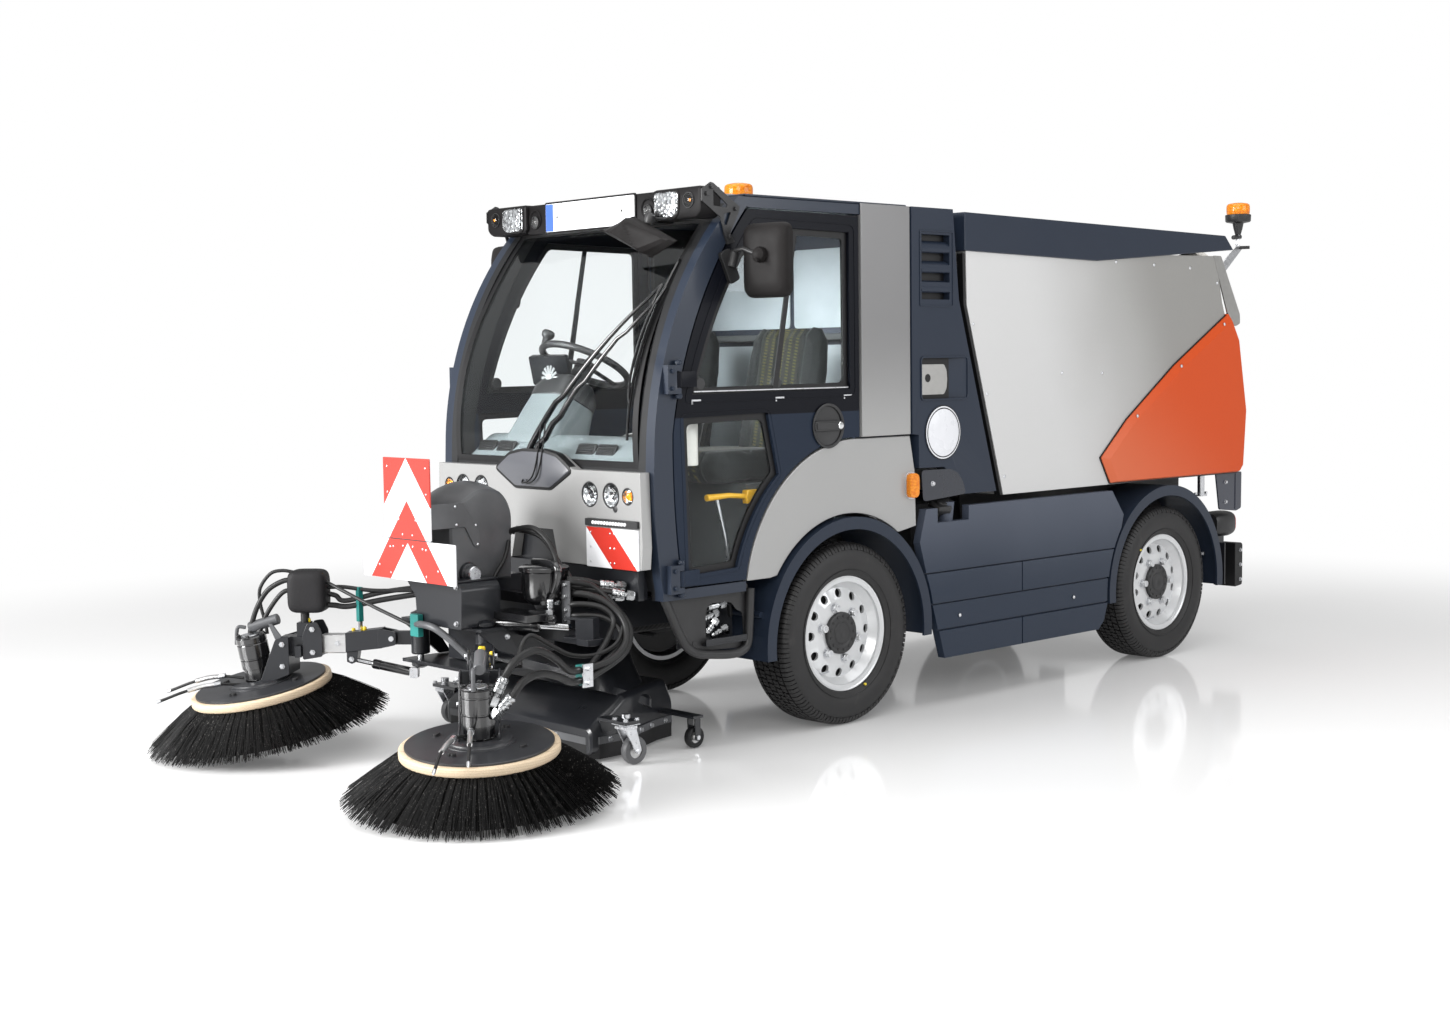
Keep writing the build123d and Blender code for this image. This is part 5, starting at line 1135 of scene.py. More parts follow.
holder = slab(oblong(0.534, 0.119, 0.008), plate_middle, depth=(0, -0.004, 0), **FRONT_VIEW)
sheet = slab(plate_shape, plate_middle + (0, -0.0035, 0), depth=(0, -0.0028, 0), **FRONT_VIEW)
blue = slab(rounded([(-0.2585, -0.051), (-0.214, -0.051), (-0.214, 0.051), (-0.2585, 0.051)], 0.004),
            plate_middle + (0, -0.006, 0), depth=(0, -0.0008, 0), **FRONT_VIEW)
plate_screws = joined(*[turned([(0.005, 0), (0.005, 0.001), (0.003, 0.0025)], plate_middle + (x, -0.0060, 0.0), FORWARD, 12)
                        for x in (-0.19, 0.19)])
BRACKET = [(-0.745, 1.960), (-0.745, 2.000), (-0.702, 2.026), (-0.690, 2.024), (-0.563, 1.947), (-0.566, 1.930),
           (-0.610, 1.853), (-0.640, 1.853), (-0.655, 1.905)]
HOLE_UP = [(-0.690, 1.999), (-0.622, 1.951), (-0.628, 1.940), (-0.690, 1.945)]
HOLE_LOW = [(-0.640, 1.921), (-0.606, 1.925), (-0.626, 1.880), (-0.638, 1.880)]


def with_holes(outside, holes, origin, u, v, depth):
    """Flat plate with holes in it: its two faces are triangulated between the rings of the outlines."""
    from mathutils import Vector
    from mathutils.geometry import tessellate_polygon
    rings = [np.array(ring, float) for ring in (outside, *holes)]
    flat = np.concatenate(rings)
    tris = np.array(tessellate_polygon([[Vector((*p, 0)) for p in ring] for ring in rings]))
    a, b, c = (flat[tris[:, k]] for k in range(3))
    clockwise = ((b - a)[:, 0] * (c - a)[:, 1] - (b - a)[:, 1] * (c - a)[:, 0]) < 0
    tris[clockwise] = tris[clockwise][:, ::-1]
    place = np.array(origin) + flat[:, :1] * np.array(u, float) + flat[:, 1:] * np.array(v, float)
    count = len(flat)
    walls, start = [], 0
    for number, ring in enumerate(rings):
        index = np.arange(start, start + len(ring))
        area = (ring[:, 0] * np.roll(ring[:, 1], -1) - ring[:, 1] * np.roll(ring[:, 0], -1)).sum()
        if (area > 0) == (number > 0):
            index = index[::-1]
        after = np.roll(index, -1)
        walls.append(np.stack([index, after, after + count, index + count], 1))
        start += len(ring)
    faces = [tris[:, ::-1], tris + count, np.concatenate(walls)]
    return outward(np.concatenate([place, place + np.array(depth, float)]), faces)


bracket = with_holes(BRACKET, (HOLE_UP, HOLE_LOW), at(0.6270, 0, 0), depth=(0.005, 0, 0), **SIDE_VIEW)
bracket_foot = slab([(-0.640, 1.853), (-0.610, 1.853), (-0.588, 1.822), (-0.622, 1.812)], at(0.6225, 0, 0),
                    depth=(0.0095, 0, 0), **SIDE_VIEW)
bracket_bolts = copies(turned(DISC_BOLT, (0, 0, 0), (1, 0, 0), 6), [at(0.6318, y, z) for y, z in
                       ((-0.617, 1.840), (-0.585, 1.938), (-0.722, 1.985), (-0.700, 2.010))])
lamp_bar_body = joined(middle_bar, holder, end_housing, mirrored(end_housing), pane_frame, mirrored(pane_frame),
                       small_hole, mirrored(small_hole))
for name, part, finish, slot, edge in (
        ("lamp_bar_housings", lamp_bar_body, bar_plastic, "black_plastic", None),
        ("lamp_bar_brackets", joined(bracket, bracket_foot, mirrored(bracket), mirrored(bracket_foot)), satin_black,
         "chassis_black", 0.001),
        ("lamp_bar_bolts", joined(bracket_bolts, mirrored(bracket_bolts), plate_screws), satin_black, "steel", None),
        ("number_plate", sheet, white_plate, "board", 0.0008), ("plate_strip", blue, blue_plate, "board", None)):
    made = piece(name, part, finish, "chassis", slot, 32, edge)
    if name == "lamp_bar_housings":
        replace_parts(made, "lamp_bar")

# ---- visor mirror --------------------------------------------------------------------------------------------
# A kerb mirror hangs below the bar: a folded grey-brown shell on a ball, with a stay rod to the bracket.
visor_top = np.array([at(0.158, -0.800, 1.880), at(0.333, -0.800, 1.921), at(0.566, -0.800, 1.823),
                      at(0.427, -0.800, 1.770)])
VISOR_STEPS = 14


def folded_shell(corners, lift):
    """Four corners as a bilinear sheet, raised along the diagonal from the second to the fourth into a soft
    crease: height = lift * (1 - |u - v|) ** 1.5, in front of the sheet; its rear face is the flat sheet."""
    u, v = np.meshgrid(np.linspace(0, 1, VISOR_STEPS), np.linspace(0, 1, VISOR_STEPS), indexing="ij")
    u, v = u[..., None], v[..., None]
    a, b, c, d = corners
    flat = (1 - u) * (1 - v) * b + u * (1 - v) * c + u * v * d + (1 - u) * v * a
    crease = np.clip(1 - np.abs(u - v), 0, 1) ** 1.5
    edge = np.clip(np.minimum(np.minimum(u, 1 - u), np.minimum(v, 1 - v)) * 6, 0, 1) ** 0.5
    front = flat + np.array((0, -1, 0.1)) * lift * (crease * 0.75 + 0.25) * edge
    front[..., 1] -= 0.008
    rings = np.stack([flat, front])
    index = np.arange(rings[..., 0].size).reshape(2, VISOR_STEPS, VISOR_STEPS)
    back, fore = index
    tops = np.stack([fore[:-1, :-1], fore[1:, :-1], fore[1:, 1:], fore[:-1, 1:]], -1).reshape(-1, 4)
    floor_quads = np.stack([back[:-1, :-1], back[:-1, 1:], back[1:, 1:], back[1:, :-1]], -1).reshape(-1, 4)
    loop = np.concatenate([np.arange(VISOR_STEPS) * VISOR_STEPS,
                           (VISOR_STEPS - 1) * VISOR_STEPS + np.arange(1, VISOR_STEPS),
                           np.arange(VISOR_STEPS - 2, -1, -1) * VISOR_STEPS + VISOR_STEPS - 1,
                           np.arange(VISOR_STEPS - 2, 0, -1)])
    after = np.roll(loop, -1)
    count = VISOR_STEPS ** 2
    rim = np.stack([loop, after, after + count, loop + count], 1)
    return outward(rings.reshape(-1, 3), [np.concatenate([tops, floor_quads, rim])])


visor = folded_shell(visor_top, 0.055)
visor_ball = turned([(0.008, -0.022), (0.017, -0.014), (0.020, 0), (0.017, 0.014), (0.008, 0.022)],
                    at(0.398, -0.782, 1.908), (0.3, 0.2, 1), 24)
visor_arm = hose([at(0.398, -0.780, 1.905), at(0.402, -0.748, 1.932), at(0.398, -0.728, 1.960)], 0.009, 10, 12)
visor_rod = hose([at(0.402, -0.776, 1.912), at(0.515, -0.700, 1.905), at(0.624, -0.585, 1.896)], 0.0042, 8, 10)
piece("visor_shell", visor, shell_plastic, "chassis", "black_plastic", 20)
piece("visor_mount", joined(visor_ball, visor_arm, visor_rod), satin_black, "chassis", "black_plastic")

# ---- front lamps, badge shield and striped boards ------------------------------------------------------------
# Three round lamps sit in each side of the front panel above a row of white diodes. A grey shield in the middle
# carries the wiper. The boards below are reflective sheet, riveted on, white with broad red stripes.
LAMPS_FRONT = ((0.325, 0.045), (0.442, 0.045), (0.532, 0.030))
LAMP_Z = 0.937
PANEL_Y = -1.024
bowls, bezels, lenses = [], [], []
for x, radius in LAMPS_FRONT:
    bowl, bezel, lens = round_lamp(x, LAMP_Z, radius * 0.90, PANEL_Y + 0.003, 0.016)
    bowls.append(bowl)
    bezels.append(bezel)
    lenses.append(lens)
bulb = turned([(0.002, 0), (0.012, -0.001), (0.014, -0.006), (0.009, -0.010)], at(0.535, PANEL_Y + 0.004, LAMP_Z),
              FORWARD, 20)
bowls += [winker[0], small_lamp[0], pane_bowl]
bezels += [winker[1], small_lamp[1]]
lenses += [winker[2], small_lamp[2], pane_glass]
bulbs = joined(bulb, winker_bulb)
for name, parts, finish, slot in (("lamp_reflectors", bowls, reflector, "lamp_lens"),
                                  ("lamp_bezels", bezels, satin_black, "black_plastic"),
                                  ("lamp_lenses", lenses, clear_lens, "lamp_lens"),
                                  ("lamp_bulbs", [bulbs], amber, "lamp_lens")):
    whole = joined(*parts)
    made = piece(name, joined(whole, mirrored(whole)), finish, "chassis", slot)
    if name == "lamp_reflectors":
        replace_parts(made, "lamps")

SHIELD = [(-0.104, 0.952), (0.104, 0.952), (0.216, 1.014), (0.204, 1.026), (0.138, 1.066), (0.060, 1.080),
          (-0.060, 1.080), (-0.138, 1.066), (-0.204, 1.026), (-0.216, 1.014)]
shield_paint = painted("shield_grey", (0.085, 0.088, 0.100), 0.32)
shield = soft_box(rounded(SHIELD, 0.010, 4), PANEL_Y + 0.030, PANEL_Y - 0.0060, 0.003)
shield_edge = soft_box(inset(rounded(SHIELD, 0.010, 4), -0.011), PANEL_Y + 0.028, PANEL_Y - 0.0030, 0.003)
piece("badge_shield", shield, shield_paint, "chassis", "grey_paint", 25)
piece("badge_shield_edge", shield_edge, black_rubber, "chassis", "black_plastic", 25)
plug = turned([(0.011, -0.001), (0.012, 0.0010), (0.010, 0.0022), (0.004, 0.0030)], at(0.466, PANEL_Y, 0.891), FORWARD, 24)
STRIP = (0.451, 0.8405)
strip_shell = slab(oblong(0.282, 0.025, 0.004), at(STRIP[0], PANEL_Y + 0.001, STRIP[1]), depth=(0, -0.0125, 0), **FRONT_VIEW)
diodes = joined(*[turned([(0.0070, 0), (0.0072, 0.0015), (0.0060, 0.0042), (0.0030, 0.0055)],
                         at(STRIP[0] - 0.094 + 0.0157 * k, PANEL_Y - 0.0112, STRIP[1]), FORWARD, 14)
                  for k in range(12)])
pale_diode = moulded("diode_lens", (0.78, 0.79, 0.80), 0.12, 300.0, 0.0002, 0.08)


def striped_board(name, measure, reds, grain=1300.0):
    """Retroreflective sheet: white and red fields that meet along lines where the measure passes each edge,
    over a fine honeycomb, with faint dirt."""
    finish = Finish(name, coat_weight=0.35, coat_roughness=0.15)
    x, z = finish.axis("X"), finish.axis("Z")
    value = measure(x, z)
    red = 0.0
    for low, high in reds:
        red = value.step(low - 0.0008, low + 0.0008) * (1 - value.step(high - 0.0008, high + 0.0008)) + red
    cells = finish.add("TexVoronoi", {}, {"Vector": finish.place(), "Scale": grain}, "Distance")
    dirt = finish.noise(11.0, 6.0, rough=0.7)
    white = finish.mix(dirt.step(0.55, 0.85), (0.74, 0.75, 0.77), (0.62, 0.62, 0.62))
    scarlet = finish.mix(dirt.step(0.5, 0.9), (0.50, 0.026, 0.014), (0.38, 0.022, 0.013))
    finish.feed(base_color=finish.mix(red, white, scarlet), roughness=0.26 + dirt * 0.15,
                normal=finish.bump(cells, 0.0002, 0.25))
    return finish.material


front_board_sheet = striped_board("striped_front_board", lambda x, z: x.maths("ABSOLUTE") + z, [(1.133, 1.268)])
BOARD_MIDDLE, BOARD_SIZE = (0.451, 0.7525), (0.282, 0.141)
board = slab(oblong(*BOARD_SIZE, 0.004), at(BOARD_MIDDLE[0], PANEL_Y - 0.0002, BOARD_MIDDLE[1]), depth=(0, -0.0058, 0),
             **FRONT_VIEW)
RIVET = [(0.0042, -0.0005), (0.0042, 0.0006), (0.0034, 0.0016), (0.0016, 0.0022)]
BOARD_RIVETS = [(a, b) for a in (-0.118, -0.010, 0.012, 0.118) for b in (-0.052, 0.0, 0.052)]
front_rivets = copies(turned(RIVET, (0, 0, 0), FORWARD, 12),
                      [at(BOARD_MIDDLE[0] + a, PANEL_Y - 0.0058, BOARD_MIDDLE[1] + b) for a, b in BOARD_RIVETS])
for name, part, finish, slot in (("front_boards", board, front_board_sheet, "board"),
                                 ("front_board_rivets", front_rivets, zinc, "steel"),
                                 ("diode_strips", joined(strip_shell, plug), satin_black, "black_plastic"),
                                 ("diodes", diodes, pale_diode, "lamp_lens")):
    piece(name, joined(part, mirrored(part)), finish, "chassis", slot)

# ---- tool carrier ------------------------------------------------------------------------------------------
# A welded black carrier in front of the cab. A moulded grey cover hides its valves, and striped boards stand in
# front of it on a folded plate. A canister, a swing cylinder and the hydraulic hoses stand beside it.
cover_grey = moulded("carrier_cover_grey", (0.075, 0.077, 0.082), 0.42, 480.0, 0.0002)
carrier_black = painted("carrier_black", (0.0105, 0.0115, 0.0145), 0.36, coat=0.2, specular_ior_level=0.4)
fitting_zinc = plated("hose_fitting_zinc", (0.44, 0.45, 0.46), 0.26, 0.30)
hose_rubber = moulded("hydraulic_hose_rubber", (0.0075, 0.0075, 0.0078), 0.46, 900.0, 0.0002, specular_ior_level=0.4)
clamp_teal = moulded("teal_clamp", (0.012, 0.165, 0.150), 0.40, 400.0)
grease_yellow = moulded("grease_cap_yellow", (0.85, 0.60, 0.02), 0.35, 400.0)


def arched(outline, stations, crown, crown_from):
    """Moulded cover along X: the outline in y and z, drawn in towards both ends, and raised in the middle by
    crown * (1 - share ** 2), where share is the place across it, for heights above crown_from."""
    points = np.array(outline, float)
    half = stations[-1][0]
    rings = []
    for x, draw in stations:
        ring = inset(points, draw)
        up = np.clip((ring[:, 1] - crown_from) / (points[:, 1].max() - crown_from), 0, 1)
        height = ring[:, 1] + crown * (1 - (x / half) ** 2) * up
        rings.append(np.column_stack([0 * up + x, ring[:, 0] + axle_y, height]))
    return skin(np.stack(rings))


COVER_SIDE = outline([(-1.480, 0.652), (-1.482, 0.830), ((-1.465, 0.893), (-1.410, 0.935)),
                      ((-1.335, 0.962), (-1.258, 0.945)), ((-1.226, 0.905), (-1.214, 0.840)), (-1.220, 0.640)], 8)[0]
COVER_STATIONS = [(x, draw) for x, draw in ((-0.125, 0.020), (-0.123, 0.008), (-0.115, 0.001), (-0.105, 0.0),
                                            (-0.06, 0.0), (0, 0.0), (0.06, 0.0), (0.105, 0.0), (0.115, 0.001),
                                            (0.123, 0.008), (0.125, 0.020))]
cover = arched(COVER_SIDE, COVER_STATIONS, 0.028, 0.86)
SIDE_PLATE = rounded([(-1.566, 0.838), (-1.566, 0.924), (-1.430, 0.924), (-1.392, 0.862), (-1.366, 0.822),
                      (-1.362, 0.762), (-1.386, 0.768), (-1.424, 0.838)], 0.006, 4)
side_plate = slab(SIDE_PLATE, at(0.1255, 0, 0), depth=(0.005, 0, 0), **SIDE_VIEW)
front_plate = block(at(-0.130, -1.5690, 0.690), at(0.1305, -1.5640, 1.045))
low_brace = block(at(-0.120, -1.5690, 0.675), at(-0.060, -1.478, 0.760))
lower_brace = block(at(0.060, -1.5690, 0.675), at(0.120, -1.478, 0.760))
piece("carrier_cover", cover, cover_grey, "chassis", "tower_grey", 26)
piece("board_bracket", joined(side_plate, mirrored(side_plate), front_plate, low_brace, lower_brace), cover_grey,
      "chassis", "tower_grey", rounding=0.0018)
SIDE_RIVETS = ((-1.464, 0.912), (-1.460, 0.848), (-1.378, 0.842), (-1.372, 0.774))
rivets = copies(turned([(0.0052, -0.0005), (0.0052, 0.0006), (0.0040, 0.0020), (0.0018, 0.0028)], (0, 0, 0), (1, 0, 0), 14),
                [at(0.1305, y, z) for y, z in SIDE_RIVETS])
knob = joined(turned([(0.0250, 0), (0.0262, 0.004), (0.0262, 0.030), (0.0235, 0.034), (0.0225, 0.031), (0.006, 0.031)],
                     at(0.134, -1.412, 0.676), (1, 0, 0), 40))
knob_ring = turned([(0.0385, -0.008), (0.0385, 0.004), (0.0350, 0.012), (0.0300, 0.013)], at(0.125, -1.412, 0.676), (1, 0, 0), 40)
piece("cover_rivets", joined(rivets, mirrored(rivets)), zinc, "chassis", "steel")
piece("cover_knob", knob, zinc, "chassis", "steel")

HOOD = rounded([(-0.135, 0.657), (0.190, 0.657), (0.213, 0.630), (0.207, 0.492), (-0.060, 0.492), (-0.068, 0.590)],
               0.010, 4)
hood = slab(HOOD, at(0, -1.505, 0), (1, 0, 0), (0, 0, 1), (0, 0.165, 0))
lip_top = block(at(-0.140, -1.515, 0.655), at(0.195, -1.330, 0.661))
spine = block(at(-0.110, -1.340, 0.345), at(0.110, -1.165, 0.655))
foot = block(at(-0.100, -1.170, 0.475), at(0.100, -1.0205, 0.500))
upper_plate = block(at(-0.245, -1.450, 0.480), at(0.245, -1.160, 0.492))
lower_plate = block(at(-0.245, -1.450, 0.330), at(0.245, -1.160, 0.342))
gusset = slab([(-1.455, 0.480), (-1.340, 0.480), (-1.250, 0.345), (-1.300, 0.345)], at(0.226, 0, 0), depth=(0.012, 0, 0),
              **SIDE_VIEW)
ribs_low = slab([(-1.165, 0.655), (-1.080, 0.480), (-1.165, 0.480)], at(0.085, 0, 0), depth=(0.010, 0, 0), **SIDE_VIEW)
neck_box = block(at(-0.100, -1.165, 0.352), at(0.100, -1.0203, 0.476))
pivots = joined(*[turned([(0.030, 0), (0.033, 0.004), (0.033, 0.016), (0.022, 0.020), (0.014, 0.024)],
                         at(sign * 0.200, -1.400, z), (0, 0, way), 28)
                  for sign in (-1, 1) for z, way in ((0.492, 1), (0.330, -1))])
pins = joined(*[turned([(0.012, 0), (0.012, 0.140)], at(sign * 0.200, -1.400, 0.341), (0, 0, 1), 20) for sign in (-1, 1)])
hood_bolts = joined(copies(turned(DISC_BOLT, (0, 0, 0), FORWARD, 6), [at(0.182, -1.505, 0.512), at(-0.040, -1.505, 0.512),
                           at(0.185, -1.505, 0.640)]),
                    copies(turned(DISC_BOLT, (0, 0, 0), (1, 0, 0), 6), [at(0.238, -1.335, 0.455), at(0.238, -1.295, 0.375)]))
carrier = joined(hood, lip_top, spine, foot, upper_plate, lower_plate, gusset, mirrored(gusset), ribs_low,
                 mirrored(ribs_low), neck_box, pivots, knob_ring)
made = piece("carrier_frame", carrier, carrier_black, "chassis", "chassis_black", rounding=0.0022)
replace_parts(made, "tool_tower")
piece("carrier_pins", joined(pins, hood_bolts), zinc, "chassis", "steel")

BOARDS = (
    # name, half width, lower and upper edge, red bands
    ("upper", 0.141, 0.800, 1.082, [(0.786, 0.934), (1.082, 1.60)]), ("lower", 0.282, 0.655, 0.796, [(0.786, 0.934)]))
for name, half, low, high, reds in BOARDS:
    sheet_finish = striped_board("striped_" + name + "_board", lambda x, z: x.maths("ABSOLUTE") * 1.19 + z, reds)
    plate = slab(rounded([(-half, low), (half, low), (half, high), (-half, high)], 0.004), at(0, -1.5760, 0),
                 depth=(0, 0.0055, 0), **FRONT_VIEW)
    made = piece(name + "_tower_board", plate, sheet_finish, "chassis", "board")
    if name == "upper":
        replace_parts(made, "warning_boards")
TOWER_RIVETS = [(sign * x, z) for sign in (-1, 1) for x, z in (
    (0.012, 0.950), (0.052, 0.908), (0.052, 0.868), (0.012, 1.020), (0.118, 1.050), (0.118, 0.960), (0.100, 0.820),
    (0.030, 0.815), (0.090, 0.770), (0.110, 0.768), (0.180, 0.700), (0.150, 0.775), (0.250, 0.770), (0.262, 0.690),
    (0.030, 0.775), (0.014, 0.720), (0.110, 0.676))]
board_rivets = copies(turned(RIVET, (0, 0, 0), FORWARD, 12), [at(x, -1.5758, z) for x, z in TOWER_RIVETS])
piece("tower_board_rivets", board_rivets, zinc, "chassis", "steel")

# ---- canister, swing cylinder and hoses ---------------------------------------------------------------------
# The hoses are rubber with pressed zinc ends. They come out under the cover, pass a drilled strap, and loop back
# to a teal clamp on the left arm. Points are where each hose runs.
CANISTER = [(0.020, 0.0), (0.050, 0.004), (0.072, 0.022), (0.080, 0.050), (0.080, 0.118), (0.088, 0.121),
            (0.088, 0.134), (0.078, 0.139), (0.050, 0.142)]
canister = joined(turned(CANISTER, at(0.300, -1.215, 0.560), (0, 0, 1), 48),
                  hose([at(0.232, -1.205, 0.706), at(0.330, -1.225, 0.710), at(0.398, -1.235, 0.700), at(0.402, -1.235, 0.660),
                        at(0.385, -1.240, 0.610)], 0.014, 14),
                  block(at(0.100, -1.262, 0.565), at(0.300, -1.205, 0.600)))
piece("canister", canister, gloss_black, "chassis", "chassis_black", 30, 0.0015)


def ram(foot, eye, barrel_r, rod_r, share):
    """Cylinder from foot to eye: the barrel with its glands over a share of the way, and the bare rod."""
    foot, eye = np.array(foot), np.array(eye)
    way = eye - foot
    length = np.linalg.norm(way)
    end = length * share
    r = barrel_r
    barrel = turned([(r * 0.5, 0.004), (r * 0.95, 0.006), (r, 0.012), (r, end - 0.030), (r * 1.08, end - 0.028),
                     (r * 1.08, end - 0.006), (r * 0.95, end), (rod_r * 1.2, end)], foot, way, 32)
    rod = turned([(rod_r, end - 0.004), (rod_r, length)], foot, way, 28)
    return barrel, rod


ram_barrel, ram_rod = ram(at(0.128, -1.395, 0.505), at(0.455, -1.228, 0.497), 0.022, 0.012, 0.70)
ram_block = joined(block(at(0.122, -1.420, 0.485), at(0.176, -1.370, 0.545)),
                   block(at(0.180, -1.368, 0.520), at(0.398, -1.262, 0.545)),
                   turned([(0.014, 0), (0.016, 0.003), (0.016, 0.020), (0.010, 0.024)], at(0.392, -1.268, 0.524), (1, 0.5, 0), 20))
ubox_u, ubox_v = np.array((0.86, 0.51, 0)), np.array((0, 0, 1.0))
ubox_out = [(-0.004, -0.042), (0.105, -0.042), (0.105, 0.030), (-0.004, 0.030), (-0.004, 0.024), (0.040, 0.024),
            (0.040, -0.036), (-0.004, -0.036)]
ubox = joined(slab(ubox_out, at(0.462, -1.258, 0.502), ubox_u, ubox_v, (-0.030, 0.052, 0)),
              block(at(0.500, -1.235, 0.440), at(0.560, -1.160, 0.462)))
stay = joined(block(at(0.100, -1.185, 0.430), at(0.520, -1.165, 0.482)))
piece("swing_ram", joined(ram_barrel, ram_block), gloss_black, "chassis", "chassis_black", 30, 0.0012)
piece("swing_ram_rod", ram_rod, chrome, "chassis", "steel")
piece("ram_bracket", joined(ubox, stay), carrier_black, "chassis", "chassis_black", rounding=0.0015)
STRAP = [(-0.022, -0.075), (0.022, -0.075), (0.022, 0.075), (-0.022, 0.075)]
strap = slab(rounded(STRAP, 0.006), at(0.424, -1.215, 0.579), (1, 0, 0), (0, 0, 1), (0, -0.005, 0))
piece("hose_strap", strap, cover_grey, "chassis", "tower_grey", rounding=0.001)
strap_bolts = copies(turned(DISC_BOLT, (0, 0, 0), FORWARD, 6), [at(0.424, -1.220, z) for z in (0.522, 0.552, 0.600, 0.640)])

HOSES = (
    # body, radius, points
    ("chassis", 0.0105, [(0.110, -1.225, 0.800), (0.138, -1.220, 0.814), (0.234, -1.210, 0.825), (0.302, -1.200, 0.786),
                         (0.334, -1.190, 0.729), (0.357, -1.200, 0.681), (0.354, -1.200, 0.640)]),
    ("chassis", 0.0085, [(0.110, -1.205, 0.800), (0.123, -1.200, 0.812), (0.228, -1.170, 0.790), (0.318, -1.160, 0.704),
                         (0.375, -1.160, 0.657), (0.414, -1.170, 0.596)]),
    ("chassis", 0.0075, [(0.118, -1.235, 0.770), (0.130, -1.240, 0.769), (0.146, -1.270, 0.716), (0.150, -1.320, 0.654),
                         (0.165, -1.345, 0.600)]),
    ("chassis", 0.0085, [(0.385, -1.240, 0.610), (0.398, -1.250, 0.602), (0.392, -1.262, 0.590)]),
    ("chassis", 0.0100, [(0.385, -1.180, 0.655), (0.425, -1.135, 0.648), (0.455, -1.088, 0.632)]),
    ("chassis", 0.0100, [(0.385, -1.175, 0.625), (0.455, -1.125, 0.618), (0.503, -1.072, 0.606)]),
    ("chassis", 0.0085, [(0.385, -1.175, 0.600), (0.420, -1.120, 0.596), (0.443, -1.083, 0.590)]),
)
LOOPS = (
    (0.0080, [(0.590, -1.100, 0.505), (0.600, -1.140, 0.447), (0.590, -1.220, 0.416), (0.555, -1.300, 0.419),
              (0.519, -1.360, 0.455), (0.484, -1.420, 0.493), (0.478, -1.460, 0.448), (0.529, -1.500, 0.403)]),
    (0.0120, [(0.380, -1.175, 0.560), (0.435, -1.195, 0.608), (0.508, -1.140, 0.593), (0.569, -1.105, 0.544),
              (0.610, -1.105, 0.492), (0.640, -1.140, 0.443), (0.660, -1.220, 0.405), (0.650, -1.320, 0.381)]),
    (0.0105, [(0.385, -1.175, 0.545), (0.446, -1.210, 0.574), (0.519, -1.150, 0.567), (0.560, -1.120, 0.526),
              (0.566, -1.150, 0.464), (0.590, -1.220, 0.410), (0.640, -1.318, 0.365)]),
    (0.0110, [(0.385, -1.180, 0.640), (0.425, -1.200, 0.650), (0.455, -1.125, 0.630), (0.513, -1.090, 0.573),
              (0.583, -1.080, 0.514), (0.617, -1.095, 0.462), (0.652, -1.165, 0.410), (0.662, -1.318, 0.352)]),
    (0.0095, [(0.380, -1.180, 0.530), (0.455, -1.205, 0.536), (0.530, -1.140, 0.530), (0.585, -1.110, 0.480),
              (0.600, -1.150, 0.420), (0.628, -1.318, 0.345)]),
)


def moved(points):
    return [at(*p) for p in points]


def crimp(start, end, radius):
    """Pressed zinc hose end: a ribbed sleeve, a neck and a union nut, from start towards end."""
    start, end = at(*start), at(*end)
    way = end - start
    length = np.linalg.norm(way)
    r = radius
    places = [(r * 1.15, 0), (r * 1.35, 0.06), (r * 1.35, 0.16), (r * 1.15, 0.18), (r * 1.35, 0.22), (r * 1.35, 0.34),
              (r * 1.15, 0.36), (r * 1.35, 0.40), (r * 1.35, 0.52), (r * 0.8, 0.56), (r * 0.8, 0.66)]
    return joined(turned([(radius_at, share * length) for radius_at, share in places], start, way, 20),
                  turned([(r * 1.0, 0.64 * length), (r * 1.55, 0.66 * length), (r * 1.55, 0.92 * length),
                          (r * 1.2, length)], start, way, 6))


chassis_hoses = joined(*[hose(moved(points), radius, 12) for _, radius, points in HOSES])
piece("carrier_hoses", chassis_hoses, hose_rubber, "chassis", "rubber", 60)
crimps = [crimp((0.354, -1.200, 0.645), (0.352, -1.205, 0.565), 0.011), crimp((0.165, -1.345, 0.605), (0.167, -1.347, 0.540), 0.0085),
          crimp((0.392, -1.262, 0.592), (0.394, -1.266, 0.535), 0.0095), crimp((0.452, -1.090, 0.632), (0.500, -1.012, 0.622), 0.012),
          crimp((0.500, -1.075, 0.606), (0.545, -1.010, 0.592), 0.012), crimp((0.440, -1.085, 0.590), (0.488, -1.010, 0.583), 0.010)]
piece("carrier_fittings", joined(*crimps, strap_bolts), fitting_zinc, "chassis", "steel")
loops = joined(*[hose(moved(points), radius, 12) for radius, points in LOOPS])
loop_piece = piece("arm_hose_loops", loops, hose_rubber, None, "rubber", 60)
at(0.560, -1.110, 0.52)
at(0.650, -1.315, 0.37)
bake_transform(loop_piece)

# ---- brush arms ----------------------------------------------------------------------------------------------
# Each arm is a black box tube on an upright pin, with a plated slide in its outer end, cheek plates, and a
# wedge bracket down to the brush motor. A short cylinder below it lifts the brush.
SWING_PIN = (0.200, -1.400)


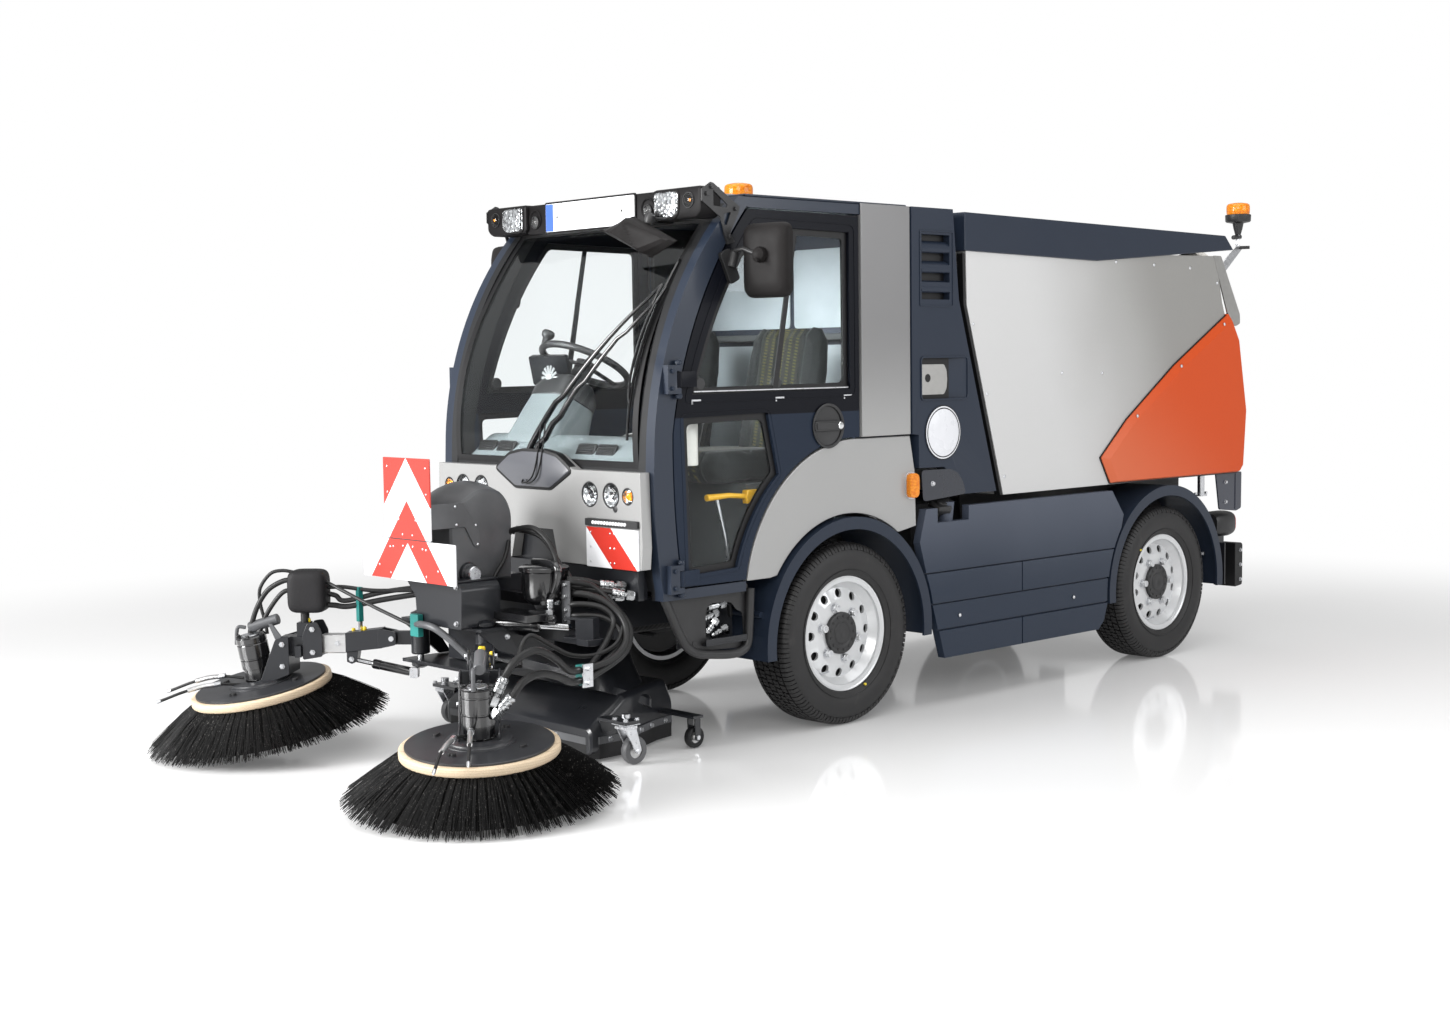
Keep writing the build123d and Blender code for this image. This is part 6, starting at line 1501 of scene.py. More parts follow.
class Along:
    """Frame of one arm: along from its upright pin towards its brush, across to the left of that, and up."""

    def __init__(self, sign, centre):
        self.pin = np.array((sign * SWING_PIN[0], SWING_PIN[1]))
        way = np.array(centre) - self.pin
        self.reach = np.linalg.norm(way)
        self.along = way / self.reach
        self.across = np.array((-self.along[1], self.along[0])) * sign

    def point(self, along, across, z):
        return at(*(self.pin + along * self.along + across * self.across), z)

    def slab(self, outline, low, high):
        """Plate across the arm from low to high, with its outline in (along, height)."""
        u, w = (*self.along, 0), np.array((*self.across, 0))
        return slab(outline, self.point(0, low, 0), u, (0, 0, 1), w * (high - low))

    def box(self, along, across, z):
        return self.slab([(along[0], z[0]), (along[1], z[0]), (along[1], z[1]), (along[0], z[1])], *across)


slide_steel = plated("ground_slide_steel", (0.58, 0.58, 0.58), 0.34, 0.06)
for side, sign, centre, lean in BRUSHES:
    arm_frame = Along(sign, centre)
    far = arm_frame.reach
    hub, tilt = brush_frame(centre, lean)
    body, foot_body = side + "_brush_arm", side + "_arm_bracket"
    knuckle = joined(turned([(0.030, -0.058), (0.034, -0.054), (0.034, 0.054), (0.030, 0.058)], arm_frame.point(0, 0, 0.415),
                            (0, 0, 1), 36),
                     arm_frame.box((0.012, 0.100), (-0.0135, 0.0135), (0.391, 0.440)),
                     turned([(0.022, -0.0135), (0.0245, -0.011), (0.0245, 0.011), (0.022, 0.0135)],
                            arm_frame.point(0.100, 0, 0.415), (*arm_frame.across, 0), 32))
    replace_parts(piece(side + "_arm_knuckle", knuckle, carrier_black, foot_body, "chassis_black", rounding=0.0012),
                side + "_arm_bracket")
    cheeks = [arm_frame.slab(rounded([(0.083, 0.392), (0.100, 0.388), (0.150, 0.378), (0.150, 0.452), (0.100, 0.442),
                                      (0.083, 0.438)], 0.010, 4), low, low + 0.011) for low in (-0.0305, 0.0195)]
    tube = arm_frame.slab([(0.135, 0.380), (0.270, 0.366), (0.270, 0.436), (0.135, 0.452)], -0.030, 0.030)
    lug = arm_frame.slab([(0.225, 0.370), (0.268, 0.366), (0.268, 0.330), (0.250, 0.322), (0.232, 0.330)], -0.024, 0.024)
    side_cheeks = [arm_frame.slab(rounded([(0.352, 0.352), (0.425, 0.340), (0.425, 0.430), (0.405, 0.474), (0.370, 0.478),
                                           (0.352, 0.440)], 0.008, 4), low, low + 0.006) for low in (-0.044, 0.038)]
    outer = arm_frame.box((0.360, far - 0.085), (-0.032, 0.032), (0.352, 0.424))
    saddle = joined(arm_frame.box((0.405, 0.450), (-0.026, 0.026), (0.420, 0.474)),
                    arm_frame.box((0.428, 0.452), (-0.052, 0.052), (0.350, 0.392)))
    WEDGE = rounded([(far - 0.125, 0.432), (far - 0.075, 0.418), (far - 0.018, 0.268), (far + 0.045, 0.255),
                     (far + 0.045, 0.225), (far - 0.125, 0.290)], 0.008, 4)
    wedges = [arm_frame.slab(WEDGE, low, low + 0.006) for low in (-0.066, 0.060)]
    back = arm_frame.box((far - 0.125, far - 0.115), (-0.064, 0.064), (0.290, 0.425))
    shaft_up = copies(turned([(0.014, 0.010), (0.014, 0.045)], (0, 0, 0), (0, 0, 1), 20), [hub], [tilt])
    body_part = joined(*cheeks, tube, lug, *side_cheeks, outer, saddle, *wedges, back, shaft_up)
    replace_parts(piece(side + "_arm_tube", body_part, carrier_black, body, "chassis_black", rounding=0.0016),
                side + "_brush_arm")
    slide = arm_frame.box((0.268, 0.362), (-0.026, 0.026), (0.362, 0.430))
    piece(side + "_arm_slide", slide, slide_steel, body, "steel", rounding=0.004)
    pins_part = [turned([(0.0095, -0.0345), (0.0095, 0.0345)], arm_frame.point(0.100, 0, 0.415), (*arm_frame.across, 0), 20)]
    for along, z in ((0.388, 0.452), (0.388, 0.368), (0.250, 0.340), (far - 0.100, 0.400), (far - 0.100, 0.320), (0.300, 0.398)):
        for way in (-1, 1):
            place = arm_frame.point(along, way * (0.066 if along > far - 0.11 else 0.044 if along > 0.35 else 0.026), z)
            pins_part.append(turned(DISC_BOLT, place, (*(way * arm_frame.across), 0), 6))
    piece(side + "_arm_bolts", joined(*pins_part), zinc, body, "steel")
    caps = [turned([(0.0065, 0), (0.0075, 0.003), (0.0075, 0.010), (0.005, 0.014)], arm_frame.point(*place), (0, 0, 1), 14)
            for place in ((0.412, 0.0, 0.474), (0.205, 0.0, 0.442), (0.255, 0.030, 0.432))]
    piece(side + "_grease_caps", joined(*caps), grease_yellow, body, "black_plastic")
    barrel, rod = ram(arm_frame.point(0.035, -0.005, 0.290), arm_frame.point(0.250, 0, 0.336), 0.0165, 0.0085, 0.66)
    eye = joined(arm_frame.slab(rounded([(0.010, 0.268), (0.040, 0.268), (0.040, 0.306), (0.010, 0.306)], 0.006, 3), -0.016, 0.016),
                 turned([(0.014, -0.022), (0.014, 0.022)], arm_frame.point(0.250, 0, 0.336), (*arm_frame.across, 0), 20))
    for name, part, finish, slot in (("lift_ram", barrel, gloss_black, "chassis_black"),
                                     ("lift_rod", joined(rod, eye), zinc, "steel")):
        made = piece(side + "_" + name, part, finish, None, slot, rounding=None)
        arm_frame.point(0.040, 0, 0.292)
        arm_frame.point(0.245, 0, 0.335)
        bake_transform(made)
    roll = [turned([(0.017, 0), (0.020, 0.004), (0.020, 0.112), (0.017, 0.116)], arm_frame.point(far + 0.042, 0.006, 0.452),
                   (*(-arm_frame.along), 0.30), 24)]
    lever_line = [arm_frame.point(far + 0.050, -0.010, 0.455), arm_frame.point(far + 0.075, -0.012, 0.457),
                  arm_frame.point(far + 0.083, -0.012, 0.440), arm_frame.point(far + 0.086, -0.012, 0.392)]
    handle = joined(*roll, hose(lever_line, 0.007, 10), arm_frame.slab([(far - 0.09, 0.42), (far - 0.055, 0.47),
                                                                       (far - 0.04, 0.47), (far - 0.07, 0.40)], -0.030, -0.022))
    piece(side + "_motor_handle", handle, cover_grey, body, "tower_grey", rounding=0.0012)
    lines, ends, braids = [], [], []
    for offset, z_start, spread in ((-0.020, 0.270, 0.0), (-0.045, 0.250, -0.075)):
        start, mid = arm_frame.point(far + 0.060, offset, z_start), arm_frame.point(far + 0.140, offset + spread * 0.4, z_start + 0.006)
        bend, tip = (arm_frame.point(far + 0.240, offset + spread * 0.8, z_start - 0.012),
                     arm_frame.point(far + 0.335, offset + spread, z_start - 0.046))
        lines.append(hose([start, mid, bend, tip], 0.0052, 10))
        braids.append(hose([mid, (mid + bend) / 2 + (0, 0, 0.004), bend], 0.0085, 12))
        ends.append(turned([(0.0062, 0), (0.0062, 0.014), (0.0035, 0.022)], tip, tip - bend, 12))
        ends.append(turned([(0.0105, -0.012), (0.0105, 0.012)], mid, bend - mid, 6))
    piece(side + "_nozzle_lines", joined(*lines), hose_rubber, body, "rubber", 60)
    piece(side + "_nozzle_braids", joined(*braids), slide_steel, body, "steel", 60)
    piece(side + "_nozzle_tips", joined(*ends), zinc, body, "steel")

# The right arm also carries a soft black cover over its valve, a stay rod and a row of hoses.
right_frame = Along(-1, BRUSHES[1][2])


def pillow(centre, u, v, w, power=4.0, steps=20):
    """Puffed box: a superellipsoid with half-axes u, v and w; each coordinate of a unit sphere is raised to
    2 / power, so the sides bulge and the edges are soft."""
    lon, lat = np.meshgrid(np.linspace(0, 2 * math.pi, 2 * steps, endpoint=False),
                           np.linspace(-math.pi / 2, math.pi / 2, steps + 1)[1:-1])
    soft = lambda value: np.sign(value) * np.abs(value) ** (2 / power)
    a, b, c = soft(np.cos(lat) * np.cos(lon)), soft(np.cos(lat) * np.sin(lon)), soft(np.sin(lat))
    return skin(centre + a[..., None] * np.array(u) + b[..., None] * np.array(v) + c[..., None] * np.array(w))


leathery = moulded("soft_valve_cover", (0.012, 0.0115, 0.0125), 0.58, 240.0, 0.0012, 0.35, specular_ior_level=0.2)
along3, across3 = (np.array((*way, 0.0)) for way in (right_frame.along, right_frame.across))
puffed = pillow(right_frame.point(0.408, 0, 0.588), along3 * 0.072, across3 * 0.052, np.array((0, 0, 0.079)), 5.0)
piece("valve_cover", puffed, leathery, "right_brush_arm", "rubber", 70)
neck = turned([(0.016, 0.470), (0.016, 0.520)], right_frame.point(0.425, 0, 0.0), (0, 0, 1), 20)
short_hoses = joined(
    hose(moved([(-0.545, -1.705, 0.655), (-0.575, -1.740, 0.662), (-0.607, -1.770, 0.650), (-0.636, -1.796, 0.598),
                (-0.637, -1.797, 0.542), (-0.625, -1.786, 0.470), (-0.620, -1.782, 0.430)]), 0.0065, 10),
    hose(moved([(-0.540, -1.710, 0.625), (-0.572, -1.737, 0.624), (-0.615, -1.777, 0.590), (-0.646, -1.806, 0.526),
                (-0.665, -1.823, 0.450), (-0.668, -1.826, 0.400)]), 0.0095, 12),
    hose(moved([(-0.545, -1.712, 0.590), (-0.568, -1.735, 0.586), (-0.591, -1.756, 0.558), (-0.622, -1.782, 0.500),
                (-0.640, -1.800, 0.440)]), 0.0085, 12), neck)
piece("right_motor_hoses", short_hoses, hose_rubber, "right_brush_arm", "rubber", 60)
long_hoses = joined(
    hose(moved([(-0.460, -1.620, 0.576), (-0.440, -1.600, 0.568), (-0.413, -1.575, 0.549), (-0.311, -1.480, 0.580),
                (-0.199, -1.370, 0.600), (-0.100, -1.300, 0.620)]), 0.0095, 12),
    hose(moved([(-0.460, -1.625, 0.535), (-0.440, -1.605, 0.533), (-0.401, -1.570, 0.529), (-0.312, -1.485, 0.552),
                (-0.199, -1.385, 0.575), (-0.105, -1.310, 0.590)]), 0.0105, 12),
    hose(moved([(-0.455, -1.630, 0.600), (-0.406, -1.587, 0.601), (-0.340, -1.520, 0.588), (-0.281, -1.460, 0.586),
                (-0.198, -1.390, 0.590), (-0.105, -1.320, 0.605)]), 0.0075, 10))
stay_rod = hose(moved([(-0.450, -1.640, 0.625), (-0.250, -1.577, 0.548), (-0.055, -1.512, 0.478)]), 0.0065, 12, 6)
across_hoses = piece("right_arm_hoses", joined(long_hoses, stay_rod), hose_rubber, None, "rubber", 60)
at(-0.110, -1.330, 0.58)
at(-0.440, -1.610, 0.58)
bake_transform(across_hoses)
hose_clip = joined(block(at(-0.378, -1.556, 0.474), at(-0.358, -1.536, 0.600)))
clip_post = block(at(-0.372, -1.552, 0.440), at(-0.360, -1.540, 0.478))
piece("right_hose_clip", hose_clip, clamp_teal, "right_brush_arm", "black_plastic", rounding=0.002)
piece("right_clip_post", clip_post, slide_steel, "right_brush_arm", "steel", rounding=0.001)

# The left clamp stands on a flat bar from the arm's knuckle; two thick hoses run from it to the brush motor.
left_clamp = joined(block(at(0.634, -1.352, 0.335), at(0.676, -1.318, 0.402)))
left_clamp_plate = joined(block(at(0.676, -1.356, 0.330), at(0.682, -1.314, 0.408)),
                          *[turned(DISC_BOLT, at(0.682, y, z), (1, 0, 0), 6) for y, z in ((-1.335, 0.392), (-1.335, 0.345))])
left_bar = slab([(-0.006, 0.0), (0.006, 0.0), (0.006, 0.032), (-0.006, 0.032)], at(0.245, -1.420, 0.392),
                (0.2, 0.98, 0), (0, 0, 1), (0.395, 0.078, -0.050))
piece("left_hose_clamp", left_clamp, clamp_teal, "left_arm_bracket", "black_plastic", rounding=0.003)
piece("left_clamp_plate", left_clamp_plate, zinc, "left_arm_bracket", "steel")
piece("left_clamp_bar", left_bar, carrier_black, "left_arm_bracket", "chassis_black", rounding=0.001)
motor_lines = joined(
    hose(moved([(0.762, -1.742, 0.420), (0.780, -1.700, 0.478), (0.776, -1.620, 0.497), (0.742, -1.520, 0.455),
                (0.700, -1.430, 0.400), (0.656, -1.345, 0.386)]), 0.0125, 14),
    hose(moved([(0.792, -1.735, 0.362), (0.800, -1.690, 0.410), (0.775, -1.600, 0.420), (0.735, -1.500, 0.392),
                (0.698, -1.420, 0.360), (0.656, -1.345, 0.352)]), 0.0125, 14))
made = piece("left_motor_hoses", motor_lines, hose_rubber, None, "rubber", 60)
at(0.665, -1.360, 0.38)
at(0.770, -1.690, 0.45)
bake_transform(made)
motor_ends = joined(crimp((0.764, -1.740, 0.425), (0.748, -1.778, 0.335), 0.0135), crimp((0.794, -1.733, 0.368), (0.752, -1.775, 0.300), 0.0135))
piece("left_motor_fittings", motor_ends, fitting_zinc, "left_brush_arm", "steel")
tower_clamp = joined(block(at(-0.070, -1.530, 0.448), at(-0.020, -1.506, 0.528)))
piece("tower_rod_clamp", tower_clamp, clamp_teal, "chassis", "black_plastic", rounding=0.003)
guard_tube = hose(moved([(-0.040, -1.520, 0.492), (0.020, -1.535, 0.498), (0.085, -1.530, 0.490), (0.130, -1.500, 0.452),
                         (0.165, -1.465, 0.405), (0.215, -1.440, 0.350)]), 0.0125, 14)
piece("guard_tube", guard_tube, cover_grey, "chassis", "tower_grey", 60)

# ---- hopper ------------------------------------------------------------------------------------------------
# A tipping box of bright sheet aluminium, riveted to its frame, with a folded flange down the rear edge. It
# hangs on black cast lugs, and a rubber seal runs down its leading edge.
def sheet_aluminium():
    """Bright rolled sheet: a metal with a very fine speckle, long faint streaks, and a painted reflection, a softer and
    darker tone towards the rear and the top.
    """
    finish = Finish("sheet_aluminium", metallic=0.45, specular_ior_level=0.35)
    speckle = finish.noise(620.0, 2.0)
    streak = finish.noise(26.0, 4.0, (1, 0.15, 1))
    # This mask darkens the sheet towards the rear and the top as a painted reflection.
    dark_reflection = (finish.axis("Y") + finish.axis("Z") * 0.45 + finish.noise(1.1, 2.0) * 0.5).step(1.75, 2.85)
    pale = finish.mix(speckle, (0.52, 0.52, 0.52), (0.64, 0.64, 0.635))
    grey = finish.mix(speckle, (0.26, 0.255, 0.245), (0.34, 0.335, 0.32))
    finish.feed(base_color=finish.mix(dark_reflection, pale, grey), roughness=0.42 + streak * 0.14,
                normal=finish.bump(speckle + streak * 0.6, 0.00006, 0.5))
    return finish.material


aluminium = sheet_aluminium()
flange_grey = plated("folded_flange", (0.46, 0.455, 0.44), 0.36, 0.06)
softened("hopper", aluminium, 0.0035, slot="hopper_metal")
softened("hopper_door", aluminium, 0.0035, slot="hopper_metal")
refinish("hopper_lugs", carrier_black)
HOPPER_SIDE_X, PANEL_SIDE_X = 0.618, 0.640
RIVETS_HOPPER = ((0.757, 1.536), (0.846, 1.250), (0.960, 0.905), (1.357, 1.329), (1.650, 1.324), (1.753, 1.812),
                 (2.048, 1.806), (2.342, 1.799), (2.573, 1.734))
RIVETS_PANEL = ((2.610, 1.540), (2.248, 1.347), (1.896, 1.128))
rivet_head = turned([(0.0078, -0.0008), (0.0078, 0.0008), (0.006, 0.0030), (0.0025, 0.0042)], (0, 0, 0), (1, 0, 0), 16)
side_rivets = copies(rivet_head, [at(HOPPER_SIDE_X, *place) for place in RIVETS_HOPPER]
                     + [at(PANEL_SIDE_X - 0.003, *place) for place in RIVETS_PANEL])
FLANGE = [(2.540, 1.862), (2.605, 1.862), (2.775, 1.590), (2.778, 1.545), (2.735, 1.530), (2.672, 1.580)]
flange = slab(rounded(FLANGE, 0.010, 4), at(0.6125, 0, 0), depth=(0.0065, 0, 0), **SIDE_VIEW)
SEAL = [(0.706, 1.820), (0.712, 1.618), (0.946, 0.832), (0.931, 0.832), (0.697, 1.616), (0.691, 1.820)]
seal = slab(SEAL, at(0.588, 0, 0), depth=(0.030, 0, 0), **SIDE_VIEW)
for name, part, finish, slot in (("hopper_rivets", side_rivets, zinc, "steel"),
                                 ("hopper_flange", flange, flange_grey, "hopper_metal"),
                                 ("hopper_edge_seal", seal, black_rubber, "rubber")):
    piece(name, joined(part, mirrored(part)), finish, "hopper", slot)

# ---- corner panels -----------------------------------------------------------------------------------------
# Moulded orange panels over the hopper's lower rear corners: a broad bevel leads in along both front edges, a
# return wraps round the back, and a black seal lies along the leading edge.
CORNER_EDGE = [(1.636, 0.951), (1.706, 0.837), (2.756, 0.832), (2.788, 0.863), (2.812, 1.128), (2.743, 1.465),
               (2.661, 1.589), (2.209, 1.351), (1.833, 1.113)]
LED_IN = (0.036, 0.006, 0.006, 0.006, 0.006, 0.006, 0.036, 0.036, 0.036)
CORNER_RETURN = [(2.735, 0.832), (2.756, 0.832), (2.788, 0.863), (2.812, 1.128), (2.743, 1.465), (2.661, 1.589),
                 (2.640, 1.589), (2.705, 1.460), (2.773, 1.128)]


def drawn_in(points, amounts):
    """Outline with each edge moved inwards by its own amount: a corner p moves so that its distance along the
    next edge's normal n is that edge's amount and along the last edge's normal b is that one's."""
    corner = np.array(points, float)
    along = np.roll(corner, -1, 0) - corner
    along /= np.linalg.norm(along, axis=1, keepdims=True)
    area = (corner[:, 0] * np.roll(corner[:, 1], -1) - corner[:, 1] * np.roll(corner[:, 0], -1)).sum()
    n = np.column_stack([-along[:, 1], along[:, 0]]) * math.copysign(1, area)
    b = np.roll(n, 1, 0)
    own = np.array(amounts, float)[:, None]
    last = np.roll(own, 1, 0)
    c = (n * b).sum(1, keepdims=True)
    return corner + (own * (n - b * c) + last * (b - n * c)) / (1 - c * c)


def side_stack(levels, radius=0.004):
    """Side-view outlines of (y, z) pairs, each at its own x, joined into one shell."""
    rings = [rounded(points, radius, 4) for points, _ in levels]
    return skin(np.stack([at(0, 0, 0) + np.insert(ring, 0, x, axis=1) for ring, (_, x) in zip(rings, levels)]))


def moulded_orange():
    """Dyed orange moulding, with a painted reflection: a paler, pinker tone low at its front."""
    finish = Finish("corner_orange", coat_weight=0.05, coat_roughness=0.2, specular_ior_level=0.22)
    y, z = finish.axis("Y"), finish.axis("Z")
    # The paler, pinker mix low at the front is a painted reflection.
    pale_reflection = (y * 0.75 + z + finish.noise(1.4, 2.0) * 0.15 - axle_y * 0.75).step(3.05, 2.15)
    grain = finish.noise(240.0, 3.0)
    deep = finish.mix(grain, (0.49, 0.054, 0.004), (0.56, 0.068, 0.007))
    finish.feed(base_color=finish.mix(pale_reflection * 0.55, deep, (0.58, 0.170, 0.085)), roughness=0.42 + grain * 0.1,
                normal=finish.bump(grain, 0.0001, 0.4))
    return finish.material


corner_orange = moulded_orange()
no_inset = np.zeros(len(CORNER_EDGE))
corner_part = joined(
    side_stack([(CORNER_EDGE, HOPPER_SIDE_X + 0.0005), (CORNER_EDGE, 0.6270),
                (drawn_in(CORNER_EDGE, LED_IN), PANEL_SIDE_X)]),
    side_stack([(CORNER_RETURN, 0.540), (CORNER_RETURN, 0.6265)], 0.002))
leading = drawn_in(CORNER_EDGE, no_inset - 0.0055)
corner_seal = side_stack([(leading, HOPPER_SIDE_X + 0.0003), (leading, HOPPER_SIDE_X + 0.0040)])
corner_made = piece("corner_panel_shells", joined(corner_part, mirrored(corner_part)), corner_orange, "hopper",
                    "orange_paint", angle=12, rounding=0.0016)
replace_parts(corner_made, "corner_panels")
piece("corner_panel_seals", joined(corner_seal, mirrored(corner_seal)), black_rubber, "hopper", "rubber")

# ---- tail door fittings ------------------------------------------------------------------------------------
# The tail door has pressed stiffening ribs, a rubber seal, a black drain bracket each side, and a grab bar. A
# ribbed drain hose loops out behind the flange.
TAIL_RIBS = [(-0.34, 0.055), (0.0, 0.055), (0.34, 0.055)]
RIB_LINE = [(2.752, 0.862), (2.815, 0.868), (2.837, 1.128), (2.771, 1.462), (2.716, 1.588), (2.690, 1.588),
            (2.735, 1.460), (2.790, 1.128), (2.765, 0.880)]
tail_ribs = joined(*[slab(rounded(RIB_LINE, 0.010, 4), at(x - half, 0, 0), depth=(2 * half, 0, 0), **SIDE_VIEW)
                     for x, half in TAIL_RIBS])
TAIL_WEDGE = [(2.795, 1.360), (2.918, 1.175), (2.800, 1.172)]
tail_wedge = slab(rounded(TAIL_WEDGE, 0.008, 3), at(0.500, 0, 0), depth=(0.006, 0, 0), **SIDE_VIEW)
tail_wedge = joined(tail_wedge, copies(turned(DISC_BOLT, (0, 0, 0), (1, 0, 0), 6),
                                       moved([(0.506, 2.822, 1.215), (0.506, 2.850, 1.190)])))
grab_bar = hose([at(-0.22, 2.800, 1.060), at(-0.22, 2.862, 1.062), at(-0.20, 2.872, 1.062), at(0.20, 2.872, 1.062),
                 at(0.22, 2.862, 1.062), at(0.22, 2.800, 1.060)], 0.011, 14, straight=True)
for name, part, finish, slot, edge in (
        ("tail_door_ribs", tail_ribs, aluminium, "hopper_metal", 0.005),
        ("tail_door_wedges", joined(tail_wedge, mirrored(tail_wedge)), carrier_black, "chassis_black", 0.0008),
        ("tail_door_grab_bar", grab_bar, satin_black, "steel", None)):
    piece(name, part, finish, "hopper_door", slot, rounding=edge)
DRAIN = [(0.40, 2.610, 1.840), (0.40, 2.755, 1.862), (0.40, 2.848, 1.800), (0.40, 2.850, 1.700), (0.40, 2.765, 1.610)]
drain_line = smooth_line(moved(DRAIN), 240)
drain_hose = hose(drain_line, 0.036 + 0.0045 * np.sin(np.arange(240) * math.pi / 4), 20, straight=True)
white_hose = moulded("white_ribbed_hose", (0.62, 0.60, 0.56), 0.35, 300.0, 0.0001, 0.08)
drain_piece = piece("drain_hose", drain_hose, white_hose, None, "rubber", angle=60)
at(0.400, 2.800, 1.850)
at(0.400, 2.800, 1.640)
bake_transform(drain_piece)

# ---- beacons -----------------------------------------------------------------------------------------------
# Two amber warning beacons. Each has a black moulded base, a fluted dome over a silver reflector, and the rear
# one stands on a tapered sleeve and a galvanised pole that is bolted to the hopper's flange.
DOME = [(0.0520, 0.0), (0.0545, 0.010), (0.0555, 0.026), (0.0550, 0.042), (0.0515, 0.050), (0.0440, 0.0545),
        (0.0240, 0.0580), (0.0060, 0.0590)]
ROOF_BEACON, REAR_BEACON = (0.250, -0.200), (0.550, 2.865)


def dome_at(place, foot, share=1.0):
    """Fluted dome on its axis: the profile's radius falls a little in 24 shallow flutes below the rim."""
    points, faces = turned(DOME, (0, 0, 0), (0, 0, 1), 96)
    t = np.arctan2(points[:, 1], points[:, 0])
    flute = 1 - 0.009 * (points[:, 2] < 0.045) * (0.5 + 0.5 * np.cos(24 * t))
    return points * np.column_stack([flute * share, flute * share, 0 * t + 1]) + at(*place, foot), faces


up = (0, 0, 1)
roof_base = turned([(0.0615, -0.004), (0.0620, 0.012), (0.0600, 0.020), (0.0560, 0.0225)],
                   at(*ROOF_BEACON, 1.999), up, 48)
rear_base = turned([(0.0110, -0.062), (0.0135, -0.060), (0.0215, -0.030), (0.0260, -0.006), (0.0560, 0.0), (0.0600, 0.006),
                    (0.0610, 0.034), (0.0560, 0.0365)], at(*REAR_BEACON, 2.0345), up, 48)
arm_foot, arm_top = (0.556, 2.700, 1.795), (0.556, 2.868, 1.915)
pole = joined(turned([(0.0095, 0), (0.0095, 0.075)], at(*REAR_BEACON, 1.905), up, 20),
              slab([(2.675, 1.800), (2.708, 1.772), (2.885, 1.905), (2.880, 1.918), (2.842, 1.918), (2.760, 1.868)],
                   at(0.556, 0, 0), depth=(0.005, 0, 0), **SIDE_VIEW),
              turned([(0.0130, 0), (0.0130, 0.020)], at(*REAR_BEACON, 1.925), up, 6))
clamp_parts = joined(turned([(0.0170, 0), (0.0170, 0.016)], at(*REAR_BEACON, 1.955), up, 20),
                     turned([(0.0090, -0.045), (0.0105, -0.043), (0.0105, 0.020)], at(*REAR_BEACON, 1.964),
                            (0, 1, 0.1), 12),
                     turned([(0.0080, -0.010), (0.0080, 0.050)], at(0.556, 2.865, 1.912), (1, 0.5, 0), 8))
for label, body, parts in (("roof", "chassis", (roof_base, dome_at(ROOF_BEACON, 2.0195))),
                           ("rear", "hopper", (joined(rear_base, clamp_parts), dome_at(REAR_BEACON, 2.0685)))):
    base_made = piece(label + "_beacon_base", parts[0], satin_black, body, "black_plastic", rounding=0.001)
    piece(label + "_beacon_dome", parts[1], amber, body, "lamp_lens", angle=50)
    if label == "rear":
        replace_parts(base_made, "hopper_beacon")
        piece("rear_beacon_pole", pole, zinc, body, "steel", rounding=0.0008)
core = joined(*[turned([(0.030, 0), (0.036, 0.004), (0.018, 0.020), (0.034, 0.034), (0.020, 0.036)],
                       at(*place, foot), up, 24)
                for place, foot in ((ROOF_BEACON, 2.0225),)])
piece("roof_beacon_core", core, zinc, "chassis", "steel")
core = turned([(0.030, 0), (0.036, 0.004), (0.018, 0.020), (0.034, 0.034), (0.020, 0.036)],
              at(*REAR_BEACON, 2.0715), up, 24)
piece("rear_beacon_core", core, zinc, "hopper", "steel")

# ---- rear pillar fittings ----------------------------------------------------------------------------------
# Moulded trim on each rear pillar: a louvred air inlet in a raised rim, a grip pocket with a steel plate in it,
# a round blank sign, a dark niche over the filler cap, and an amber side marker.
SIDE_OUT = {"u": (0, 1, 0), "v": (0, 0, 1), "depth": (1, 0, 0)}


def lifted(points, low, high, radius=0.012):
    """Side-view plate with rounded corners, from x low to x high."""
    return slab(rounded(points, radius, 6), at(low, 0, 0), (0, 1, 0), (0, 0, 1), (high - low, 0, 0))


def rim(points, width, low, high, radius=0.016):
    """Side-view ring of the given width inside the outline, from x low to x high."""
    outer = rounded(points, radius, 6)
    return band(outer, inset(outer, width), at(low, 0, 0), (0, 1, 0), (0, 0, 1), (high - low, 0, 0))


def box_of(y, z):
    return [(y[0], z[0]), (y[1], z[0]), (y[1], z[1]), (y[0], z[1])]


BLADES = (1.6815, 1.7590, 1.8370)
BLADE = [(0.606, 0.026), (0.616, 0.023), (0.626, 0.015), (0.634, 0.003), (0.6368, -0.010), (0.6368, -0.018),
         (0.630, -0.023), (0.616, -0.020), (0.606, -0.018)]
blades = joined(*[slab(BLADE, at(0, 0.418, z), (1, 0, 0), (0, 0, 1), (0, 0.178, 0)) for z in BLADES])
POCKET = box_of((0.409, 0.703), (1.233, 1.408))
PILLAR_X, POCKET_X = 0.635, 0.615
pocket_wall = slab([(0.600, POCKET_X), (0.700, POCKET_X), (0.700, 0.6345), (0.680, 0.6325), (0.645, 0.626), (0.618, 0.619)],
                   at(0, 0, 1.238), (0, 1, 0), (1, 0, 0), (0, 0, 0.165))
pillar_trim = joined(blades, rim(box_of((0.406, 0.612), (1.603, 1.902)), 0.006, 0.6345, 0.6385, 0.010),
                     rim(POCKET, 0.007, 0.6340, 0.6390, 0.022), pocket_wall)
# Painted shade: the dark plate behind the louvre blades, and the black floor and hole disc of the grip pocket, stand
# for the shade in the inlet and the pocket.
louvre_shade_plate = lifted(box_of((0.416, 0.594), (1.610, 1.895)), 0.6005, 0.6030, 0.004)
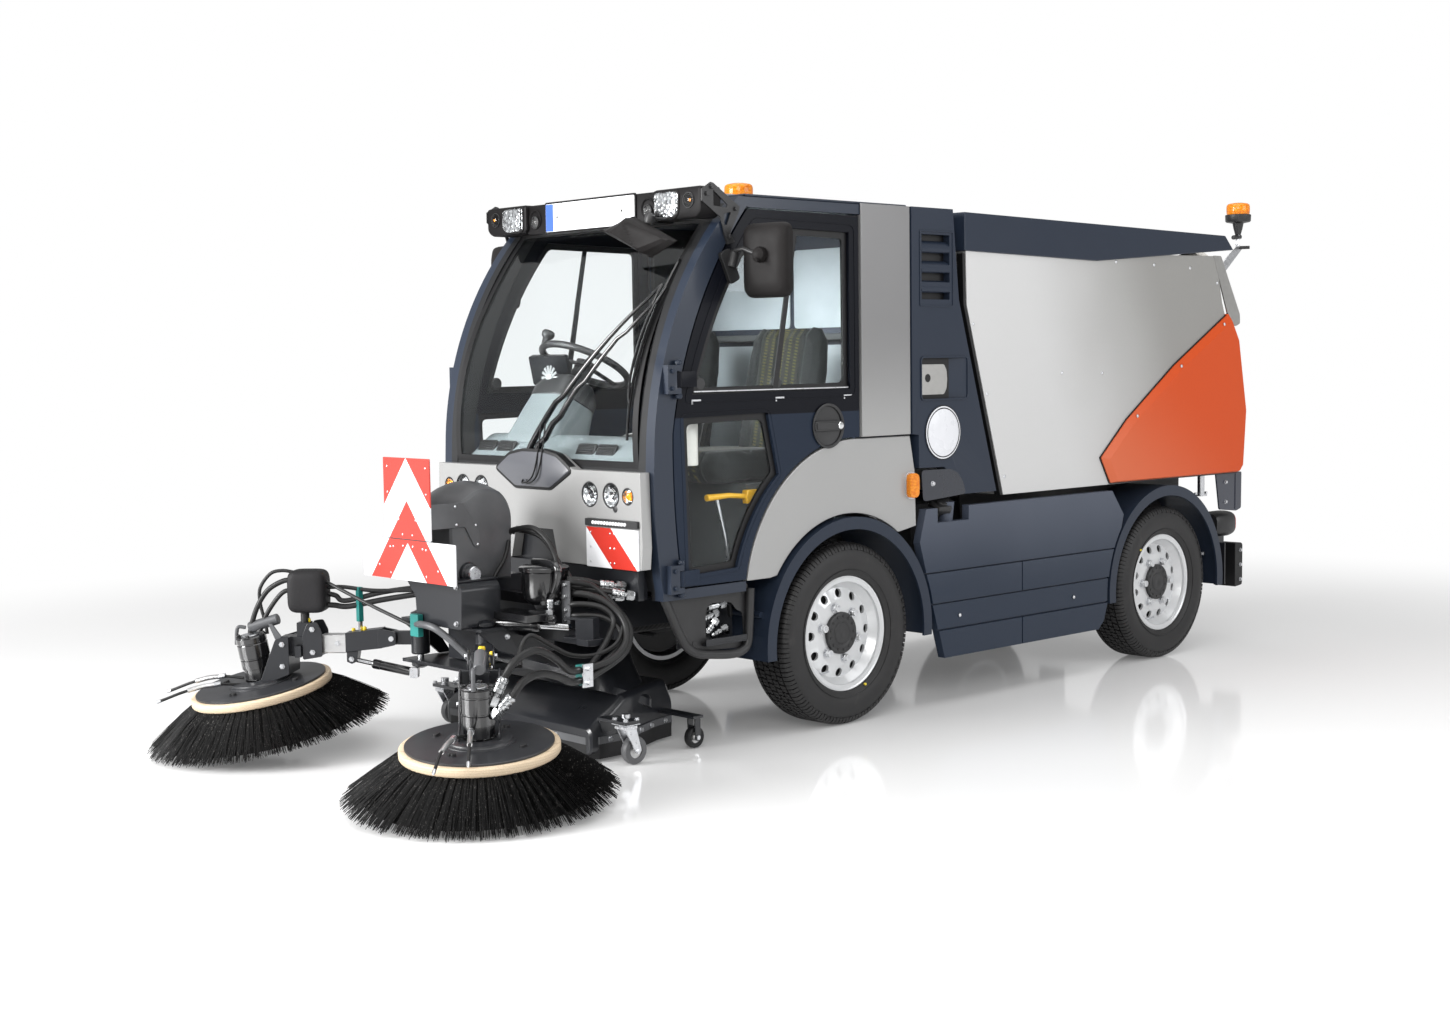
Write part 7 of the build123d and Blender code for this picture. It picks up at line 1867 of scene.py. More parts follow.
# Painted shade: the niche is a flat plate in dark paint that stands for the shaded recess over the filler cap.
niche = lifted([(0.412, 0.959), (0.591, 0.957), (0.637, 0.940), (0.669, 0.902), (0.689, 0.851), (0.422, 0.8345)],
               PILLAR_X - 0.001, PILLAR_X + 0.0012, 0.020)
pocket_shade_floor = lifted(box_of((0.414, 0.606), (1.238, 1.403)), POCKET_X, POCKET_X + 0.0010, 0.012)
PLATE_Y, PLATE_Z = (0.414, 0.592), (1.256, 1.376)
bulge = [(PLATE_Y[0], PLATE_Z[0]), (PLATE_Y[1] - 0.020, PLATE_Z[0]), (PLATE_Y[1] - 0.004, 1.280),
         (PLATE_Y[1], 1.316), (PLATE_Y[1] - 0.004, 1.352), (PLATE_Y[1] - 0.020, PLATE_Z[1]), (PLATE_Y[0], PLATE_Z[1])]
pocket_plate = slab(rounded(bulge, 0.008, 4), at(POCKET_X + 0.0012, 0, 0), (0, 1, 0), (0, 0, 1), (0.0030, 0, 0))
pocket_hole = turned([(0.0165, 0), (0.0165, 0.0004)], at(POCKET_X + 0.0044, 0.472, 1.322), (1, 0, 0), 24)
SIGN = at(0.6382, 0.543, 1.104)
sign_disc = turned([(0.1050, 0), (0.1050, 0.0012), (0.1040, 0.0018)], SIGN, (1, 0, 0), 64)
sign_ring = turned([(0.0950, 0.0005), (0.0950, 0.0022), (0.0995, 0.0022), (0.0995, 0.0005)], SIGN, (1, 0, 0), 64, closed=True)
sign_back = turned([(0.1085, -0.001), (0.1085, 0.0006)], SIGN, (1, 0, 0), 64)
marker_lens = lifted(box_of((0.334, 0.390), (0.853, 0.951)), 0.6225, 0.6480, 0.028)
marker_base = lifted(box_of((0.330, 0.394), (0.848, 0.956)), 0.6205, 0.6262, 0.030)
niche_bolt = turned(DISC_BOLT, at(PILLAR_X + 0.001, 0.478, 0.903), (1, 0, 0), 12)
SKIRT_BUTTONS = ((0.642, 0.359), (1.416, 0.356))
buttons = copies(rivet_head, [at(PANEL_SIDE_X, *place) for place in SKIRT_BUTTONS])
filler_way = (0.55, -0.25, 0.80)
filler_cap = joined(turned([(0.040, -0.034), (0.048, -0.012), (0.056, 0.0), (0.056, 0.016), (0.048, 0.026)],
                           at(0.584, 0.585, 0.806), filler_way, 6),
                    turned([(0.030, 0.022), (0.030, 0.031), (0.026, 0.035), (0.008, 0.036)],
                           at(0.584, 0.585, 0.806), filler_way, 24))
# Dark paint for the niche plate: painted shade.
niche_shade_paint = painted("niche_shade_paint", (0.010, 0.013, 0.022), 0.28)
sign_white = moulded("blank_sign_white", (0.66, 0.67, 0.70), 0.28, 500.0, 0.00005, 0.04)
for side, mirror_it in (("left", False), ("right", True)):
    for name, part, finish, slot, edge in (
            ("pillar_trim", pillar_trim, slate_paint, "dark_paint", 0.0014),
            ("pillar_dark", joined(louvre_shade_plate, pocket_shade_floor, pocket_hole), black_rubber, "black_plastic", None),
            ("pillar_niche", niche, niche_shade_paint, "dark_paint", 0.0008),
            ("pillar_plate", pocket_plate, flange_grey, "steel", 0.0004),
            ("blank_sign", sign_disc, sign_white, "grey_paint", None),
            ("sign_edge", joined(sign_ring, sign_back), black_rubber, "black_plastic", None),
            ("marker_base", marker_base, zinc, "steel", 0.001),
            ("marker_lens", marker_lens, amber, "lamp_lens", 0.006),
            ("side_bolts", joined(niche_bolt, buttons), zinc, "steel", None),
            ("filler_cap", filler_cap, satin_black, "black_plastic", 0.003)):
        piece(side + "_" + name, mirrored(part) if mirror_it else part, finish, "chassis", slot, rounding=edge)

# ---- cab roof panel ----------------------------------------------------------------------------------------
# A silver-grey sheet over the cab roof, set in a little from the side rails, with a rolled front edge.
ROOF_TOP_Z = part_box("cab_roof")[1].z
roof_sheet = stacked([(0.99, 0.66, 0.05, -0.004), (0.99, 0.66, 0.05, 0.004), (0.97, 0.64, 0.045, 0.010)],
                     at(0, -0.245, ROOF_TOP_Z), (1, 0, 0), (0, 1, 0), up)
piece("cab_roof_sheet", roof_sheet, silver_paint, "chassis", "grey_paint")

# ---- rear corner fittings ----------------------------------------------------------------------------------
# Behind each rear wheel: a bright tipping post, a navy folded bracket with two bolts, an oval lamp in a black
# moulded housing, and a rubber flap bolted behind the arch.
POST = ((2.464, 2.541), (0.728, 0.828))
post_part = joined(turned([(0.0165, 0), (0.0165, 0.100)], at(0.585, 2.500, 0.728), up, 24),
                   turned([(0.0290, -0.004), (0.0290, 0.004)], at(0.585, 2.500, 0.734), up, 24),
                   copies(turned(DISC_BOLT, (0, 0, 0), up, 6), moved([(0.585, 2.455, 0.738), (0.585, 2.545, 0.738)])))
BRACKET_OUT = [(2.640, 0.655), (2.790, 0.640), (2.833, 0.652), (2.835, 0.829), (2.607, 0.829)]
bracket_part = joined(slab(rounded(BRACKET_OUT, 0.010, 4), at(0.592, 0, 0), depth=(0.008, 0, 0), **SIDE_VIEW),
                      block(at(0.568, 2.827, 0.655), at(0.5985, 2.835, 0.828)),
                      block(at(0.5995, 2.776, 0.650), at(0.6030, 2.782, 0.822)))
bracket_bolts = copies(turned(DISC_BOLT, (0, 0, 0), (1, 0, 0), 6), moved([(0.600, 2.690, 0.785), (0.600, 2.690, 0.690)]))
lamp_shape = oblong(0.120, 0.124, 0.046, 8)
lamp_housing = stacked([(0.100, 0.104, 0.040, 0), (0.120, 0.124, 0.048, 0.020), (0.120, 0.124, 0.050, 0.130),
                        (0.110, 0.114, 0.046, 0.158)], at(0.500, 2.700, 0.572), (1, 0, 0), up, (0, 1, 0))
rear_lens = stacked([(0.108, 0.112, 0.046, 0), (0.106, 0.110, 0.046, 0.010), (0.090, 0.094, 0.040, 0.0145)],
                    at(0.500, 2.8555, 0.572), (1, 0, 0), up, (0, 1, 0))
FLAP = [(2.800, 0.266), (2.862, 0.272), (2.867, 0.290), (2.867, 0.470), (2.855, 0.480), (2.800, 0.480)]
flap = joined(slab(rounded(FLAP, 0.006, 3), at(0.470, 0, 0), depth=(0.120, 0, 0), **SIDE_VIEW))
flap_bolts = copies(turned(DISC_BOLT, (0, 0, 0), (1, 0, 0), 6), moved([(0.590, 2.846, z) for z in (0.300, 0.372, 0.444)]))
arch_bolt = copies(turned(DISC_BOLT, (0, 0, 0), (1, -0.2, 0), 12), moved([(0.560, 2.560, 0.448)]))
navy_paint = painted("navy_bracket_paint", (0.014, 0.018, 0.034), 0.34)
for name, part, finish, body, slot, edge in (
        ("rear_posts", post_part, zinc, "chassis", "steel", None),
        ("rear_brackets", bracket_part, navy_paint, "hopper", "dark_paint", 0.001),
        ("rear_bracket_bolts", bracket_bolts, zinc, "hopper", "steel", None),
        ("rear_bolts", joined(flap_bolts, arch_bolt), zinc, "chassis", "steel", None),
        ("rear_lamp_housings", lamp_housing, satin_black, "chassis", "black_plastic", None),
        ("rear_lamp_lenses", rear_lens, red_lens, "chassis", "lamp_lens", None),
        ("mud_flaps", flap, black_rubber, "chassis", "rubber", 0.0015)):
    piece(name, joined(part, mirrored(part)), finish, body, slot, rounding=edge)

# ---- seats ---------------------------------------------------------------------------------------------------
# Two sprung seats with a crowned cushion and a tapered back, in a charcoal twill whose middle panel is striped
# with dots of yellow-green. Two sewn channels part the middle panel from the bolsters.
SEAT_X, SEAT_HALF_W = 0.305, 0.230
CHANNEL_OFF, CHANNEL_HALF_W, CHANNEL_DEPTH = 0.118, 0.006, 0.006
STUFFING_PRESSURE, STUFFING_FRAMES, STUFFING_VOXEL = 4.0, 20, 0.008


def striped_twill():
    """Charcoal twill: fine diagonal ribs all over, and within the middle panel upright stripes of bright dots."""
    finish = Finish("striped_twill", sheen_weight=0.1, specular_ior_level=0.2)
    x, y, z = (finish.axis(letter) for letter in "XYZ")
    off = (x.maths("ABSOLUTE") - SEAT_X).maths("ABSOLUTE")
    rib = ((x + y * 0.7 + z) * 700.0).maths("SINE") * 0.5 + 0.5
    stripe = ((off * 170.0).maths("SINE") > 0.1) * (off < 0.105)
    dots = stripe * (((z + y) * 430.0 + x * 90.0).maths("SINE") > 0.1)
    cloth = finish.mix(rib, (0.0035, 0.0048, 0.0055), (0.015, 0.018, 0.018))
    finish.feed(base_color=finish.mix(dots * 0.85, cloth, (0.070, 0.061, 0.010)), roughness=0.85 - rib * 0.1,
                normal=finish.bump(rib, 0.0006, 0.6))
    return finish.material


def stuffed(part, cap, low, high):
    """A closed form remeshed into even quads and blown up like a cushion: cloth with air pressure in it and no
    gravity, each point kept within cap of its start and inside the box from low to high."""
    form = piece("stuffing_form", part, seat_twill, None)
    remesh = form.modifiers.new("even", "REMESH")
    remesh.mode, remesh.voxel_size = "VOXEL", STUFFING_VOXEL
    graph = bpy.context.evaluated_depsgraph_get()
    even = bpy.data.meshes.new_from_object(form.evaluated_get(graph))
    form.modifiers.clear()
    form.data = even
    start = np.empty(len(even.vertices) * 3, np.float32)
    even.vertices.foreach_get("co", start)
    end = start.copy()
    cloth = form.modifiers.new("air", "CLOTH")
    cloth.settings.use_pressure = True
    cloth.settings.uniform_pressure_force = STUFFING_PRESSURE
    cloth.settings.effector_weights.gravity = 0.0
    for step in range(1, STUFFING_FRAMES + 1):
        bpy.context.scene.frame_set(step)
    graph = bpy.context.evaluated_depsgraph_get()
    form.evaluated_get(graph).data.vertices.foreach_get("co", end)
    bpy.context.scene.frame_set(1)
    moves = (end - start).reshape(-1, 3)
    length = np.linalg.norm(moves, axis=1, keepdims=True)
    normals = np.empty(len(start), np.float32)
    even.vertex_normals.foreach_get("vector", normals)
    points = start.reshape(-1, 3) + moves * np.minimum(1, cap / np.maximum(length, 1e-9))
    off = np.abs(np.abs(points[:, :1] - SEAT_X) - CHANNEL_OFF)
    sewn = CHANNEL_DEPTH * np.exp(-(off / CHANNEL_HALF_W) ** 2)
    points = np.clip(points - normals.reshape(-1, 3) * sewn, low, high)
    faces = np.array([face.vertices[:] for face in even.polygons], int)
    bpy.data.objects.remove(form)
    return points.astype(float), [faces]


seat_twill = striped_twill()
cushion_form = stacked([(0.405, 0.40, 0.05, 0.0), (0.425, 0.43, 0.06, 0.030), (0.425, 0.43, 0.06, 0.065),
                        (0.385, 0.39, 0.05, 0.090)], at(SEAT_X, -0.382, 0.966), (1, 0, 0), (0, 1, 0), (0, 0, 1))
lean = np.array((0.0, 0.115, 0.61)) / 0.6207
face_way = np.array((0.0, lean[2], -lean[1]))
back_form = stacked([(0.400, 0.060, 0.028, 0.0), (0.430, 0.066, 0.030, 0.10), (0.430, 0.066, 0.030, 0.40),
                     (0.400, 0.060, 0.028, 0.52), (0.330, 0.046, 0.020, 0.570)],
                    at(SEAT_X, -0.078, 0.972), (1, 0, 0), face_way, lean)
cushion = stuffed(cushion_form, 0.016, at(SEAT_X - SEAT_HALF_W, -0.618, 0.9515), at(SEAT_X + SEAT_HALF_W, -0.142, 1.074))
backrest = stuffed(back_form, 0.015, at(SEAT_X - SEAT_HALF_W, -0.138, 0.9515), at(SEAT_X + SEAT_HALF_W, 0.089, 1.559))
for name, part in (("seat_cushions", cushion), ("seat_backrests", backrest)):
    made = piece(name, joined(part, mirrored(part)), seat_twill, "chassis", "seat_cloth", angle=180)
    smoothing = made.modifiers.new("smoothing", "SUBSURF")
    smoothing.levels = smoothing.render_levels = 1
    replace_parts(made, "seats")
buckle = joined(*[joined(slab([(-0.010, 0), (0.010, 0), (0.012, 0.100), (-0.012, 0.100)],
                              at(x, -0.250, 1.060), (0, 1, 0), (0, 0.3, 1), (0.006, 0, 0)),
                         stacked([(0.020, 0.030, 0.004, 0.0), (0.020, 0.034, 0.005, 0.050)],
                                 at(x + 0.003, -0.220, 1.155), (1, 0, 0), (0, 1, 0), (0, 0.3, 1)))
                  for x in (0.062, -0.068)])
piece("seat_belt_buckles", buckle, satin_black, "chassis", "black_plastic", rounding=0.0008)

# ---- dashboard and cab lining ----------------------------------------------------------------------------------
# The dashboard is a grey-green moulding with four black air outlets. A tall housing of the same plastic carries
# the steering column under a dark hood, with a screen and a small fan on it, and pale panels line the back wall.
def lined_paint():
    """Body paint outside, and near-black trim wherever the frame faces the cab."""
    finish = Finish("cab_frame_paint", coat_roughness=0.12, specular_ior_level=0.36)
    x, y, z = (finish.axis(letter) for letter in "XYZ")
    inside = (x.maths("ABSOLUTE") < 0.578) * (z < ROOF_TOP_Z - 0.035) * (y < axle_y + 0.340)
    grain = finish.noise(160.0, 2.0)
    drift = finish.noise(1.3, 2.0)
    outer = finish.mix(drift, tuple(c * 0.93 for c in SLATE), tuple(c * 1.07 for c in SLATE))
    finish.feed(base_color=finish.mix(inside, outer, (0.0075, 0.008, 0.009)), roughness=0.36 + inside * 0.2,
                coat_weight=0.16 - inside * 0.15, normal=finish.bump(grain, 0.00012, 0.35))
    return finish.material


frame_paint = lined_paint()
for made in bpy.data.objects:
    if made.name in ("cab_frame_skin", "cab_roof_skin"):
        dress(made, frame_paint)
dash_grey = moulded("dash_grey_green", (0.130, 0.152, 0.158), 0.52, 900.0, 0.0002, 0.08)
cabin_grey = moulded("cabin_grey", (0.060, 0.066, 0.068), 0.62, 500.0, 0.0002, 0.15)
wall_pale = moulded("pale_wall_lining", (0.40, 0.45, 0.475), 0.55, 700.0, 0.0001, 0.08)
refinish("cab_floor", cabin_grey)
softened("dashboard", dash_grey, 0.012, slot="cabin_plastic")
DASH_CAP = outline([(-0.955, 1.022), (-0.950, 1.036), (-0.935, 1.052), (-0.860, 1.112), ((-0.835, 1.127), (-0.790, 1.129)),
                    ((-0.757, 1.123), (-0.745, 1.096)), (-0.745, 1.015), (-0.930, 1.012)], 5)[0]
DASH_HALF_X = 0.515
dash_cap = skin(np.stack([at(0, 0, 0) + np.insert(inset(DASH_CAP, draw), 0, x, axis=1) for x, draw in (
    (-DASH_HALF_X, 0.012), (-DASH_HALF_X + 0.010, 0.001), (DASH_HALF_X - 0.010, 0.001), (DASH_HALF_X, 0.012))]))
piece("dash_cap", dash_cap, dash_grey, "chassis", "cabin_plastic", angle=25)
DASH_RISE = math.degrees(math.atan2(1.112 - 1.052, 0.935 - 0.860))
softened("steering_wheel", satin_black, 0.0020, angle=50, slot="black_plastic")
housing_way = np.array((0.0, 0.47, 0.88))
housing = stacked([(0.36, 0.20, 0.06, 0.0), (0.32, 0.21, 0.07, 0.10), (0.27, 0.20, 0.07, 0.22), (0.235, 0.19, 0.07, 0.30)],
                  at(-0.255, -0.815, 0.985), (1, 0, 0), (0, 0.88, -0.47), housing_way)
hood = stacked([(0.245, 0.200, 0.075, 0.290), (0.240, 0.195, 0.075, 0.330), (0.180, 0.150, 0.06, 0.385),
                (0.100, 0.090, 0.03, 0.400)], at(-0.255, -0.815, 0.985), (1, 0, 0), (0, 0.88, -0.47), housing_way)
bellows = hose([at(-0.28, -0.665, 1.170 + 0.0 * k) + k * 0.010 * housing_way for k in range(25)],
               0.036 + 0.004 * np.sin(np.arange(25) * math.pi / 2), 20, straight=True)
vent = joined(stacked([(0.105, 0.050, 0.010, -0.004), (0.105, 0.050, 0.010, 0.004), (0.098, 0.044, 0.008, 0.006)],
                      (0, 0, 0), (1, 0, 0), (0, 0.98, 0.19), (0, -0.19, 0.98)),
              *[slab([(-0.045, -0.0012), (0.045, -0.0012), (0.045, 0.0012), (-0.045, 0.0012)], (0, y, 0.0065 + y * 0.19),
                     (1, 0, 0), (0, 1, 0.2), (0, 0, 0.003)) for y in (-0.014, -0.005, 0.004, 0.013)])
VENTS_X = (-0.445, -0.325, 0.160, 0.275)
vents = copies(vent, moved([(x, -0.897, 1.084) for x in VENTS_X]), [turn(0, DASH_RISE + 11)] * len(VENTS_X))
screen = joined(stacked([(0.170, 0.120, 0.012, 0.0), (0.170, 0.120, 0.012, 0.022), (0.160, 0.110, 0.010, 0.030)],
                        at(-0.335, -0.675, 1.372), (0.94, 0.34, 0), (0.1, -0.28, 0.95), (-0.32, 0.90, 0.28)),
                hose([at(-0.300, -0.675, 1.320), at(-0.285, -0.680, 1.260)], 0.012, 10, straight=True))
fan_places = [at(-0.283, -0.715, 1.345)]
fan_spin = [turn(1, 360 * k / 14) for k in range(14)]
fan = joined(copies(block((0.012, -0.002, -0.005), (0.048, 0.002, 0.005)), np.zeros((14, 3)), fan_spin),
             turned([(0.018, -0.012), (0.020, 0.004), (0.010, 0.010)], (0, 0, 0), (0, -1, 0), 20))
fan = copies(fan, fan_places)
knob_axis = np.array((0.0, 0.469, 0.883))
knob_at = at(-0.28, -0.54, 1.392) + 0.178 * (np.array((-0.62, 0, 0)) + 0.785 * np.array((0, 0.883, -0.469)) * -1)
knob = turned([(0.0100, 0.0), (0.0120, 0.020), (0.0150, 0.045), (0.0240, 0.055), (0.0265, 0.066), (0.0230, 0.076),
               (0.0100, 0.080)], knob_at, knob_axis, 24)
wall_panels = joined(*[stacked([(0.50, height, 0.02, 0), (0.50, height, 0.02, 0.006), (0.488, height - 0.012, 0.016, 0.008)],
                               at(x, 0.3435, z), (1, 0, 0), (0, 0, 1), (0, -1, 0))
                       for x in (-0.262, 0.262) for z, height in ((1.690, 0.320), (1.200, 0.520))])
ledge = block(at(-0.520, 0.280, 1.478), at(0.520, 0.3445, 1.506))
jack = joined(turned([(0.050, 0), (0.052, 0.002), (0.052, 0.150), (0.040, 0.158), (0.018, 0.160), (0.018, 0.175)],
                     at(0.490, -0.722, 1.030), up, 28))
lever_handle = joined(stacked([(0.030, 0.060, 0.008, 0), (0.034, 0.070, 0.010, 0.030), (0.030, 0.060, 0.008, 0.050)],
                              at(0.552, -0.450, 0.880), (1, 0, 0), (0, 1, 0), (0, 0, 1)),
                      hose([at(0.552, -0.460, 0.905), at(0.552, -0.560, 0.915), at(0.552, -0.672, 0.912)],
                           (0.010, 0.010, 0.013), 10, straight=True))
lever_rods = joined(hose([at(0.552, -0.450, 0.885), at(0.550, -0.430, 0.760), at(0.545, -0.420, 0.622)], 0.008, 10),
                    hose([at(0.530, -0.600, 0.900), at(0.530, -0.560, 0.760), at(0.530, -0.540, 0.622)], 0.007, 10))
tread_bar = slab(oblong(0.030, 0.006, 0.003, 3), (0, 0, 0), (1, 0, 0), (0, 1, 0), (0, 0, 0.0018))
rows = [(0.36 + 0.034 * i, -0.84 + 0.034 * k, (i + k) % 2) for i in range(6) for k in range(12)]
plate = joined(block(at(0.335, -0.860, 0.6155), at(0.560, -0.462, 0.6185)),
               *[copies(tread_bar, [at(x, y, 0.6180) for x, y, way in rows if way == turned_way],
                        [turn(2, 45 + 90 * turned_way)] * sum(row[2] == turned_way for row in rows))
                 for turned_way in (0, 1)])
yellow_plastic = moulded("yellow_lever", (0.62, 0.33, 0.006), 0.35, 400.0, 0.0001, 0.06)
screen_glass = moulded("screen_face", (0.005, 0.006, 0.008), 0.30, 500.0, 0.00002, 0.05, specular_ior_level=0.2)
fan_grey = moulded("fan_grey", (0.30, 0.31, 0.31), 0.42, 400.0)
for name, part, finish, body, slot, edge in (
        ("column_housing", housing, dash_grey, "chassis", "cabin_plastic", 0.010),
        ("column_hood", joined(hood, bellows), satin_black, "chassis", "black_plastic", 0.006),
        ("dash_air_outlets", vents, black_rubber, "chassis", "black_plastic", None),
        ("dash_screen", screen, screen_glass, "chassis", "black_plastic", 0.001),
        ("dash_fan", fan, fan_grey, "chassis", "cabin_plastic", 0.0008),
        ("steering_knob", knob, satin_black, "steering_wheel", "black_plastic", None),
        ("back_wall_lining", wall_panels, wall_pale, "chassis", "cabin_plastic", None),
        ("back_wall_ledge", ledge, cabin_grey, "chassis", "cabin_plastic", 0.004),
        ("washer_bottle", jack, white_hose, "chassis", "cabin_plastic", 0.004),
        ("park_lever", lever_handle, yellow_plastic, "chassis", "cabin_plastic", 0.003),
        ("lever_rods", lever_rods, zinc, "chassis", "steel", None),
        ("tread_plate", plate, zinc, "chassis", "steel", None)):
    piece(name, part, finish, body, slot, rounding=edge)

# ---- windscreen wipers -----------------------------------------------------------------------------------------
# Two parallel black arms pivot above the badge shield and carry one long blade across the screen. Thin washer
# tubes loop from the bonnet to the arms.
def off_screen(x, z, away):
    """Point in front of the windscreen at the height z, the distance away along its outward normal."""
    near = np.argmin(np.abs(screen_line[:, 1] - z))
    y, height = screen_line[near] + screen_out[near] * away
    return at(x, y, height)


ARMS = (((-0.060, 1.064), (0.521, 1.650)), ((-0.012, 1.054), (0.512, 1.585)))
arms = []
for foot, tip in ARMS:
    way = np.array(tip) - foot
    line = [off_screen(foot[0] + way[0] * t, foot[1] + way[1] * t, 0.040 - 0.012 * t) for t in np.linspace(0, 1, 14)]
    line[0] = at(foot[0], -1.004, foot[1])
    arms += [hose(line, np.linspace(0.0135, 0.0052, 14), 8, straight=True),
             turned([(0.019, 0), (0.021, 0.004), (0.021, 0.026), (0.014, 0.030)], at(foot[0], -0.990, foot[1]), (0, -1, 0.1), 20)]
blade_line = [off_screen(0.493 + 0.034 * t, 1.124 + 0.628 * t, 0.011) for t in np.linspace(0, 1, 26)]
bow_line = [off_screen(0.498 + 0.026 * t, 1.250 + 0.400 * t, 0.028 - 0.018 * (2 * t - 1) ** 4) for t in np.linspace(0, 1, 12)]
blade_parts = joined(hose(blade_line, 0.0055, 6, straight=True), hose(bow_line, 0.0050, 6, straight=True))
link = hose([off_screen(0.521, 1.650, 0.028), off_screen(0.519, 1.618, 0.031), off_screen(0.512, 1.585, 0.028)], 0.006, 8)
tubes = joined(*[hose([at(x, -1.000, 0.998), at(x + 0.030, -1.045, 0.965), at(x + 0.085, -1.040, 0.990),
                       at(x + 0.110, -1.030, 1.080), off_screen(x + 0.120, 1.180, 0.045)], 0.0032, 8)
                 for x in (-0.070, -0.045)])
piece("wiper_arms", joined(*arms, blade_parts, link), gloss_black, "chassis", "black_plastic", angle=50)
piece("washer_tubes", tubes, black_rubber, "chassis", "rubber")
# ---- chassis, axles and bumper ---------------------------------------------------------------------------------
# Welded black frame with its cross members, beam axles, cast steering knuckles and the tilt cylinders. Dark
# panels close the space under the hopper, and the engine block stands behind the cab.
casting_grey = moulded("engine_casting", (0.030, 0.031, 0.033), 0.50, 320.0, 0.0004)
for node, finish, width in (
        ("chassis_rails", carrier_black, 0.003), ("cross_members", carrier_black, 0.003),
        ("front_axle", carrier_black, 0.003), ("rear_axle", carrier_black, 0.003), ("bumper", carrier_black, 0.004),
        ("engine_block", casting_grey, 0.006), ("left_knuckle", casting_grey, 0.0025),
        ("right_knuckle", casting_grey, 0.0025), ("tilt_cylinders", gloss_black, 0.002)):
    softened(node, finish, width, slot="cast" if finish is casting_grey else "chassis_black")
refinish("tilt_rods", chrome)
INNER_PANEL = [(0.950, 0.640), (2.600, 0.640), (2.600, 0.826), (0.935, 0.826)]
inner_panel = slab(rounded(INNER_PANEL, 0.010, 3), at(0.392, 0, 0), depth=(0.006, 0, 0), **SIDE_VIEW)
bumper_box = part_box("bumper")
bumper_bolts = copies(turned(DISC_BOLT, (0, 0, 0), FORWARD, 6),
                      [(x, bumper_box[0].y, bumper_box[1].z - 0.022) for x in (0.200, 0.330, 0.480)])
piece("inner_panels", joined(inner_panel, mirrored(inner_panel)), satin_black, "chassis", "chassis_black", rounding=0.001)
piece("bumper_bolts", joined(bumper_bolts, mirrored(bumper_bolts)), zinc, "chassis", "steel")

# ---- cab steps -------------------------------------------------------------------------------------------------
# Below each door a bent black tube frames a plate with a large opening. A tread stands in the opening, in front
# of the couplings of the cab's hydraulic lines.
STEP_X, STEP_TUBE_R = 0.596, 0.0165
STEP_LINE = [(-0.926, 0.590), (-0.880, 0.500), (-0.848, 0.440), (-0.815, 0.395), (-0.765, 0.366), (-0.690, 0.353),
             (-0.600, 0.344), (-0.545, 0.350), (-0.517, 0.375), (-0.508, 0.440), (-0.500, 0.575)]
step_tube = hose([at(STEP_X, *place) for place in STEP_LINE], STEP_TUBE_R, 20, 90)
STEP_PLATE = [(-0.905, 0.592), (-0.835, 0.425), (-0.800, 0.382), (-0.750, 0.372), (-0.530, 0.358), (-0.500, 0.592)]
STEP_HOLE = [(-0.712, 0.408), (-0.712, 0.510), (-0.690, 0.536), (-0.585, 0.532), (-0.560, 0.500), (-0.530, 0.490),
             (-0.522, 0.400)]
step_plate = with_holes(rounded(STEP_PLATE, 0.012, 4), (rounded(STEP_HOLE, 0.018, 5),), at(0.580, 0, 0),
                        depth=(0.004, 0, 0), **SIDE_VIEW)
step_tread = joined(block(at(0.500, -0.730, 0.386), at(0.606, -0.528, 0.392)),
                    block(at(0.600, -0.730, 0.392), at(0.606, -0.528, 0.410)),
                    block(at(0.500, -0.780, 0.372), at(0.504, -0.505, 0.592)))
step_screws = copies(turned(DISC_BOLT[:3], (0, 0, 0), (1, 0, 0), 20), moved([(0.584, -0.862, 0.566), (0.584, -0.768, 0.398),
                                                                          (0.584, -0.522, 0.562)]))
step_fittings = joined(*[crimp(start, end, 0.0105) for start, end in (
    ((0.560, -0.680, 0.520), (0.575, -0.605, 0.528)), ((0.555, -0.700, 0.480), (0.572, -0.640, 0.500)),
    ((0.560, -0.690, 0.425), (0.575, -0.650, 0.478)), ((0.555, -0.660, 0.412), (0.575, -0.600, 0.442)))])
step_hoses = joined(*[hose(moved(points), 0.0095, 10) for points in (
    [(0.560, -0.690, 0.500), (0.545, -0.730, 0.480), (0.520, -0.760, 0.430)],
    [(0.560, -0.600, 0.530), (0.545, -0.560, 0.520), (0.520, -0.530, 0.470)],
    [(0.560, -0.605, 0.445), (0.545, -0.570, 0.430), (0.515, -0.540, 0.410)])])
for name, part, finish, slot, edge in (
        ("step_frames", joined(step_tube, step_plate), satin_black, "chassis_black", 0.0008),
        ("step_treads", step_tread, carrier_black, "chassis_black", 0.001),
        ("step_screws", step_screws, satin_black, "steel", None),
        ("step_couplings", step_fittings, fitting_zinc, "steel", None),
        ("step_hoses", step_hoses, hose_rubber, "rubber", None)):
    piece(name, joined(part, mirrored(part)), finish, "chassis", slot, rounding=edge)

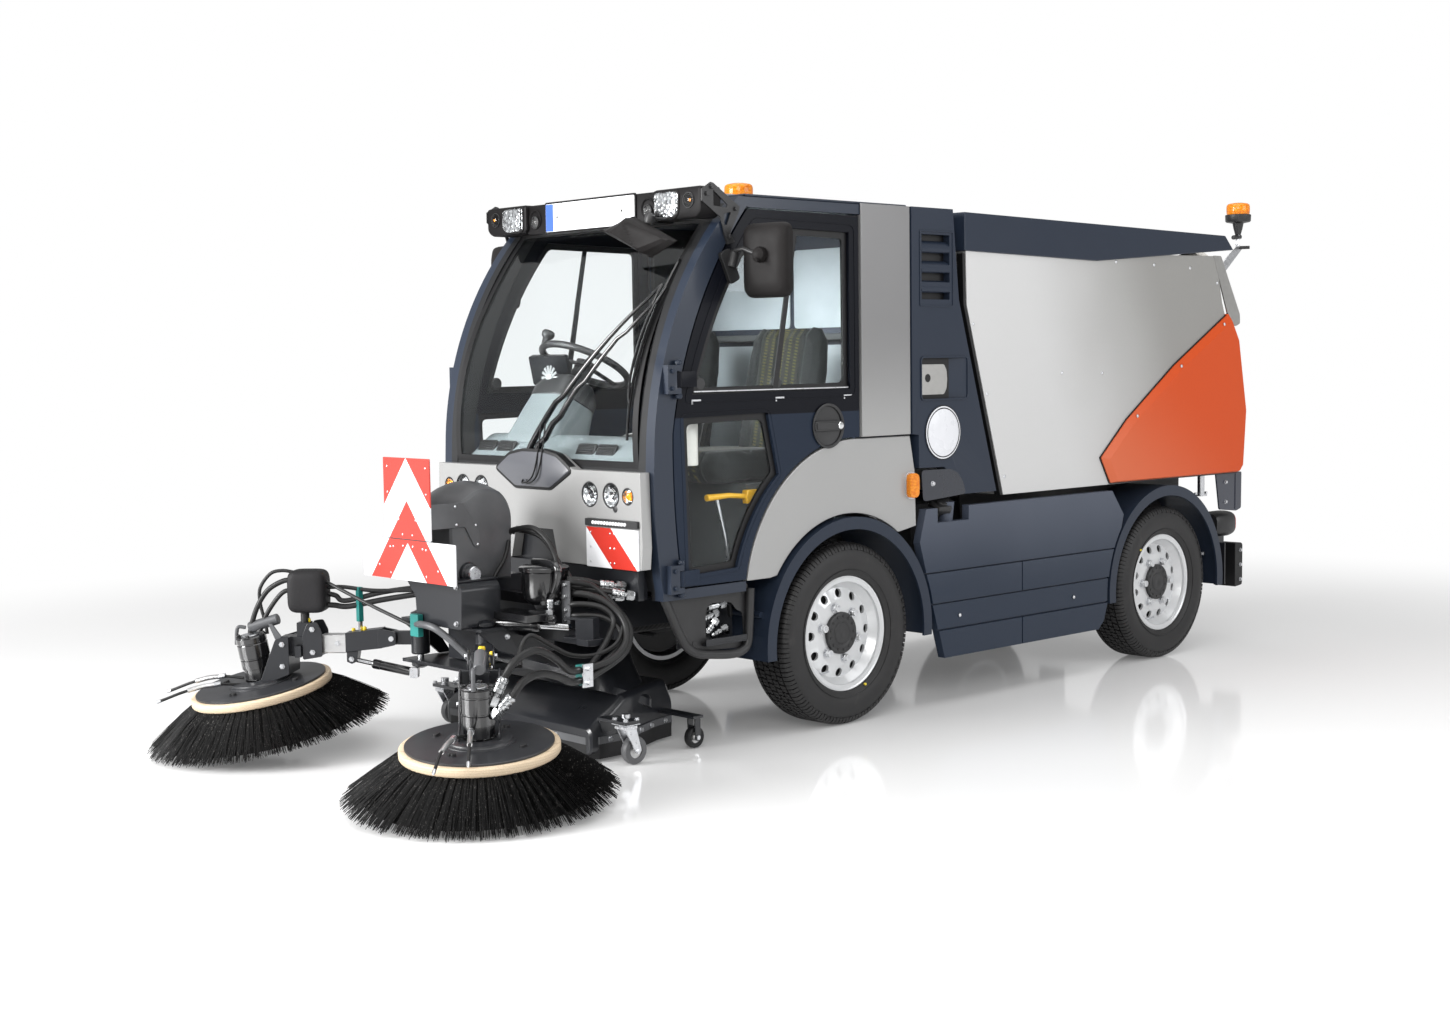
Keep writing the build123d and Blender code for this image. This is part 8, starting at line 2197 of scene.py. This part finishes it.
# ---- suction mouth and hose ------------------------------------------------------------------------------------
# A welded black mouth that narrows to the rear, with rubber skirts clamped round its foot by bolted strips. A
# leaning funnel stands on it, and the ribbed suction hose runs back from that and up to the hopper.
mouth_black = painted("mouth_black", (0.0115, 0.0125, 0.0155), 0.30, coat=0.3)
MOUTH_STATIONS = (
    # y, half width, top
    (-1.130, 0.428, 0.118), (-1.124, 0.438, 0.126), (-1.090, 0.440, 0.150), (-1.030, 0.440, 0.186), (-0.970, 0.434, 0.222),
    (-0.900, 0.410, 0.229), (-0.820, 0.372, 0.230), (-0.740, 0.340, 0.230), (-0.680, 0.326, 0.228), (-0.650, 0.320, 0.170),
    (-0.640, 0.312, 0.150))
MOUTH_FOOT_Z = 0.030
mouth_rings = []
for y, half, top in MOUTH_STATIONS:
    flat = rounded([(-half, MOUTH_FOOT_Z), (half, MOUTH_FOOT_Z), (half, top), (-half, top)], 0.030, 7)
    mouth_rings.append(at(0, 0, 0) + np.insert(flat, 1, y, axis=1))
funnel = stacked([(0.800, 0.260, 0.07, 0.0), (0.780, 0.255, 0.08, 0.030), (0.640, 0.235, 0.09, 0.085),
                  (0.480, 0.215, 0.10, 0.150), (0.330, 0.200, 0.095, 0.215), (0.290, 0.195, 0.095, 0.250)],
                 at(0, -0.905, 0.190), (1, 0, 0), (0, 0.93, -0.37), (0, 0.62, 0.785))
NECK = [(0.093, 0.200), (0.093, 0.281), (0.090, 0.300)]
HANGER_AT, RAIL_FOOT_Z = (0.190, -0.780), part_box("chassis_rails")[0].z
hanger = turned([(0.014, 0.225), (0.014, RAIL_FOOT_Z - 0.001)], at(*HANGER_AT, 0), up, 24)
wing = joined(block(at(0.430, -1.095, 0.150), at(0.580, -1.025, 0.162)),
              slab([(-1.095, 0.150), (-1.025, 0.150), (-1.040, 0.105), (-1.080, 0.105)], at(0.439, 0, 0), depth=(0.006, 0, 0),
                   **SIDE_VIEW),
              block(at(0.330, -0.725, 0.112), at(0.525, -0.675, 0.122)))
roller_cheeks = joined(*[slab(rounded([(-0.714, 0.113), (-0.686, 0.113), (-0.688, 0.030), (-0.712, 0.030)], 0.008, 4),
                              at(x, 0, 0), depth=(0.006, 0, 0), **SIDE_VIEW) for x in (0.478, 0.516)])
mouth = joined(skin(np.stack(mouth_rings)), funnel, turned(NECK, at(0, -0.760, 0), up, 48), hanger, mirrored(hanger), wing,
               mirrored(wing), roller_cheeks, mirrored(roller_cheeks))
mouth_made = piece("suction_mouth_shell", mouth, mouth_black, "chassis", "chassis_black", angle=24, rounding=0.0012)
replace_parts(mouth_made, "suction_mouth")
SKIRT_Z, CLAMP_Z = (0.0125, 0.074), (0.066, 0.092)


def round_mouth(z_low, z_high, off, thick):
    """Upright band that follows the mouth's front and sides in plan, off its wall by off, and thick across."""
    plan = [(-0.320, -0.650), (-0.340, -0.740), (-0.410, -0.900), (-0.440, -1.000), (-0.440, -1.095), (-0.410, -1.130)]
    plan = np.array(plan + [(-x, y) for x, y in plan[::-1]])
    along = np.gradient(plan, axis=0)
    normal = np.column_stack([along[:, 1], -along[:, 0]]) / np.linalg.norm(along, axis=1, keepdims=True)
    normal *= np.sign((normal * (plan - (0, -0.85))).sum(1, keepdims=True))
    inner, outer = plan + normal * off, plan + normal * (off + thick)
    rings = [np.column_stack([line + (0, axle_y), np.full(len(line), z)])
             for line, z in ((inner, z_low), (outer, z_low), (outer, z_high), (inner, z_high))]
    return skin(np.stack(rings, 1)), plan, normal


skirts, plan, outwards = round_mouth(*SKIRT_Z, -0.004, 0.0045)
clamps = round_mouth(*CLAMP_Z, -0.001, 0.0045)[0]
clamp_bolts = joined(*[turned(DISC_BOLT[:4], at(*(plan[i] * (1 - t) + plan[i + 1] * t + outwards[i] * 0.0035), 0.079),
                              (*outwards[i], 0), 6)
                       for i, t in ((0, 0.5), (1, 0.3), (1, 0.8), (3, 0.5), (5, 0.2), (5, 0.4), (5, 0.6), (5, 0.8), (7, 0.5),
                                    (9, 0.2), (9, 0.7), (10, 0.5))])
for name, part, finish, slot, edge in (("mouth_skirts", skirts, black_rubber, "rubber", 0.0008),
                                       ("mouth_clamps", clamps, cover_grey, "tower_grey", 0.0006),
                                       ("mouth_bolts", clamp_bolts, zinc, "steel", None)):
    piece(name, part, finish, "chassis", slot, rounding=edge)
HOSE_CORNERS = np.array([(0, -0.760, 0.281), (0, -0.760, 0.452), (0, 0.500, 0.452), (0, 0.500, 1.720), (0, 0.712, 1.720)])
HOSE_BENDS = (0.130, 0.150, 0.150)
hose_run = [HOSE_CORNERS[:1]]
for before, corner, after, bend in zip(HOSE_CORNERS, HOSE_CORNERS[1:], HOSE_CORNERS[2:], HOSE_BENDS):
    t = np.linspace(0, math.pi / 2, 16)[:, None]
    back, ahead = ((end - corner) / np.linalg.norm(end - corner) for end in (before, after))
    hose_run.append(corner + bend * ((1 - np.sin(t)) * back + (1 - np.cos(t)) * ahead))
hose_run = np.concatenate(hose_run + [HOSE_CORNERS[-1:]])
length = np.concatenate([[0], np.cumsum(np.linalg.norm(np.diff(hose_run, axis=0), axis=1))])
places = np.arange(0, length[-1], 0.006)
suction_line = np.stack([np.interp(places, length, hose_run[:, k]) for k in range(3)], 1) + (0, axle_y, 0)
ribbed = hose(suction_line, 0.0905 + 0.004 * np.sin(np.arange(len(places)) * math.pi / 2), 32, straight=True)
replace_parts(piece("suction_hose_ribbed", ribbed, hose_rubber, "chassis", "rubber", angle=70), "suction_hose")

# ---- casters and rollers ---------------------------------------------------------------------------------------
# The mouth runs on two swivel casters with pressed zinc forks and grey rubber tyres, and on two small fixed
# rollers behind them.
caster_rubber = moulded("caster_rubber", (0.085, 0.086, 0.090), 0.50, 600.0, 0.0002)
CASTER_AT, CASTER_R, CASTER_TRAIL = (0.545, -1.060), 0.050, 0.034
ROLLER_AT, ROLLER_R = (0.500, -0.700), 0.040


def small_wheel(radius, half):
    """Rounded rubber tyre about the X axis, on a dished hub with a bearing cap on both ends."""
    tread = [(radius * 0.56, -half * 0.86), (radius * 0.80, -half), (radius * 0.95, -half * 0.85), (radius, -half * 0.45),
             (radius, half * 0.45), (radius * 0.95, half * 0.85), (radius * 0.80, half), (radius * 0.56, half * 0.86)]
    core = [(radius * 0.57, -half * 0.60), (radius * 0.57, half * 0.60), (radius * 0.22, half * 0.50),
            (radius * 0.20, half * 0.96), (radius * 0.06, half * 0.98), (radius * 0.06, -half * 0.98),
            (radius * 0.20, -half * 0.96), (radius * 0.22, -half * 0.50)]
    return (turned(tread, (0, 0, 0), (1, 0, 0), 48, closed=True), turned(core, (0, 0, 0), (1, 0, 0), 32))


for side, sign in (("left", 1), ("right", -1)):
    for label, (x, y), radius, half in (("caster_wheel", (CASTER_AT[0], CASTER_AT[1] + CASTER_TRAIL), CASTER_R, 0.0158),
                                        ("roller", ROLLER_AT, ROLLER_R, 0.0138)):
        place = at(sign * x, y, radius + (0.001 if label == "caster_wheel" else 0.002))
        tread, core = (copies(part, [place]) for part in small_wheel(radius, half))
        body = side + "_" + label
        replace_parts(piece(body + "_tyre", tread, caster_rubber if label == "caster_wheel" else black_rubber, body,
                          "rubber", angle=50), body)
        piece(body + "_core", core, slide_steel, body, "steel")
    softened(side + "_caster_fork", zinc, 0.0012, slot="steel")
    centre = at(sign * CASTER_AT[0], CASTER_AT[1], 0)
    race = turned([(0.0240, 0.1405), (0.0300, 0.1412), (0.0310, 0.1440), (0.0290, 0.1468), (0.0240, 0.1470)], centre, up, 32)
    axle_bolt = joined(*[turned([(0.0090, 0), (0.0090, 0.005), (0.0075, 0.006)], centre + (way * 0.0235, CASTER_TRAIL, 0.051),
                                (way, 0, 0), 6) for way in (-1, 1)])
    piece(side + "_caster_race", joined(race, axle_bolt), zinc, side + "_caster_fork", "steel")
    top_plate = joined(block(centre + (-0.038, -0.034, 0.1472), centre + (0.038, 0.034, 0.1500)),
                       *[turned(DISC_BOLT[:5], centre + (a, b, 0.1620), up, 6) for a in (-0.029, 0.029) for b in (-0.026, 0.026)])
    piece(side + "_caster_top_plate", top_plate, zinc, "chassis", "steel", rounding=0.0005)
    roller_axle = turned([(0.0085, -0.026), (0.0085, -0.020), (0.0060, -0.0198), (0.0060, 0.0198), (0.0085, 0.020), (0.0085, 0.026)],
                         at(sign * ROLLER_AT[0], ROLLER_AT[1], ROLLER_R + 0.002), (1, 0, 0), 12)
    piece(side + "_roller_axle", roller_axle, zinc, "chassis", "steel")

# ---- balance dots ----------------------------------------------------------------------------------------------
# A round yellow paint dot marks the light spot of each tyre's sidewall.
DOTS = {"front": (0.098, -0.208, 0.0925), "rear": (-0.190, 0.165, 0.0985)}
dot_yellow = moulded("balance_dot_yellow", (0.72, 0.55, 0.03), 0.45, 500.0, 0.00004, 0.05)
for end, side, sign, station in WHEELS:
    y, z, out = DOTS[end]
    dot = turned([(0.0050, -0.004), (0.0050, 0.0018), (0.0044, 0.0024)], at(sign * WHEEL_X, station, TYRE_R)
                 + (sign * out, y, z), (sign, 0, 0), 16)
    piece(end + "_" + side + "_tyre_dot", dot, dot_yellow, end + "_" + side + "_wheel", "tyre")
